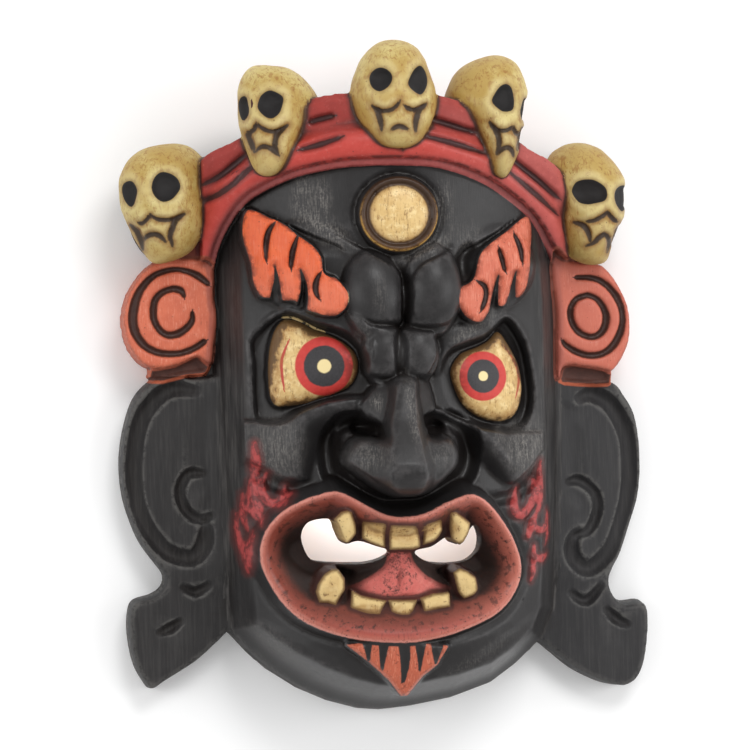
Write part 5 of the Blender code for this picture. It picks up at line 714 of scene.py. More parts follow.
def front_relief(step):
    R = Relief(step)
    head_block(R)
    brow_region(R)
    cheeks(R)
    nose(R)
    third_eye(R)
    eyes(R)
    brows(R)
    mouth(R)
    chin(R)
    R.H = np.where(R.d_head > -2.6, R.H, -6.0)
    head_band(R)
    ears(R)
    rosettes(R)
    skull_feet(R)
    R.solid = R.H.copy()
    for hole in (HOLE_L, HOLE_R):
        w = R.window(hole, 4)
        d, _, _ = depth_in(R.X[w], R.Y[w], hole)
        R.H[w] = np.where(d > 0, 26.0, R.H[w])
    R.H = np.clip(R.H, -6.0, 200.0)
    return R


# ---------------------------------------------------------------- solid of the mask
def waves(X, Y, scale, seed, octaves=3):
    """smooth repeatable unevenness between about -1 and 1, with features near scale mm"""
    rng = np.random.default_rng(seed)
    out = np.zeros(np.shape(X))
    amp, total = 1.0, 0.0
    for _ in range(octaves):
        for _ in range(5):
            a = rng.uniform(0, math.tau)
            k = math.tau / scale * rng.uniform(0.7, 1.35)
            out = out + amp * np.sin(k * (X * math.cos(a) + Y * math.sin(a)) + rng.uniform(0, math.tau)) / 3.2
        total += amp
        amp *= 0.5
        scale *= 0.47
    return out / total


def back_surface(R):
    """height of the underside: flat under the rim, a gouged hollow inside it"""
    n = max(1, int(round(1.8 / R.step)))
    low = R.solid[::n, ::n].copy()
    for _ in range(4):
        low = np.minimum.reduce([low, np.roll(low, 1, 0), np.roll(low, -1, 0), np.roll(low, 1, 1), np.roll(low, -1, 1)])
    for _ in range(7):
        low = (low + np.roll(low, 1, 0) + np.roll(low, -1, 0) + np.roll(low, 1, 1) + np.roll(low, -1, 1)) / 5
    xs, ys = R.X[0, ::n], R.Y[::n, 0]
    rows = np.array([np.interp(R.X[0], xs, r) for r in low])
    fine = np.array([np.interp(R.Y[:, 0], ys, c) for c in rows.T]).T
    z = least(fine - WALL, 3.0 + 2.6 * (R.d_head - RIM), 6.0)
    # marks of the gouge: long shallow scoops side by side, each a little off its neighbour
    X, Y = R.X, R.Y
    u = X + 0.12 * Y + 1.6 * np.sin(Y / 23.0 + 1.0)
    lane = np.floor(u / 7.5)
    across = 1 - (2 * (u / 7.5 - lane) - 1) ** 2
    along = np.abs(np.sin(math.pi * (Y / 31.0 + 0.37 * np.sin(lane * 2.4) + 0.15 * lane)))
    inside = rise(RIM - 2.0, RIM + 8.0, R.d_head)
    z = z - inside * (0.75 - 0.9 * across * np.clip(along * 1.6, 0, 1) ** 0.6) + 0.25 * inside * waves(X, Y, 18, 5)
    return np.where(R.d_head > RIM - 5.5, np.clip(z, -8, 80), -8.0)


def mesh_from(name, co, faces, n):
    me = bpy.data.meshes.new(name)
    me.vertices.add(len(co))
    me.vertices.foreach_set("co", np.ascontiguousarray(co, np.float32).ravel())
    me.loops.add(faces.size)
    me.loops.foreach_set("vertex_index", faces.astype(np.int32).ravel())
    me.polygons.add(len(faces))
    me.polygons.foreach_set("loop_start", np.arange(0, faces.size, n, dtype=np.int32))
    me.update(calc_edges=True)
    return me


def relief_mesh(R):
    """closed surface between the carved front and the underside, open at the mouth holes"""
    top, low = R.solid.copy(), R.B
    ny, nx = R.X.shape
    px, py = R.X.copy(), R.Y.copy()
    gone = np.zeros(R.X.shape, bool)
    sure = np.zeros(R.X.shape, bool)
    for hole in (HOLE_L, HOLE_R):
        w = R.window(hole, 4)
        d, _, _ = depth_in(R.X[w], R.Y[w], curve(hole, 3, True))
        gy, gx = np.gradient(d, R.step)
        near = np.abs(d) < 0.72 * R.step
        px[w] = np.where(near, px[w] - d * gx, px[w])
        py[w] = np.where(near, py[w] - d * gy, py[w])
        gone[w] |= (d > 0) | near
        sure[w] |= (d > 0) & ~near
    corners = lambda A: (A[:-1, :-1], A[:-1, 1:], A[1:, 1:], A[1:, :-1])
    keep = ~(np.logical_and.reduce(corners(gone)) & np.logical_or.reduce(corners(sure)))
    idx = np.arange(ny * nx).reshape(ny, nx)
    a, b, c, d = (q[keep] for q in corners(idx))
    N = ny * nx
    quads = [np.stack([a, b, c, d], 1), np.stack([a, d, c, b], 1) + N]
    K = np.zeros((ny + 1, nx + 1), bool)
    K[1:-1, 1:-1] = keep
    me_ = K[1:-1, 1:-1]
    A, B, C, D = corners(idx)
    for other, p, q in ((K[:-2, 1:-1], A, B), (K[1:-1, 2:], B, C), (K[2:, 1:-1], C, D), (K[1:-1, :-2], D, A)):
        edge = me_ & ~other
        p, q = p[edge], q[edge]
        quads.append(np.stack([q, p, p + N, q + N], 1))
    quads = np.vstack(quads)
    co = np.vstack([np.stack([px.ravel(), py.ravel(), top.ravel()], 1),
                    np.stack([px.ravel(), py.ravel(), low.ravel()], 1)])
    used, inv = np.unique(quads, return_inverse=True)
    return mesh_from("relief", co[used] * MM, inv.reshape(quads.shape), 4)


def skull_body(i):
    """rows of the skull: heights, left and right edge, depth in front and behind about its centre, and lean"""
    cx, cy, cz, outline, front, behind, chin = SKULLS[i]
    c = curve(outline, 12, True)
    lo, hi = c[:, 1].min(), c[:, 1].max()
    mid, half = (lo + hi) / 2, (hi - lo) / 2
    ys = mid + half * np.sin(np.linspace(-math.pi / 2, math.pi / 2, 241))
    left, right = np.zeros(241), np.zeros(241)
    n = len(c)
    for k, y in enumerate(np.clip(ys, lo + 0.004, hi - 0.004)):
        a, b = c, c[(np.arange(n) + 1) % n]
        hit = (a[:, 1] - y) * (b[:, 1] - y) <= 0
        a, b = a[hit], b[hit]
        x = a[:, 0] + (b[:, 0] - a[:, 0]) * (y - a[:, 1]) / np.where(np.abs(b[:, 1] - a[:, 1]) < 1e-9, 1e-9, b[:, 1] - a[:, 1])
        left[k], right[k] = x.min(), x.max()
    u = (ys - mid) / half
    s = np.sqrt(np.clip(1 - u * u, 0, 1))
    e = np.where(u < 0, np.clip(1 - np.abs(u) ** 2.5, 0, 1) ** 0.4, s)
    f = front * e * np.interp(u, [-1, -0.5, 0, 1], [0.78, 0.88, 1.0, 1.0])
    g = behind * s * np.interp(u, [-1, -0.5, 0.1, 1], [0.5, 0.6, 1.0, 1.0])
    # the face leans forward, its chin resting on the roll of the band
    lean = chin * np.clip((0.3 - u) / 1.3, 0, 1) ** 1.2
    return mid, half, ys, left, right, f, g, lean


def skull_sight(i, x, y, z):
    """place on the skull as seen from the viewer, slid back to the plane of the skull's centre"""
    cx, cy, cz = SKULLS[i][:3]
    k = 1 / (VIEWER[2] - cz)
    return x + z * (cx - VIEWER[0]) * k, y + z * (cy - VIEWER[1]) * k


def skull_leant(i, x, y, z, lean, way=1):
    """moves places on the skull forward by the lean, along the line of sight so that the seen outline stays"""
    cx, cy, cz = SKULLS[i][:3]
    k = lean * way / (VIEWER[2] - cz)
    return x - k * (cx - VIEWER[0]), y - k * (cy - VIEWER[1]), z + lean * way


def skull_marks(i, X, Y):
    """at places on a skull's face: depth carved away, and how far inside its painted pits and its dark cuts (mm)"""
    carve = np.zeros(X.shape)
    black = np.full(X.shape, -9.0)
    dark = np.full(X.shape, -9.0)
    face = SKULL_FACES[i]
    for pit in face["pits"]:
        d, _, _ = depth_in(X, Y, curve(pit, 4, True))
        black = np.maximum(black, d)
        carve += 2.6 * rise(-0.35, 1.5, d) + 1.0 * rise(1.5, 4.0, d)
        # the cheekbone and the brow swell a little round the pit
        carve -= 0.45 * np.exp(-((d + 2.6) / 1.7) ** 2)
    for arc in face["arcs"]:
        D, S, G = side_of(X, Y, curve(arc, 5))
        t = np.clip(np.minimum(S, 1 - S) / 0.22, 0, 1) ** 0.6
        below = G > 0
        ramp = np.clip(1 - D / (3.4 * (0.35 + 0.65 * t)), 0, 1)
        carve += np.where(below, 1.75 * t * ramp ** 0.8, 1.75 * t * np.clip(1 - D / 0.45, 0, 1))
        carve -= np.where(~below, 0.55 * t * np.clip(1 - np.abs(D - 2.2) / 2.2, 0, 1), 0)
        dark = np.maximum(dark, np.where(below, 1.55 * t - D, 0.10 - D))
    for groove in face["grooves"]:
        D, S, G = side_of(X, Y, curve(groove, 5))
        t = np.clip(np.minimum(S + 0.05, 1 - S) / 0.35, 0, 1) ** 0.6
        ww = 1.35 * (0.4 + 0.6 * t)
        carve += 1.9 * t * np.clip(1 - (D / (ww + 0.4)) ** 2, 0, 1)
        dark = np.maximum(dark, ww - 0.15 - D)
    D, S, G = side_of(X, Y, curve(face["mouth"], 5))
    t = np.clip(np.minimum(S, 1 - S) / 0.3, 0, 1) ** 0.6
    ww = 1.15 * (0.35 + 0.65 * t)
    carve += 1.6 * t * np.clip(1 - (D / (ww + 0.3)) ** 2, 0, 1)
    dark = np.maximum(dark, ww - 0.1 - D)
    # lips stand a little proud of the mouth
    carve -= 0.35 * np.exp(-((D - 2.4) / 1.1) ** 2) * t
    return carve, black, dark


def skull_mesh(i):
    bm = bmesh.new()
    bmesh.ops.create_uvsphere(bm, u_segments=190, v_segments=130, radius=1.0, matrix=Matrix.Rotation(math.pi / 2, 4, 'X'))
    me = bpy.data.meshes.new("skull")
    bm.to_mesh(me)
    bm.free()
    n = co_of(me)
    mid, half, ys, left, right, f, g, lean = skull_body(i)
    y = mid + half * n[:, 1]
    s = np.sqrt(np.clip(n[:, 0] ** 2 + n[:, 2] ** 2, 1e-9, 1))
    c, t = n[:, 0] / s, n[:, 2] / s
    a, b = np.interp(y, ys, left), np.interp(y, ys, right)
    x = (a + b) / 2 + (b - a) / 2 * c
    z = np.where(t > 0, np.interp(y, ys, f), np.interp(y, ys, g)) * t
    U, V = skull_sight(i, x, y, z)
    carve, _, _ = skull_marks(i, U, V)
    carve = carve * rise(-0.12, 0.12, t)
    carve -= 0.22 * waves(x + 40 * i, y + 0.6 * z, 13.0, 40 + i)
    p = np.stack(skull_leant(i, x, y, z, np.interp(y, ys, lean)), 1) - n * carve[:, None] + np.array(SKULLS[i][:3])
    me.vertices.foreach_set("co", (p * MM).astype(np.float32).ravel())
    me.update()
    return me


def co_of(me):
    co = np.zeros(len(me.vertices) * 3, np.float32)
    me.vertices.foreach_get("co", co)
    return co.reshape(-1, 3).astype(float)


def edges_of(me):
    e = np.zeros(len(me.edges) * 2, np.int32)
    me.edges.foreach_get("vertices", e)
    return e.reshape(-1, 2)


def normals_of(me):
    n = np.zeros(len(me.vertices) * 3, np.float32)
    me.vertices.foreach_get("normal", n)
    return n.reshape(-1, 3).astype(float)


def relax(co, e, n, k=0.5):
    """moves each point towards the mean of its neighbours n times"""
    count = len(co)
    deg = np.bincount(e.ravel(), minlength=count).astype(float)
    co = co.copy()
    for _ in range(n):
        for c in range(co.shape[1]):
            s = np.bincount(e[:, 0], co[e[:, 1], c], count) + np.bincount(e[:, 1], co[e[:, 0], c], count)
            co[:, c] += k * (s / deg - co[:, c])
    return co


def link(name, me):
    ob = bpy.data.objects.new(name, me)
    bpy.context.scene.collection.objects.link(ob)
    return ob


def applied(ob, name):
    deps = bpy.context.evaluated_depsgraph_get()
    deps.update()
    me = bpy.data.meshes.new_from_object(ob.evaluated_get(deps))
    me.name = name
    bpy.data.objects.remove(ob)
    return me


def grown_body(R):
    """relief and skulls as one closed body that stands on the plane of the rim"""
    bm = bmesh.new()
    bm.from_mesh(relief_mesh(R))
    for i in range(5):
        bm.from_mesh(skull_mesh(i))
    me = bpy.data.meshes.new("grown")
    bm.to_mesh(me)
    bm.free()
    ob = link("grown", me)
    m = ob.modifiers.new("Remesh", 'REMESH')
    m.mode = 'VOXEL'
    m.voxel_size = VOXEL * MM
    m.use_smooth_shade = True
    me = applied(ob, "grown")
    bm = bmesh.new()
    bm.from_mesh(me)
    bmesh.ops.bisect_plane(bm, geom=bm.verts[:] + bm.edges[:] + bm.faces[:], dist=1e-6, plane_co=(0, 0, 0),
                           plane_no=(0, 0, -1), clear_outer=True)
    rim = [e for e in bm.edges if e.is_boundary]
    bmesh.ops.triangle_fill(bm, edges=rim, use_beauty=True, use_dissolve=False)
    bmesh.ops.recalc_face_normals(bm, faces=bm.faces[:])
    bm.to_mesh(me)
    bm.free()
    return me


# ---------------------------------------------------------------- where each paint lies
IRISES = [(-31.6, 4.0, 12.2, 12.7), (37.7, -2.1, 10.8, 10.7)]
THIRD = (1.2, 68.3, 16.8, 16.0)
EYE_STROKES = [[(-46.1, 15.2, 0.3), (-49.0, 8.0, 0.6), (-49.3, 1.5, 0.6), (-48.4, -5.6, 0.3)],
               [(47.9, 11.3, 0.3), (53.2, 3.5, 0.6), (54.9, -3.3, 0.7), (53.1, -11.6, 0.3)]]
TONGUE = [(-23.5, -93), (-17.5, -89.2), (-13, -86.6), (-8.8, -83.6), (-6.8, -80), (-6.6, -76.1), (-3.7, -75.3), (0.6, -75.4),
          (3.2, -76.9), (5.2, -81.5), (8.4, -85.6), (12, -88.6), (17.5, -91.4), (22, -93.6), (17, -95.4), (6.7, -97.4),
          (-2, -97.4), (-10, -97.6)]
# pale chipped edges of the lids and of the left brow
CHIPS = [[(-48, 25.6, 0.4), (-44, 25.4, 0.6), (-40.5, 23.8, 0.5), (-36, 21.2, 0.6), (-30, 18.6, 0.3)],
         [(-22.6, 36.5, 0.2), (-21.9, 33, 0.3), (-22.2, 30, 0.2)]]
# patches of dry brushing and rubbed paint, and painted highlight on the cheek planes, the nose and the knots: x, y,
# half sizes, turn, strength
RUB_AND_HIGHLIGHT_SPOTS = [(-38.5, 76, 4.5, 9, 0, 0.8), (-31, 75.5, 3.5, 8, 0, 0.9), (-31.5, 64, 13, 4.5, -38, 1.0), (21.5, 73, 4, 9, 0, 0.55),
          (14, 53.5, 13, 3, 25, 0.6), (31.5, 56.5, 7, 4, 45, 0.45), (31.5, 17.2, 7.5, 3.2, 25, 0.75), (43, 22.5, 5, 3, 35, 0.4),
          (-16.2, -35.2, 7.5, 6, 0, 0.55), (14, -35.4, 6, 5, 0, 0.4), (2.8, -16, 2.6, 15, 4, 0.6), (-10.8, -12.2, 1.8, 3.5, -30, 0.9),
          (-53, -31, 10, 12, 0, 0.75), (57.5, -34, 9.5, 10, 0, 1.1), (44, -27.5, 2.2, 8, -20, 0.6), (-8.5, 33, 3, 9, 0, 0.25),
          (-16, 18, 2.6, 5, 10, 0.4), (-43, -27, 1.6, 9, 12, 0.3), (-54, -116, 13, 4, -38, 0.35), (30, -125, 22, 3, 30, 0.2)]
BRUSHED = [(-53, -31, 11, 13, 0, 1.0), (57.5, -34, 10.5, 12, 0, 1.2), (-69.5, -20, 6.5, 75, 0, 0.9), (70.5, -20, 7.5, 75, 0, 0.9)]


def near(X, Y, P, margin, fill, fn):
    """fn at the places near an outline, and fill elsewhere"""
    P = np.asarray([p[:2] for p in P], float)
    lo, hi = P.min(0) - margin, P.max(0) + margin
    w = (X > lo[0]) & (X < hi[0]) & (Y > lo[1]) & (Y < hi[1])
    out = np.full(X.shape, float(fill))
    if w.any():
        out[w] = fn(X[w], Y[w])
    return out


def area(X, Y, P, smooth=4):
    c = curve(P, smooth, True) if smooth else np.asarray(P, float)
    return near(X, Y, c, 5, -5, lambda x, y: depth_in(x, y, c)[0])


def stroke(X, Y, P, wide, ends=0.3):
    """how far inside a tapering stroke of the brush"""
    c = curve(P, 5)

    def fn(x, y):
        D, S, _ = to_line(x, y, c)
        t = np.clip(np.minimum(S, 1 - S) / ends, 0, 1) ** 0.6
        return wide * (0.35 + 0.65 * t) - D
    return near(X, Y, c, 5, -5, fn)


def grid_at(R, A, X, Y):
    """value of a grid of the relief at places in between"""
    u = np.clip((X - R.X[0, 0]) / R.step, 0, A.shape[1] - 1.001)
    v = np.clip((Y - R.Y[0, 0]) / R.step, 0, A.shape[0] - 1.001)
    j, i = u.astype(int), v.astype(int)
    u, v = u - j, v - i
    return (A[i, j] * (1 - u) * (1 - v) + A[i, j + 1] * u * (1 - v) + A[i + 1, j] * (1 - u) * v + A[i + 1, j + 1] * u * v)


def box_blur(A, n):
    for axis in (0, 1):
        c = np.cumsum(np.concatenate([np.repeat(np.take(A, [0], axis), n + 1, axis), A,
                                      np.repeat(np.take(A, [-1], axis), n, axis)], axis), axis)
        m = A.shape[axis]
        A = (np.take(c, range(2 * n + 1, 2 * n + 1 + m), axis) - np.take(c, range(0, m), axis)) / (2 * n + 1)
    return A


def patches(X, Y, spots):
    """soft oval spots, laid over one another"""
    out = np.zeros(X.shape)
    for cx, cy, rx, ry, turn, power in spots:
        c, s = math.cos(math.radians(turn)), math.sin(math.radians(turn))
        u, v = ((X - cx) * c + (Y - cy) * s) / rx, (-(X - cx) * s + (Y - cy) * c) / ry
        out = np.maximum(out, power * np.clip(1.25 - np.sqrt(u * u + v * v) * 0.85, 0, 1))
    return out


def cuts_at(X, Y, lines):
    """across the nearest of several thin strokes: signed offset, half width there, and how far inside"""
    best = np.full(X.shape, 9.0)
    off = np.full(X.shape, 9.0)
    wide = np.full(X.shape, 0.5)
    into = np.full(X.shape, -5.0)
    for q in lines:
        P = np.array(q, float)
        c = curve(P, 5)
        lo, hi = c[:, :2].min(0) - 4, c[:, :2].max(0) + 4
        w = np.nonzero((X > lo[0]) & (X < hi[0]) & (Y > lo[1]) & (Y < hi[1]))[0]
        D, _, G = side_of(X[w], Y[w], c[:, :2])
        _, _, E = to_line(X[w], Y[w], c)
        t = D < best[w]
        for field, value in ((best, D), (off, D * G), (wide, E), (into, E - D)):
            field[w[t]] = value[t]
    return off, wide, into


def widened(lines, wide, ends=0.25):
    """strokes of one width with narrowed ends"""
    out = []
    for q in lines:
        n = len(q)
        out.append([(x, y, wide * (0.35 + 0.65 * min(1.0, min(k, n - 1 - k) / max(1.0, ends * (n - 1))))) for k, (x, y) in enumerate(q)])
    return out


def fields(R, co, nrm):
    """distances to every painted outline at the points of the mesh, in mm"""
    X, Y, Z = co[:, 0] - SHIFT[0], co[:, 1] - SHIFT[1], co[:, 2]
    F = {}
    r = np.hypot(X - 1.0, Y)
    r1, z1 = around(BAND_LOW, X, Y)
    F["band_s"] = np.clip(r - r1, -30, 60)
    F["band"] = np.minimum.reduce([r - r1, Y - 38, 84 - np.abs(X - 1), Z - 14.0])
    F["slot"], F["slot_w"], F["slot_in"] = cuts_at(X, Y, widened(BAND_LINES, 1.25))
    gaps = np.maximum.reduce([near(X, Y, q, 5, -5, lambda x, y: tapered(x, y, q)) for q in BROW_GAPS])
    F["brow"] = np.minimum(np.maximum(area(X, Y, BROW_L), area(X, Y, BROW_R)), -gaps)
    F["brow_cut"], F["brow_cut_w"], F["brow_cut_in"] = cuts_at(X, Y, widened(BROW_CUTS_L + BROW_CUTS_R, 1.25))
    F["eye"] = np.maximum(area(X, Y, EYE_L), area(X, Y, EYE_R))
    F["eye_red"], F["eye_red_w"], F["eye_red_in"] = cuts_at(X, Y, EYE_STROKES)
    F["chip"] = np.maximum.reduce([near(X, Y, q, 5, -5, lambda x, y: tapered(x, y, q)) for q in CHIPS])
    F["lip"] = near(X, Y, LIP, 8, -8, lambda x, y: depth_in(x, y, curve(LIP, 3, True))[0])
    F["tooth"] = np.maximum.reduce([area(X, Y, T[0], 0) for T in UPPER_TEETH + LOWER_TEETH])
    F["tongue"] = area(X, Y, TONGUE)
    F["flame"] = np.maximum.reduce([near(X, Y, q, 5, -5, lambda x, y: tapered(x, y, q)) for q in FLAMES])
    F["beard"] = np.minimum(area(X, Y, BEARD, 0), -F["lip"] - 1.6)
    F["beard_cut"] = np.maximum.reduce([near(X, Y, q, 5, -5, lambda x, y: tapered(x, y, q)) for q in BEARD_CUTS])
    F["rub"] = patches(X, Y, RUB_AND_HIGHLIGHT_SPOTS)
    head = grid_at(R, R.d_head, X, Y)
    F["streak"] = np.maximum(patches(X, Y, BRUSHED), np.where((Y < 4) & (head < 1), 0.9, 0))
    F["disc"] = np.maximum.reduce([near(X, Y, b, 5, -5, lambda x, y: depth_in(x, y, curve(b, 3, True))[0]) for b, _, _ in ROSETTES])
    F["disc"] = np.where(np.abs(X) > 74.5, F["disc"], -5)
    F["curl"], F["curl_w"], F["curl_in"] = cuts_at(X, Y, CURLS_L + CURLS_R)
    F["recess"] = np.maximum(area(X, Y, RECESS_L, 0), area(X, Y, RECESS_R, 0))
    F["ear"] = np.where((Y < 2) & (head < -0.8), 3.0, -3.0)
    F["head_d"] = np.clip(head, -30, 30)
    skull = np.full(X.shape, -9.0)
    black = np.full(X.shape, -9.0)
    dark = np.full(X.shape, -9.0)
    over = np.full(X.shape, 30.0)
    up = np.zeros(X.shape)
    P = np.stack([X, Y, Z], 1)
    for i in range(5):
        mid, half, ys, left, right, f, g, lean = skull_body(i)
        q = P - np.array(SKULLS[i][:3])
        w = np.nonzero(np.abs(q).max(1) < 38)[0]
        x, y, z = q[w].T
        _, y0, _ = skull_leant(i, x, y, z, np.interp(y, ys, lean), -1)
        x, y, z = skull_leant(i, x, y, z, np.interp(y0, ys, lean), -1)
        a, b = np.interp(y, ys, left), np.interp(y, ys, right)
        ww = np.maximum((b - a) / 2, 0.5)
        dd = np.maximum(np.where(z > 0, np.interp(y, ys, f), np.interp(y, ys, g)), 0.5)
        k = np.sqrt(((x - (a + b) / 2) / ww) ** 2 + (z / dd) ** 2)
        d = 0.85 + (1 - k) * np.minimum(ww, dd) - np.clip(np.abs(y - mid) - half, 0, 30)
        take = d > skull[w]
        w, d, x, y, z = w[take], d[take], x[take], y[take], z[take]
        skull[w] = d
        up[w] = (y - mid) / half
        _, pit, cut = skull_marks(i, *skull_sight(i, x, y, z))
        black[w] = np.where(z > -2, pit, -9)
        dark[w] = np.where(z > -2, cut, -9)
    ground = grid_at(R, box_blur(np.maximum(R.solid, 0), 2), X, Y)
    F["x"], F["y"] = X + SHIFT[0], Y + SHIFT[1]
    F["skull"] = skull
    F["skull_up"] = up
    F["contact"] = np.clip(Z - ground, 0, 30)
    F["pit"] = black
    F["cut"] = dark
    low = grid_at(R, R.B, X, Y)
    F["back"] = np.where((Z < low + 1.4) & (head > 3), 2.0, -2.0)
    F["back"] = np.where(Z < 0.25, 2.0, F["back"])
    return F


def store(me, name, values):
    name = "d_" + name
    a = me.attributes.get(name) or me.attributes.new(name, 'FLOAT', 'POINT')
    a.data.foreach_set("value", np.ascontiguousarray(values, np.float32))


def build_mask():
    R = front_relief(STEP)
    R.B = back_surface(R)
    dense = grown_body(R)
    co, e = co_of(dense) * 1000, edges_of(dense)
    # the voxel steps are eased out without moving the flat rim
    soft = relax(co, e, 2, 0.5)
    flat = co[:, 2] < 0.05
    co = np.where(flat[:, None], co, soft)
    dense.vertices.foreach_set("co", (co * MM).astype(np.float32).ravel())
    dense.update()
    nrm = normals_of(dense)
    fine = ((relax(co, e, 7) - co) * nrm).sum(1)
    wide = ((relax(co, e, 60) - co) * nrm).sum(1)
    store(dense, "fine", fine)
    store(dense, "wide", wide)
    # fewer faces: freely in the hollow and on plain wood, less so where the paint is fine
    ob = link("mask", dense)
    g = ob.vertex_groups.new(name="free")
    x, y = co[:, 0], co[:, 1]
    plain = (co[:, 2] < grid_at(R, R.B, x, y) + 1.0) | (co[:, 2] < 8) | (np.abs(x) > 84) & (y < 52)
    fine_paint = ~plain & (patches(x, y, FINE_PAINT) > 0)
    for what, weight in ((plain, 1.0), (~plain & ~fine_paint, 0.7), (fine_paint, 0.3)):
        g.add(np.nonzero(what)[0].tolist(), weight, 'REPLACE')
    m = ob.modifiers.new("Decimate", 'DECIMATE')
    tris = sum(len(p.vertices) - 2 for p in dense.polygons)
    m.ratio = min(1.0, FACES / tris)
    m.use_collapse_triangulate = True
    m.vertex_group = "free"
    m.vertex_group_factor = KEEP
    me = applied(ob, "mask")
    print("triangles", tris, "to", len(me.polygons))
    tree = KDTree(len(co))
    for i, p in enumerate(co):
        tree.insert(p, i)
    tree.balance()
    near_i = np.array([tree.find(p)[1] for p in co_of(me) * 1000])
    me.transform(Matrix.Translation((SHIFT[0] * MM, SHIFT[1] * MM, 0)))
    p = co_of(me) * 1000
    store(me, "fine", fine[near_i])
    store(me, "wide", wide[near_i])
    # broad hollows and swellings of the whole face, from the relief itself
    n = int(round(5.0 / R.step))
    H = np.maximum(R.H, 0)
    broad = grid_at(R, box_blur(box_blur(H, n), n) - H, p[:, 0] - SHIFT[0], p[:, 1] - SHIFT[1])
    store(me, "broad", broad)
    for k, v in fields(R, p, normals_of(me)).items():
        store(me, k, v)
    me.shade_smooth()
    for gname in list(me.attributes.keys()):
        if gname in ("sharp_face", "sharp_edge"):
            me.attributes.remove(me.attributes[gname])
    return me


# ---------------------------------------------------------------- procedural paint
def lin(r, g, b):
    return tuple((v / 255 / 12.92) if v <= 10 else ((v / 255 + 0.055) / 1.055) ** 2.4 for v in (r, g, b)) + (1.0,)


def once(fn):
    """gives back the socket made before when the same one is asked for again"""
    def ask(self, *a, **k):
        name = lambda v: (v.node.name, v.identifier) if isinstance(v, bpy.types.NodeSocket) else v
        key = (fn.__name__, tuple(name(v) for v in a), tuple((n, name(k[n])) for n in sorted(k)))
        if key not in self.made:
            self.made[key] = fn(self, *a, **k)
        return self.made[key]
    return ask


class Nodes:
    """short way to write a shader tree"""

    def __init__(self, name):
        self.mat = bpy.data.materials.new(name)
        self.mat.use_nodes = True
        self.t = self.mat.node_tree
        self.t.nodes.clear()
        self.out = self.t.nodes.new("ShaderNodeOutputMaterial")
        self.bsdf = self.t.nodes.new("ShaderNodeBsdfPrincipled")
        self.t.links.new(self.bsdf.outputs[0], self.out.inputs["Surface"])
        self.made = {}
        self.coord = self.t.nodes.new("ShaderNodeTexCoord").outputs["Object"]

    def put(self, socket, v):
        if isinstance(v, bpy.types.NodeSocket):
            self.t.links.new(v, socket)
        else:
            socket.default_value = v

    @once
    def place(self, stretch=(1.0, 1.0, 1.0), off=(0.0, 0.0, 0.0)):
        """place on the object in mm, stretched and moved"""
        n = self.t.nodes.new("ShaderNodeMapping")
        n.vector_type = 'POINT'
        self.put(n.inputs["Vector"], self.coord)
        n.inputs["Scale"].default_value = tuple(1000.0 * v for v in stretch)
        n.inputs["Location"].default_value = off
        return n.outputs["Vector"]

    @once
    def math(self, op, a, b=0.0, c=None, clamp=False):
        n = self.t.nodes.new("ShaderNodeMath")
        n.operation = op
        n.use_clamp = clamp
        self.put(n.inputs[0], a)
        self.put(n.inputs[1], b)
        if c is not None:
            self.put(n.inputs[2], c)
        return n.outputs[0]

    def add(self, *vs):
        out = vs[0]
        for v in vs[1:]:
            out = self.math('ADD', out, v)
        return out

    def mul(self, *vs):
        out = vs[0]
        for v in vs[1:]:
            out = self.math('MULTIPLY', out, v)
        return out

    def most(self, a, b):
        return self.math('MAXIMUM', a, b)

    def less(self, a):
        return self.math('SUBTRACT', 1.0, a, clamp=True)

    @once
    def attr(self, name):
        n = self.t.nodes.new("ShaderNodeAttribute")
        n.attribute_name = "d_" + name
        return n.outputs["Fac"]

    @once
    def step(self, x, a, b, lo=0.0, hi=1.0):
        n = self.t.nodes.new("ShaderNodeMapRange")
        n.interpolation_type = 'SMOOTHSTEP'
        self.put(n.inputs["Value"], x)
        n.inputs["From Min"].default_value = a
        n.inputs["From Max"].default_value = b
        n.inputs["To Min"].default_value = lo
        n.inputs["To Max"].default_value = hi
        return n.outputs[0]

    @once
    def mix(self, f, a, b, mode='MIX'):
        n = self.t.nodes.new("ShaderNodeMix")
        n.data_type = 'RGBA'
        n.blend_type = mode
        n.clamp_factor = True
        self.put(n.inputs[0], f)
        self.put(n.inputs[6], a)
        self.put(n.inputs[7], b)
        return n.outputs[2]

    @once
    def blend(self, f, a, b):
        n = self.t.nodes.new("ShaderNodeMix")
        n.data_type = 'FLOAT'
        n.clamp_factor = True
        self.put(n.inputs[0], f)
        self.put(n.inputs[2], a)
        self.put(n.inputs[3], b)
        return n.outputs[0]

    @once
    def noise(self, scale, detail=4.0, rough=0.55, stretch=(1.0, 1.0, 1.0), warp=0.0, off=(0.0, 0.0, 0.0)):
        v = self.place(stretch, off)
        n = self.t.nodes.new("ShaderNodeTexNoise")
        self.put(n.inputs["Vector"], v)
        n.inputs["Scale"].default_value = scale
        n.inputs["Detail"].default_value = detail
        n.inputs["Roughness"].default_value = rough
        n.inputs["Distortion"].default_value = warp
        return n.outputs["Fac"]

    @once
    def cells(self, scale, off=(0.0, 0.0, 0.0)):
        """distance to scattered dots, and a random number for each dot"""
        v = self.place(off=off)
        n = self.t.nodes.new("ShaderNodeTexVoronoi")
        self.put(n.inputs["Vector"], v)
        n.inputs["Scale"].default_value = scale
        sep = self.t.nodes.new("ShaderNodeSeparateColor")
        self.t.links.new(n.outputs["Color"], sep.inputs[0])
        return n.outputs["Distance"], sep.outputs[0]

    def ring(self, cx, cy, rx, ry):
        """distance from a centre as a fraction of the two radii"""
        u = self.mul(self.add(self.attr("x"), -cx - SHIFT[0]), 1 / rx)
        v = self.mul(self.add(self.attr("y"), -cy - SHIFT[1]), 1 / ry)
        return self.math('SQRT', self.add(self.mul(u, u), self.mul(v, v)))


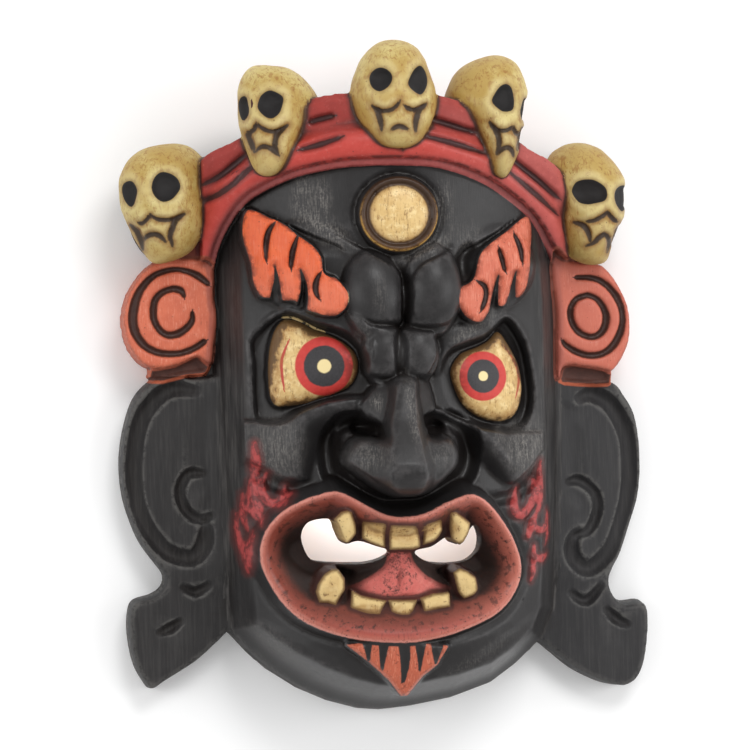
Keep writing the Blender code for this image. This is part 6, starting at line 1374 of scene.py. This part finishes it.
def painted_wood(part="face"):
    """the paint of the face, that of the five skulls, or the bare wood of the back"""
    N = Nodes("painted_wood_" + part)
    attr, step, mix, mul, add, less, most = N.attr, N.step, N.mix, N.mul, N.add, N.less, N.most
    X, Y = attr("x"), attr("y")
    fine, wide, broad = attr("fine"), attr("wide"), attr("broad")
    n_big = N.noise(0.035, 3)
    n_mid = N.noise(0.16, 3, 0.6)
    n_dab = N.noise(0.45, 4, 0.65, off=(31, 7, 3))
    n_spot = N.noise(0.26, 3, 0.6, off=(11, 71, 23))
    n_fine = N.noise(1.1, 3, 0.65, off=(5, 50, 9))
    n_grit = N.noise(3.2, 2, 0.5)
    grain = N.noise(1.0, 3, 0.6, stretch=(0.85, 0.05, 0.5), warp=0.0)
    grain_w = N.noise(1.0, 2, 0.55, stretch=(0.22, 0.018, 0.2), off=(8, 2, 5), warp=0.0)
    brush = N.noise(1.0, 3, 0.6, stretch=(1.9, 0.16, 1.2), off=(3, 17, 0), warp=0.5)
    wob = mul(add(n_dab, -0.5), 0.9)
    sway = lambda k: wob if k == 1 else mul(wob, k)
    edge = lambda d, w=0.22, k=1: step(add(d, sway(k)), -w, w)
    size = lambda v: N.math('ABSOLUTE', v)
    pit_d, pit_r = N.cells(0.33)
    specks = mul(step(pit_d, 0.16, 0.05), step(pit_r, 0.80, 0.84))
    small_d, small_r = N.cells(0.9, off=(9, 4, 2))
    small = mul(step(small_d, 0.24, 0.08), step(small_r, 0.86, 0.90))
    # the hollow masks darken the paint in the carved hollows, as brown glaze and painted shade; the crest masks pick
    # out the high places
    hollow_f = step(fine, 0.03, 0.22)
    hollow_w = step(wide, 0.05, 0.75)
    hollow_b = step(broad, 0.6, 4.5)
    crest_f = step(fine, -0.03, -0.16)
    crest_w = step(wide, -0.12, -0.70)

    def thin(name, soft=0.2, k=0.5):
        """mask of thin strokes"""
        into = add(attr(name + "_w"), mul(size(attr(name)), -1.0), sway(k))
        return mul(step(into, -soft, soft), step(attr(name + "_in"), -1.3, -0.8))

    rub, streak = attr("rub"), attr("streak")

    def finished(col, rough):
        N.put(N.bsdf.inputs["Base Color"], col)
        N.put(N.bsdf.inputs["Roughness"], rough)
        N.bsdf.inputs["Metallic"].default_value = 0.0
        N.bsdf.inputs["Specular IOR Level"].default_value = 0.32
        height = mul(brush, 0.10)
        bump = N.t.nodes.new("ShaderNodeBump")
        bump.inputs["Strength"].default_value = 0.72
        bump.inputs["Distance"].default_value = 0.001
        N.put(bump.inputs["Height"], height)
        N.put(N.bsdf.inputs["Normal"], bump.outputs[0])
        return N.mat

    if part == "skulls":
        # bone of the skulls: cream, paler on the swellings as a painted highlight, darker amber towards the bottom as
        # painted shade, and brown glaze and painted shade in the hollows and at the foot
        bone = mix(n_mid, lin(178, 154, 86), lin(204, 188, 126))
        bone = mix(mul(step(add(n_big, mul(n_dab, 0.3)), 0.52, 0.72), 0.75), bone, lin(164, 130, 60))
        streaky = N.noise(1.0, 3, 0.6, stretch=(0.55, 0.20, 0.5), off=(13, 3, 29), warp=1.2)
        bone = mix(mul(step(add(streaky, mul(n_dab, 0.3)), 0.64, 0.82), 0.8), bone, lin(146, 102, 48))
        # paler on the swellings: painted highlight
        bone = mix(mul(crest_w, 0.5), bone, lin(216, 204, 148))
        # darker amber towards the bottom of each skull: painted shade
        bone = mix(mul(step(attr("skull_up"), 0.25, -1.0), 0.45), bone, lin(160, 124, 60))
        # darker in the hollows and at the foot against the band: brown glaze and painted shade
        bone = mix(mul(hollow_w, 0.85), bone, lin(120, 78, 34))
        bone = mix(mul(step(add(attr("contact"), sway(4)), 5.0, 0.3), 0.6), bone, lin(116, 76, 40))
        bone = mix(mul(step(add(attr("contact"), sway(2)), 1.6, 0.3), 0.85), bone, lin(58, 36, 26))
        bone = mix(mul(hollow_f, 0.8), bone, lin(74, 48, 26))
        bone = mix(mul(step(add(attr("cut"), sway(2)), -2.9, 0.2), 0.65), bone, lin(120, 80, 40))
        bone = mix(mul(most(specks, small), 0.75), bone, lin(92, 62, 34))
        bone = mix(mul(step(add(attr("cut"), wob), -0.45, 0.35), 0.93), bone, lin(42, 30, 22))
        bone = mix(mul(step(add(attr("pit"), sway(2)), -2.0, 0.0), 0.5), bone, lin(110, 76, 40))
        bone = mix(step(attr("pit"), -0.15, 0.15), bone, mix(n_mid, lin(22, 20, 20), lin(36, 33, 33)))
        in_pit = step(attr("pit"), -0.15, 0.15)
        return finished(bone, N.blend(in_pit, N.blend(n_fine, 0.42, 0.6), 0.7))

    if part == "back":
        # the back: bare wood, stained by smoke and handling
        wood = mix(grain, lin(128, 88, 54), lin(166, 122, 80))
        wood = mix(mul(step(brush, 0.5, 0.7), 0.5), wood, lin(98, 64, 38))
        # darker in the gouged hollows: stain and painted shade
        wood = mix(mul(hollow_w, 0.5), wood, lin(84, 56, 34))
        wood = mix(mul(step(n_big, 0.5, 0.65), 0.4), wood, lin(92, 68, 48))
        return finished(wood, N.blend(n_fine, 0.7, 0.85))

    # black ground, darker and browner in the hollows as glaze and painted shade, rubbed grey on the high places
    black = mix(n_mid, lin(25, 23, 23), lin(38, 36, 36))
    black = mix(mul(n_big, 0.35), black, lin(50, 49, 50))
    black = mix(mul(most(hollow_w, mul(hollow_b, 0.8)), 0.8), black, lin(22, 17, 15))
    dry = step(add(brush, mul(n_fine, 0.5), mul(n_dab, 0.5)), 0.92, 1.22)
    worn = mul(most(mul(crest_f, 0.8), mul(crest_w, 0.8)), step(add(n_spot, mul(n_fine, 0.3)), 0.48, 0.86))
    ear_here = step(attr("ear"), -0.5, 0.5)
    black = mix(mul(worn, less(mul(ear_here, 0.7)), 0.45), black, lin(98, 95, 95))
    # grey and pale over the patches: rubbed paint and dry brushing, and painted highlight on the cheeks, the nose and a
    # knot
    black = mix(mul(rub, 0.34), black, lin(80, 78, 78))
    black = mix(mul(rub, dry, 0.7), black, lin(138, 133, 127))
    faint = mul(streak, less(mul(ear_here, 0.72)))
    black = mix(mul(faint, step(grain_w, 0.36, 0.62), 0.32), black, lin(80, 78, 77))
    black = mix(mul(faint, step(grain, 0.46, 0.66), 0.35), black, lin(98, 95, 92))
    black = mix(mul(faint, step(grain, 0.46, 0.34), 0.5), black, lin(26, 24, 23))
    black = mix(mul(ear_here, step(X, 0.0, 60.0), 0.12), black, lin(74, 75, 79))
    # the very edges are rubbed to a pale line
    # on the ears this pale line along the crests is also a painted highlight on the rims
    black = mix(mul(crest_f, step(n_dab, 0.34, 0.52), ear_here, 0.35), black, lin(112, 110, 106))

    # red band: brighter on the roll as a painted highlight, darker above and below it, pinker to the right
    band_s = attr("band_s")
    roll_highlight = mul(step(band_s, 3.4, 5.5), step(band_s, 17.5, 12.0))
    red = mix(n_mid, lin(126, 42, 36), lin(162, 58, 52))
    red = mix(mul(roll_highlight, 0.75), red, mix(n_spot, lin(176, 54, 44), lin(206, 82, 74)))
    red = mix(mul(step(X, -5.0, 75.0), 0.55), red, mix(n_mid, lin(160, 74, 70), lin(206, 116, 110)))
    red = mix(mul(step(n_dab, 0.54, 0.78), 0.4), red, lin(206, 112, 104))
    # darker in the hollows: glaze and painted shade
    red = mix(mul(hollow_w, 0.7), red, lin(74, 30, 27))
    red = mix(mul(hollow_f, 0.6), red, lin(58, 28, 26))
    red = mix(mul(step(band_s, 3.4, 2.0), 0.7), red, mix(n_dab, lin(112, 54, 52), lin(158, 82, 80)))
    # dark sunk line under the roll: glaze and painted shade
    red = mix(mul(step(size(add(band_s, -3.6)), 1.0, 0.2), step(n_spot, 0.36, 0.60), step(X, -74.0, -40.0, 0.35, 0.75)), red, lin(78, 38, 36))
    red = mix(mul(step(band_s, 7.0, 3.0), step(X, -30.0, -70.0), 0.5), red, mix(n_spot, lin(112, 58, 56), lin(168, 96, 94)))
    red = mix(mul(most(small, specks), 0.6), red, lin(84, 38, 34))
    slot_far = mul(step(attr("slot_in"), -2.2, 0.0), 0.55)
    red = mix(slot_far, red, lin(92, 40, 38))
    red = mix(mul(thin("slot", 0.35, 1), 0.9), red, lin(52, 28, 28))
    # darker round the foot of each skull: glaze and painted shade
    red = mix(mul(step(add(attr("skull"), sway(2)), -2.2, -0.4), 0.55), red, lin(76, 38, 33))

    # orange of the discs and brows
    disc = mix(n_mid, lin(182, 88, 64), lin(216, 118, 88))
    disc = mix(mul(step(add(brush, mul(n_dab, 0.5)), 0.76, 1.0), 0.45), disc, lin(230, 160, 136))
    disc = mix(mul(step(add(brush, mul(n_dab, 0.4)), 0.58, 0.44), 0.45), disc, lin(140, 70, 52))
    disc = mix(mul(step(attr("disc"), 4.2, 2.6), step(size(X), 82.0, 78.5), 0.6), disc, mix(n_dab, lin(104, 54, 48), lin(160, 88, 78)))
    disc = mix(mul(step(X, 0.0, 60.0), 0.5), disc, lin(184, 104, 92))
    right_side = step(X, -4.0, 14.0)
    brow = mix(n_mid, lin(198, 78, 42), lin(226, 108, 62))
    brow = mix(mul(step(Y, 56.0, 34.0), less(right_side), 0.5), brow, mix(n_spot, lin(196, 92, 66), lin(226, 140, 112)))
    brow = mix(mul(right_side, 0.8), brow, mix(n_mid, lin(180, 86, 64), lin(206, 120, 98)))
    brow = mix(mul(step(add(brush, mul(n_dab, 0.4)), 0.70, 0.94), add(mul(right_side, 0.3), 0.2)), brow, lin(224, 152, 128))
    brow = mix(mul(step(brush, 0.46, 0.30), add(mul(right_side, 0.3), 0.25)), brow, lin(128, 56, 38))
    # brown glaze and painted shade in the hollows of the discs and brows
    glaze_and_shade_tone = lin(72, 36, 26)
    glaze_and_shade = most(mul(hollow_f, 0.9), mul(hollow_w, 0.8))
    disc = mix(glaze_and_shade, disc, glaze_and_shade_tone)
    disc = mix(mul(thin("curl", 0.35, 1), 0.94), disc, mix(n_dab, lin(38, 29, 27), lin(74, 46, 38)))
    disc = mix(mul(step(attr("disc"), 1.6, 0.2), step(n_dab, 0.36, 0.56), 0.5), disc, lin(112, 56, 40))
    brow = mix(mul(glaze_and_shade, 0.85), brow, glaze_and_shade_tone)
    brow = mix(mul(step(add(attr("brow"), sway(2)), 1.3, 0.1), step(n_spot, 0.36, 0.55), 0.75), brow, lin(84, 42, 32))
    brow = mix(mul(step(attr("brow"), 3.4, 0.4), step(add(n_spot, mul(brush, 0.4)), 0.66, 0.80), 0.6), brow, lin(140, 60, 40))
    brow = mix(mul(most(specks, small), 0.7), brow, lin(100, 46, 32))
    brow = mix(mul(thin("brow_cut", 0.25, 0.5), 0.97), brow, mix(n_dab, lin(34, 24, 23), lin(58, 36, 32)))
    disc = mix(mul(most(specks, small), 0.6), disc, lin(104, 56, 42))

    # gold of the eyes and teeth, speckled and glazed brown, darker in the hollows as glaze and painted shade
    gold = mix(n_mid, lin(188, 148, 86), lin(228, 200, 142))
    gold = mix(mul(step(n_spot, 0.46, 0.66), 0.65), gold, lin(236, 212, 158))
    gold = mix(mul(step(add(n_dab, mul(n_spot, 0.5)), 0.78, 0.98), 0.6), gold, lin(150, 106, 54))
    gold = mix(mul(step(add(brush, mul(n_dab, 0.5)), 0.78, 0.98), 0.6), gold, lin(122, 84, 42))
    # darker in the hollows: glaze and painted shade
    gold = mix(mul(hollow_f, 0.85), gold, lin(78, 50, 28))
    gold = mix(mul(hollow_w, 0.7), gold, lin(106, 70, 36))

    # lips, tongue, beard and the red flames
    lip_d = attr("lip")
    lip = mix(n_mid, lin(118, 56, 45), lin(158, 80, 66))
    lip = mix(mul(step(X, 6.0, 56.0), 0.6), lip, mix(n_mid, lin(168, 88, 72), lin(196, 116, 98)))
    lip = mix(mul(step(Y, -96.0, -112.0), step(size(add(X, -4.0)), 46.0, 20.0), 0.65), lip, mix(n_dab, lin(138, 52, 45), lin(182, 84, 72)))
    # paler along the crest of the lip: painted highlight
    lip = mix(mul(step(add(lip_d, sway(2)), 3.6, 1.0), 0.6), lip, mix(n_spot, lin(178, 96, 82), lin(208, 134, 116)))
    lip = mix(mul(step(add(lip_d, sway(2)), 1.4, 0.5), 0.5), lip, lin(220, 150, 136))
    lip = mix(mul(step(n_dab, 0.58, 0.76), 0.3), lip, lin(200, 128, 108))
    lip = mix(mul(step(add(brush, mul(n_dab, 0.3)), 0.60, 0.42), 0.55), lip, lin(88, 42, 35))
    lip = mix(mul(step(add(lip_d, sway(4)), 3.2, 9.0), 0.7), lip, mix(n_dab, lin(74, 40, 33), lin(120, 64, 52)))
    lip = mix(mul(step(add(n_spot, mul(n_dab, 0.4)), 0.72, 0.86), step(lip_d, 1.6, 4.0), 0.7), lip, lin(62, 37, 31))
    # darker in the hollows: glaze and painted shade
    lip = mix(mul(most(hollow_f, hollow_w), 0.7), lip, lin(66, 36, 30))
    chips = mul(step(add(n_fine, mul(n_dab, 0.8)), 1.0, 1.1), step(n_spot, 0.48, 0.58))
    lip = mix(mul(most(chips, small), 0.85), lip, lin(46, 31, 28))
    tongue = mix(n_dab, lin(172, 70, 64), lin(222, 128, 118))
    tongue = mix(mul(step(X, 2.0, 14.0), step(n_spot, 0.40, 0.60), 0.5), tongue, lin(226, 142, 130))
    mottle = add(mul(n_fine, 0.6), n_dab, mul(step(size(add(X, 3.5)), 13.0, 2.0), 0.12), mul(step(Y, -80.0, -70.0), 0.14))
    tongue = mix(mul(step(mottle, 0.84, 1.14), 0.95), tongue, lin(58, 34, 32))
    tongue = mix(mul(step(size(add(X, 1.0)), 13.0, 20.0), 0.8), tongue, lin(70, 36, 33))
    # darker in the hollows: glaze and painted shade
    tongue = mix(mul(most(hollow_f, hollow_w), 0.8), tongue, lin(84, 34, 30))
    tongue = mix(mul(step(attr("tongue"), 2.2, 0.4), 0.55), tongue, lin(96, 44, 38))
    flame = mix(n_dab, lin(128, 44, 43), lin(196, 82, 80))
    flame = mix(mul(step(add(n_spot, mul(n_dab, 0.4)), 0.74, 0.58), 0.7), flame, lin(78, 34, 33))
    flame = mix(mul(step(attr("flame"), 0.7, 0.1), step(X, 0.0, 1.0, 1.0, 0.6), 0.45), flame, lin(70, 32, 31))
    # darker in the hollows: glaze and painted shade
    flame = mix(mul(hollow_f, 0.8), flame, lin(58, 30, 29))
    beard = mix(n_mid, lin(160, 78, 56), lin(192, 100, 74))
    beard = mix(mul(step(brush, 0.5, 0.7), 0.5), beard, lin(224, 146, 118))
    beard = mix(mul(most(small, mul(step(n_dab, 0.44, 0.36), 0.6)), 0.8), beard, lin(64, 38, 32))

    col = black
    col = mix(edge(attr("band"), 0.2, 0.5), col, red)
    m_lip = edge(lip_d, 0.25, 1)
    # the flames lie in a dim red wash
    col = mix(mul(step(add(attr("flame"), sway(2)), -3.0, -0.3), 0.6), col, lin(92, 42, 40))
    m_flame = edge(add(attr("flame"), 0.15), 0.3, 1)
    col = mix(mul(m_flame, 0.92), col, flame)
    col = mix(mul(edge(attr("beard"), 0.3, 1), less(edge(attr("beard_cut"), 0.3, 1))), col, beard)
    # the mouth darkens towards the holes, sooner above than below the lower teeth
    low = step(Y, -92.0, -99.0, 0.0, 9.0)
    into_mouth = add(lip_d, mul(low, -1.0), sway(4))
    col = mix(m_lip, col, lip)
    col = mix(mul(m_lip, step(into_mouth, 6.5, 11.5), 0.96), col, mix(n_dab, lin(30, 23, 21), lin(52, 38, 33)))
    m_brow = edge(attr("brow"), 0.2, 0.5)
    col = mix(m_brow, col, brow)
    m_tongue = edge(attr("tongue"), 0.5, 1)
    col = mix(m_tongue, col, tongue)
    m_tooth = edge(attr("tooth"), 0.15, 0.5)
    by_tooth = mul(step(add(attr("tooth"), wob), -2.6, -0.5), most(m_lip, m_tongue))
    col = mix(mul(by_tooth, 0.88), col, mix(n_dab, lin(44, 26, 22), lin(84, 46, 38)))
    tooth = mix(0.45, gold, lin(150, 114, 66))
    # paler on the swellings of the teeth: painted highlight
    tooth = mix(mul(crest_w, 0.6), tooth, lin(222, 196, 138))
    tooth = mix(mul(step(add(attr("tooth"), sway(2)), 1.7, 0.2), 0.8), tooth, lin(88, 56, 28))
    tooth = mix(mul(step(add(mul(n_fine, 0.5), n_dab), 0.84, 0.98), 0.75), tooth, lin(92, 60, 32))
    col = mix(m_tooth, col, tooth)
    # eyes
    eye_d = attr("eye")
    m_eye = edge(eye_d, 0.2, 0.5)
    eye = mix(thin("eye_red", 0.25, 0.5), gold, lin(176, 58, 48))
    # brown glaze round the edge of each eye, wider under the upper lid, where it is also painted shade
    rim_d = add(eye_d, mul(add(n_spot, -0.5), 7.0), mul(step(Y, -8.0, 14.0), -1.6), mul(step(size(add(X, 12.0)), 44.0, 36.0), -0.6))
    eye = mix(mul(step(rim_d, 4.6, 0.4), 0.6), eye, mix(n_dab, lin(110, 66, 28), lin(170, 116, 52)))
    eye = mix(mul(step(rim_d, 1.5, -0.2), 0.8), eye, lin(62, 40, 23))
    rings = []
    for (cx, cy, rx, ry), pupil, dot, side in zip(IRISES, (0.70, 0.68), (0.235, 0.20), (1, -1)):
        rr = add(N.ring(cx, cy, rx, ry), sway(0.05))
        rings.append(rr)
        red_i = mix(n_dab, lin(174, 40, 36), lin(208, 72, 64))
        # towards the nose the iris sinks into a dark glaze
        inner = step(mul(add(X, -cx), side), 4.0, 13.5)
        red_i = mix(mul(inner, step(n_spot, 0.30, 0.55), 0.75), red_i, lin(84, 30, 26))
        eye = mix(mul(inner, 0.55, step(rr, 1.7, 0.9)), eye, lin(92, 56, 30))
        eye = mix(step(rr, 1.03, 0.97), eye, red_i)
        eye = mix(step(rr, pupil + 0.03, pupil - 0.03), eye, mix(n_fine, lin(34, 32, 34), lin(66, 64, 66)))
        eye = mix(step(rr, dot + 0.03, dot - 0.03), eye, lin(232, 212, 156))
    col = mix(m_eye, col, eye)
    col = mix(mul(step(add(attr("chip"), wob), -0.1, 0.3), step(n_dab, 0.40, 0.52), 0.85), col, lin(198, 172, 118))
    # third eye: a speckled gold boss in a brown ring edged with gold
    rr = N.ring(*THIRD)
    rw = add(rr, sway(0.05))
    m_third = step(rw, 1.03, 0.98)
    lit = step(Y, 84.0, 58.0)
    third = mix(n_dab, lin(38, 27, 20), lin(76, 53, 37))
    third = mix(mul(step(add(rw, sway(0.05)), 0.88, 1.0), lit, 0.7), third, mix(n_dab, lin(112, 76, 42), lin(160, 118, 70)))
    third = mix(mul(step(size(add(rr, -0.985)), 0.03, 0.01), lit, step(n_dab, 0.40, 0.52), 0.9), third, lin(216, 170, 92))
    third = mix(step(rw, 0.81, 0.75), third, gold)
    third = mix(mul(step(add(n_fine, mul(brush, 0.6), mul(n_spot, 0.3)), 0.98, 1.40), step(rw, 0.78, 0.74), 0.9), third, lin(112, 76, 38))
    third = mix(mul(step(add(rr, sway(0.05)), 0.60, 0.78), step(rw, 0.84, 0.80), 0.6), third, lin(142, 98, 48))
    third = mix(mul(step(size(add(rw, -0.80)), 0.09, 0.02), 0.85), third, lin(48, 33, 24))
    m_third = mul(m_third, step(attr("skull"), 0.3, -0.3))
    col = mix(m_third, col, third)
    # discs, and the dark recess under them with its orange lip
    rec = attr("recess")
    col = mix(mul(step(rec, -2.6, -1.8), 0.9), col, mix(n_dab, lin(150, 72, 48), lin(206, 106, 72)))
    col = mix(mul(step(add(rec, wob), -1.1, -0.4), 0.95), col, mix(n_dab, lin(36, 26, 24), lin(84, 52, 44)))
    foot = mul(step(size(add(size(X), -82.5)), 8.5, 6.5), step(size(add(Y, -58.0)), 8.5, 6.5))
    col = mix(mul(foot, less(edge(attr("band"), 0.2, 0.5)), 0.9), col, mix(n_dab, lin(92, 46, 38), lin(156, 80, 62)))
    m_disc = mul(step(attr("disc"), -1.7, -1.1), step(attr("recess"), 0.4, -0.2))
    col = mix(m_disc, col, disc)
    # a dark line round the skulls where they meet the face and band: glaze and painted shade
    col = mix(mul(step(add(attr("skull"), wob), -0.9, -0.1), 0.85), col, lin(58, 34, 26))
    rough = N.blend(n_dab, 0.30, 0.46)
    rough = N.blend(mul(most(rub, streak), 0.6), rough, 0.55)
    rough = N.blend(step(attr("head_d"), 9.0, 2.0), rough, 0.62)
    rough = N.blend(step(lip_d, 3.0, 9.0), rough, 0.72)
    rough = N.blend(step(most(attr("disc"), most(attr("brow"), attr("eye"))), 0.0, 0.6), rough, N.blend(n_fine, 0.38, 0.54))
    return finished(col, rough)


# ---------------------------------------------------------------- stage
def area_light(name, at, aim, size, power, colour=(1, 1, 1)):
    data = bpy.data.lights.new(name, 'AREA')
    data.shape = 'RECTANGLE'
    data.size, data.size_y = size
    data.energy = power
    data.color = colour
    ob = bpy.data.objects.new(name, data)
    bpy.context.scene.collection.objects.link(ob)
    at, aim = Vector(at), Vector(aim)
    ob.matrix_world = Matrix.Translation(at) @ (aim - at).to_track_quat('-Z', 'Y').to_matrix().to_4x4()
    return ob


def stage():
    N = Nodes("floor_paper")
    tone = N.noise(0.01, 3)
    N.put(N.bsdf.inputs["Base Color"], N.mix(tone, (0.95, 0.95, 0.95, 1), (0.97, 0.97, 0.97, 1)))
    N.bsdf.inputs["Roughness"].default_value = 0.8
    bm = bmesh.new()
    bmesh.ops.create_grid(bm, x_segments=1, y_segments=1, size=2.5)
    me = bpy.data.meshes.new("floor")
    bm.to_mesh(me)
    bm.free()
    me.materials.append(N.mat)
    floor = link("floor", me)
    floor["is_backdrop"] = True
    world = bpy.data.worlds.new("studio")
    world.use_nodes = True
    bg = world.node_tree.nodes["Background"]
    bg.inputs["Color"].default_value = (1.0, 1.0, 1.0, 1.0)
    bg.inputs["Strength"].default_value = 0.72
    bpy.context.scene.world = world
    area_light("key", (0.25, 0.75, 1.05), (0, 0.02, 0.05), (0.5, 0.4), 6.0)
    area_light("side_right", (1.0, 0.05, 0.75), (0, 0, 0.05), (0.5, 0.9), 4.4)
    area_light("side_left", (-1.05, 0.10, 0.75), (0, 0, 0.05), (0.5, 0.9), 3.6)
    # a little light in the hollow, so that the floor shows pale through the mouth
    area_light("under", (0.002, -0.01, 0.034), (0.002, -0.01, 0.0), (0.05, 0.07), 0.14)
    cam = bpy.data.cameras.new("camera")
    cam.lens, cam.sensor_width, cam.sensor_fit = 160.0, 36.0, 'HORIZONTAL'
    cam.clip_end = 10.0
    ob = bpy.data.objects.new("camera", cam)
    bpy.context.scene.collection.objects.link(ob)
    r = Vector((0.99221, -0.02618, 0.12183))
    u = Vector((0.02598, 0.99966, 0.00319))
    b = r.cross(u).normalized()
    u = b.cross(r).normalized()
    ob.matrix_world = Matrix(((r.x, u.x, b.x, (VIEWER[0] + SHIFT[0]) * MM), (r.y, u.y, b.y, (VIEWER[1] + SHIFT[1]) * MM), (r.z, u.z, b.z, VIEWER[2] * MM), (0, 0, 0, 1)))
    bpy.context.scene.camera = ob
    bpy.context.scene.view_settings.view_transform = 'Standard'


def paint_it(me):
    for part in ("face", "skulls", "back"):
        me.materials.append(painted_wood(part))
    corners = np.zeros(len(me.polygons) * 3, np.int32)
    me.loops.foreach_get("vertex_index", corners)
    slot = np.zeros(len(me.polygons), np.int32)
    for k, name in ((1, "d_skull"), (2, "d_back")):
        v = np.zeros(len(me.vertices), np.float32)
        me.attributes[name].data.foreach_get("value", v)
        slot[(v[corners].reshape(-1, 3) > 0).all(1)] = k
    me.polygons.foreach_set("material_index", slot)


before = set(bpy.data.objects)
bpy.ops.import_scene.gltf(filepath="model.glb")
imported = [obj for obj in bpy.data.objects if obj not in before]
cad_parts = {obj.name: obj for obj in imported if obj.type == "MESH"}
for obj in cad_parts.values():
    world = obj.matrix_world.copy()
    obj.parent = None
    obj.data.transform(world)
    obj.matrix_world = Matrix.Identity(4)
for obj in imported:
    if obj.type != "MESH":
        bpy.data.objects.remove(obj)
cad_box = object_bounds()
mask = link("mask_painted", build_mask())
paint_it(mask.data)
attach(mask, "root")
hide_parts("bhairab_mask")
stage()
as_list = lambda v: [[round(float(c), 6) for c in q] if hasattr(q, "__len__") else float(q) for q in v]
sizes = {"cad": as_list(cad_box), "visual": as_list(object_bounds())}
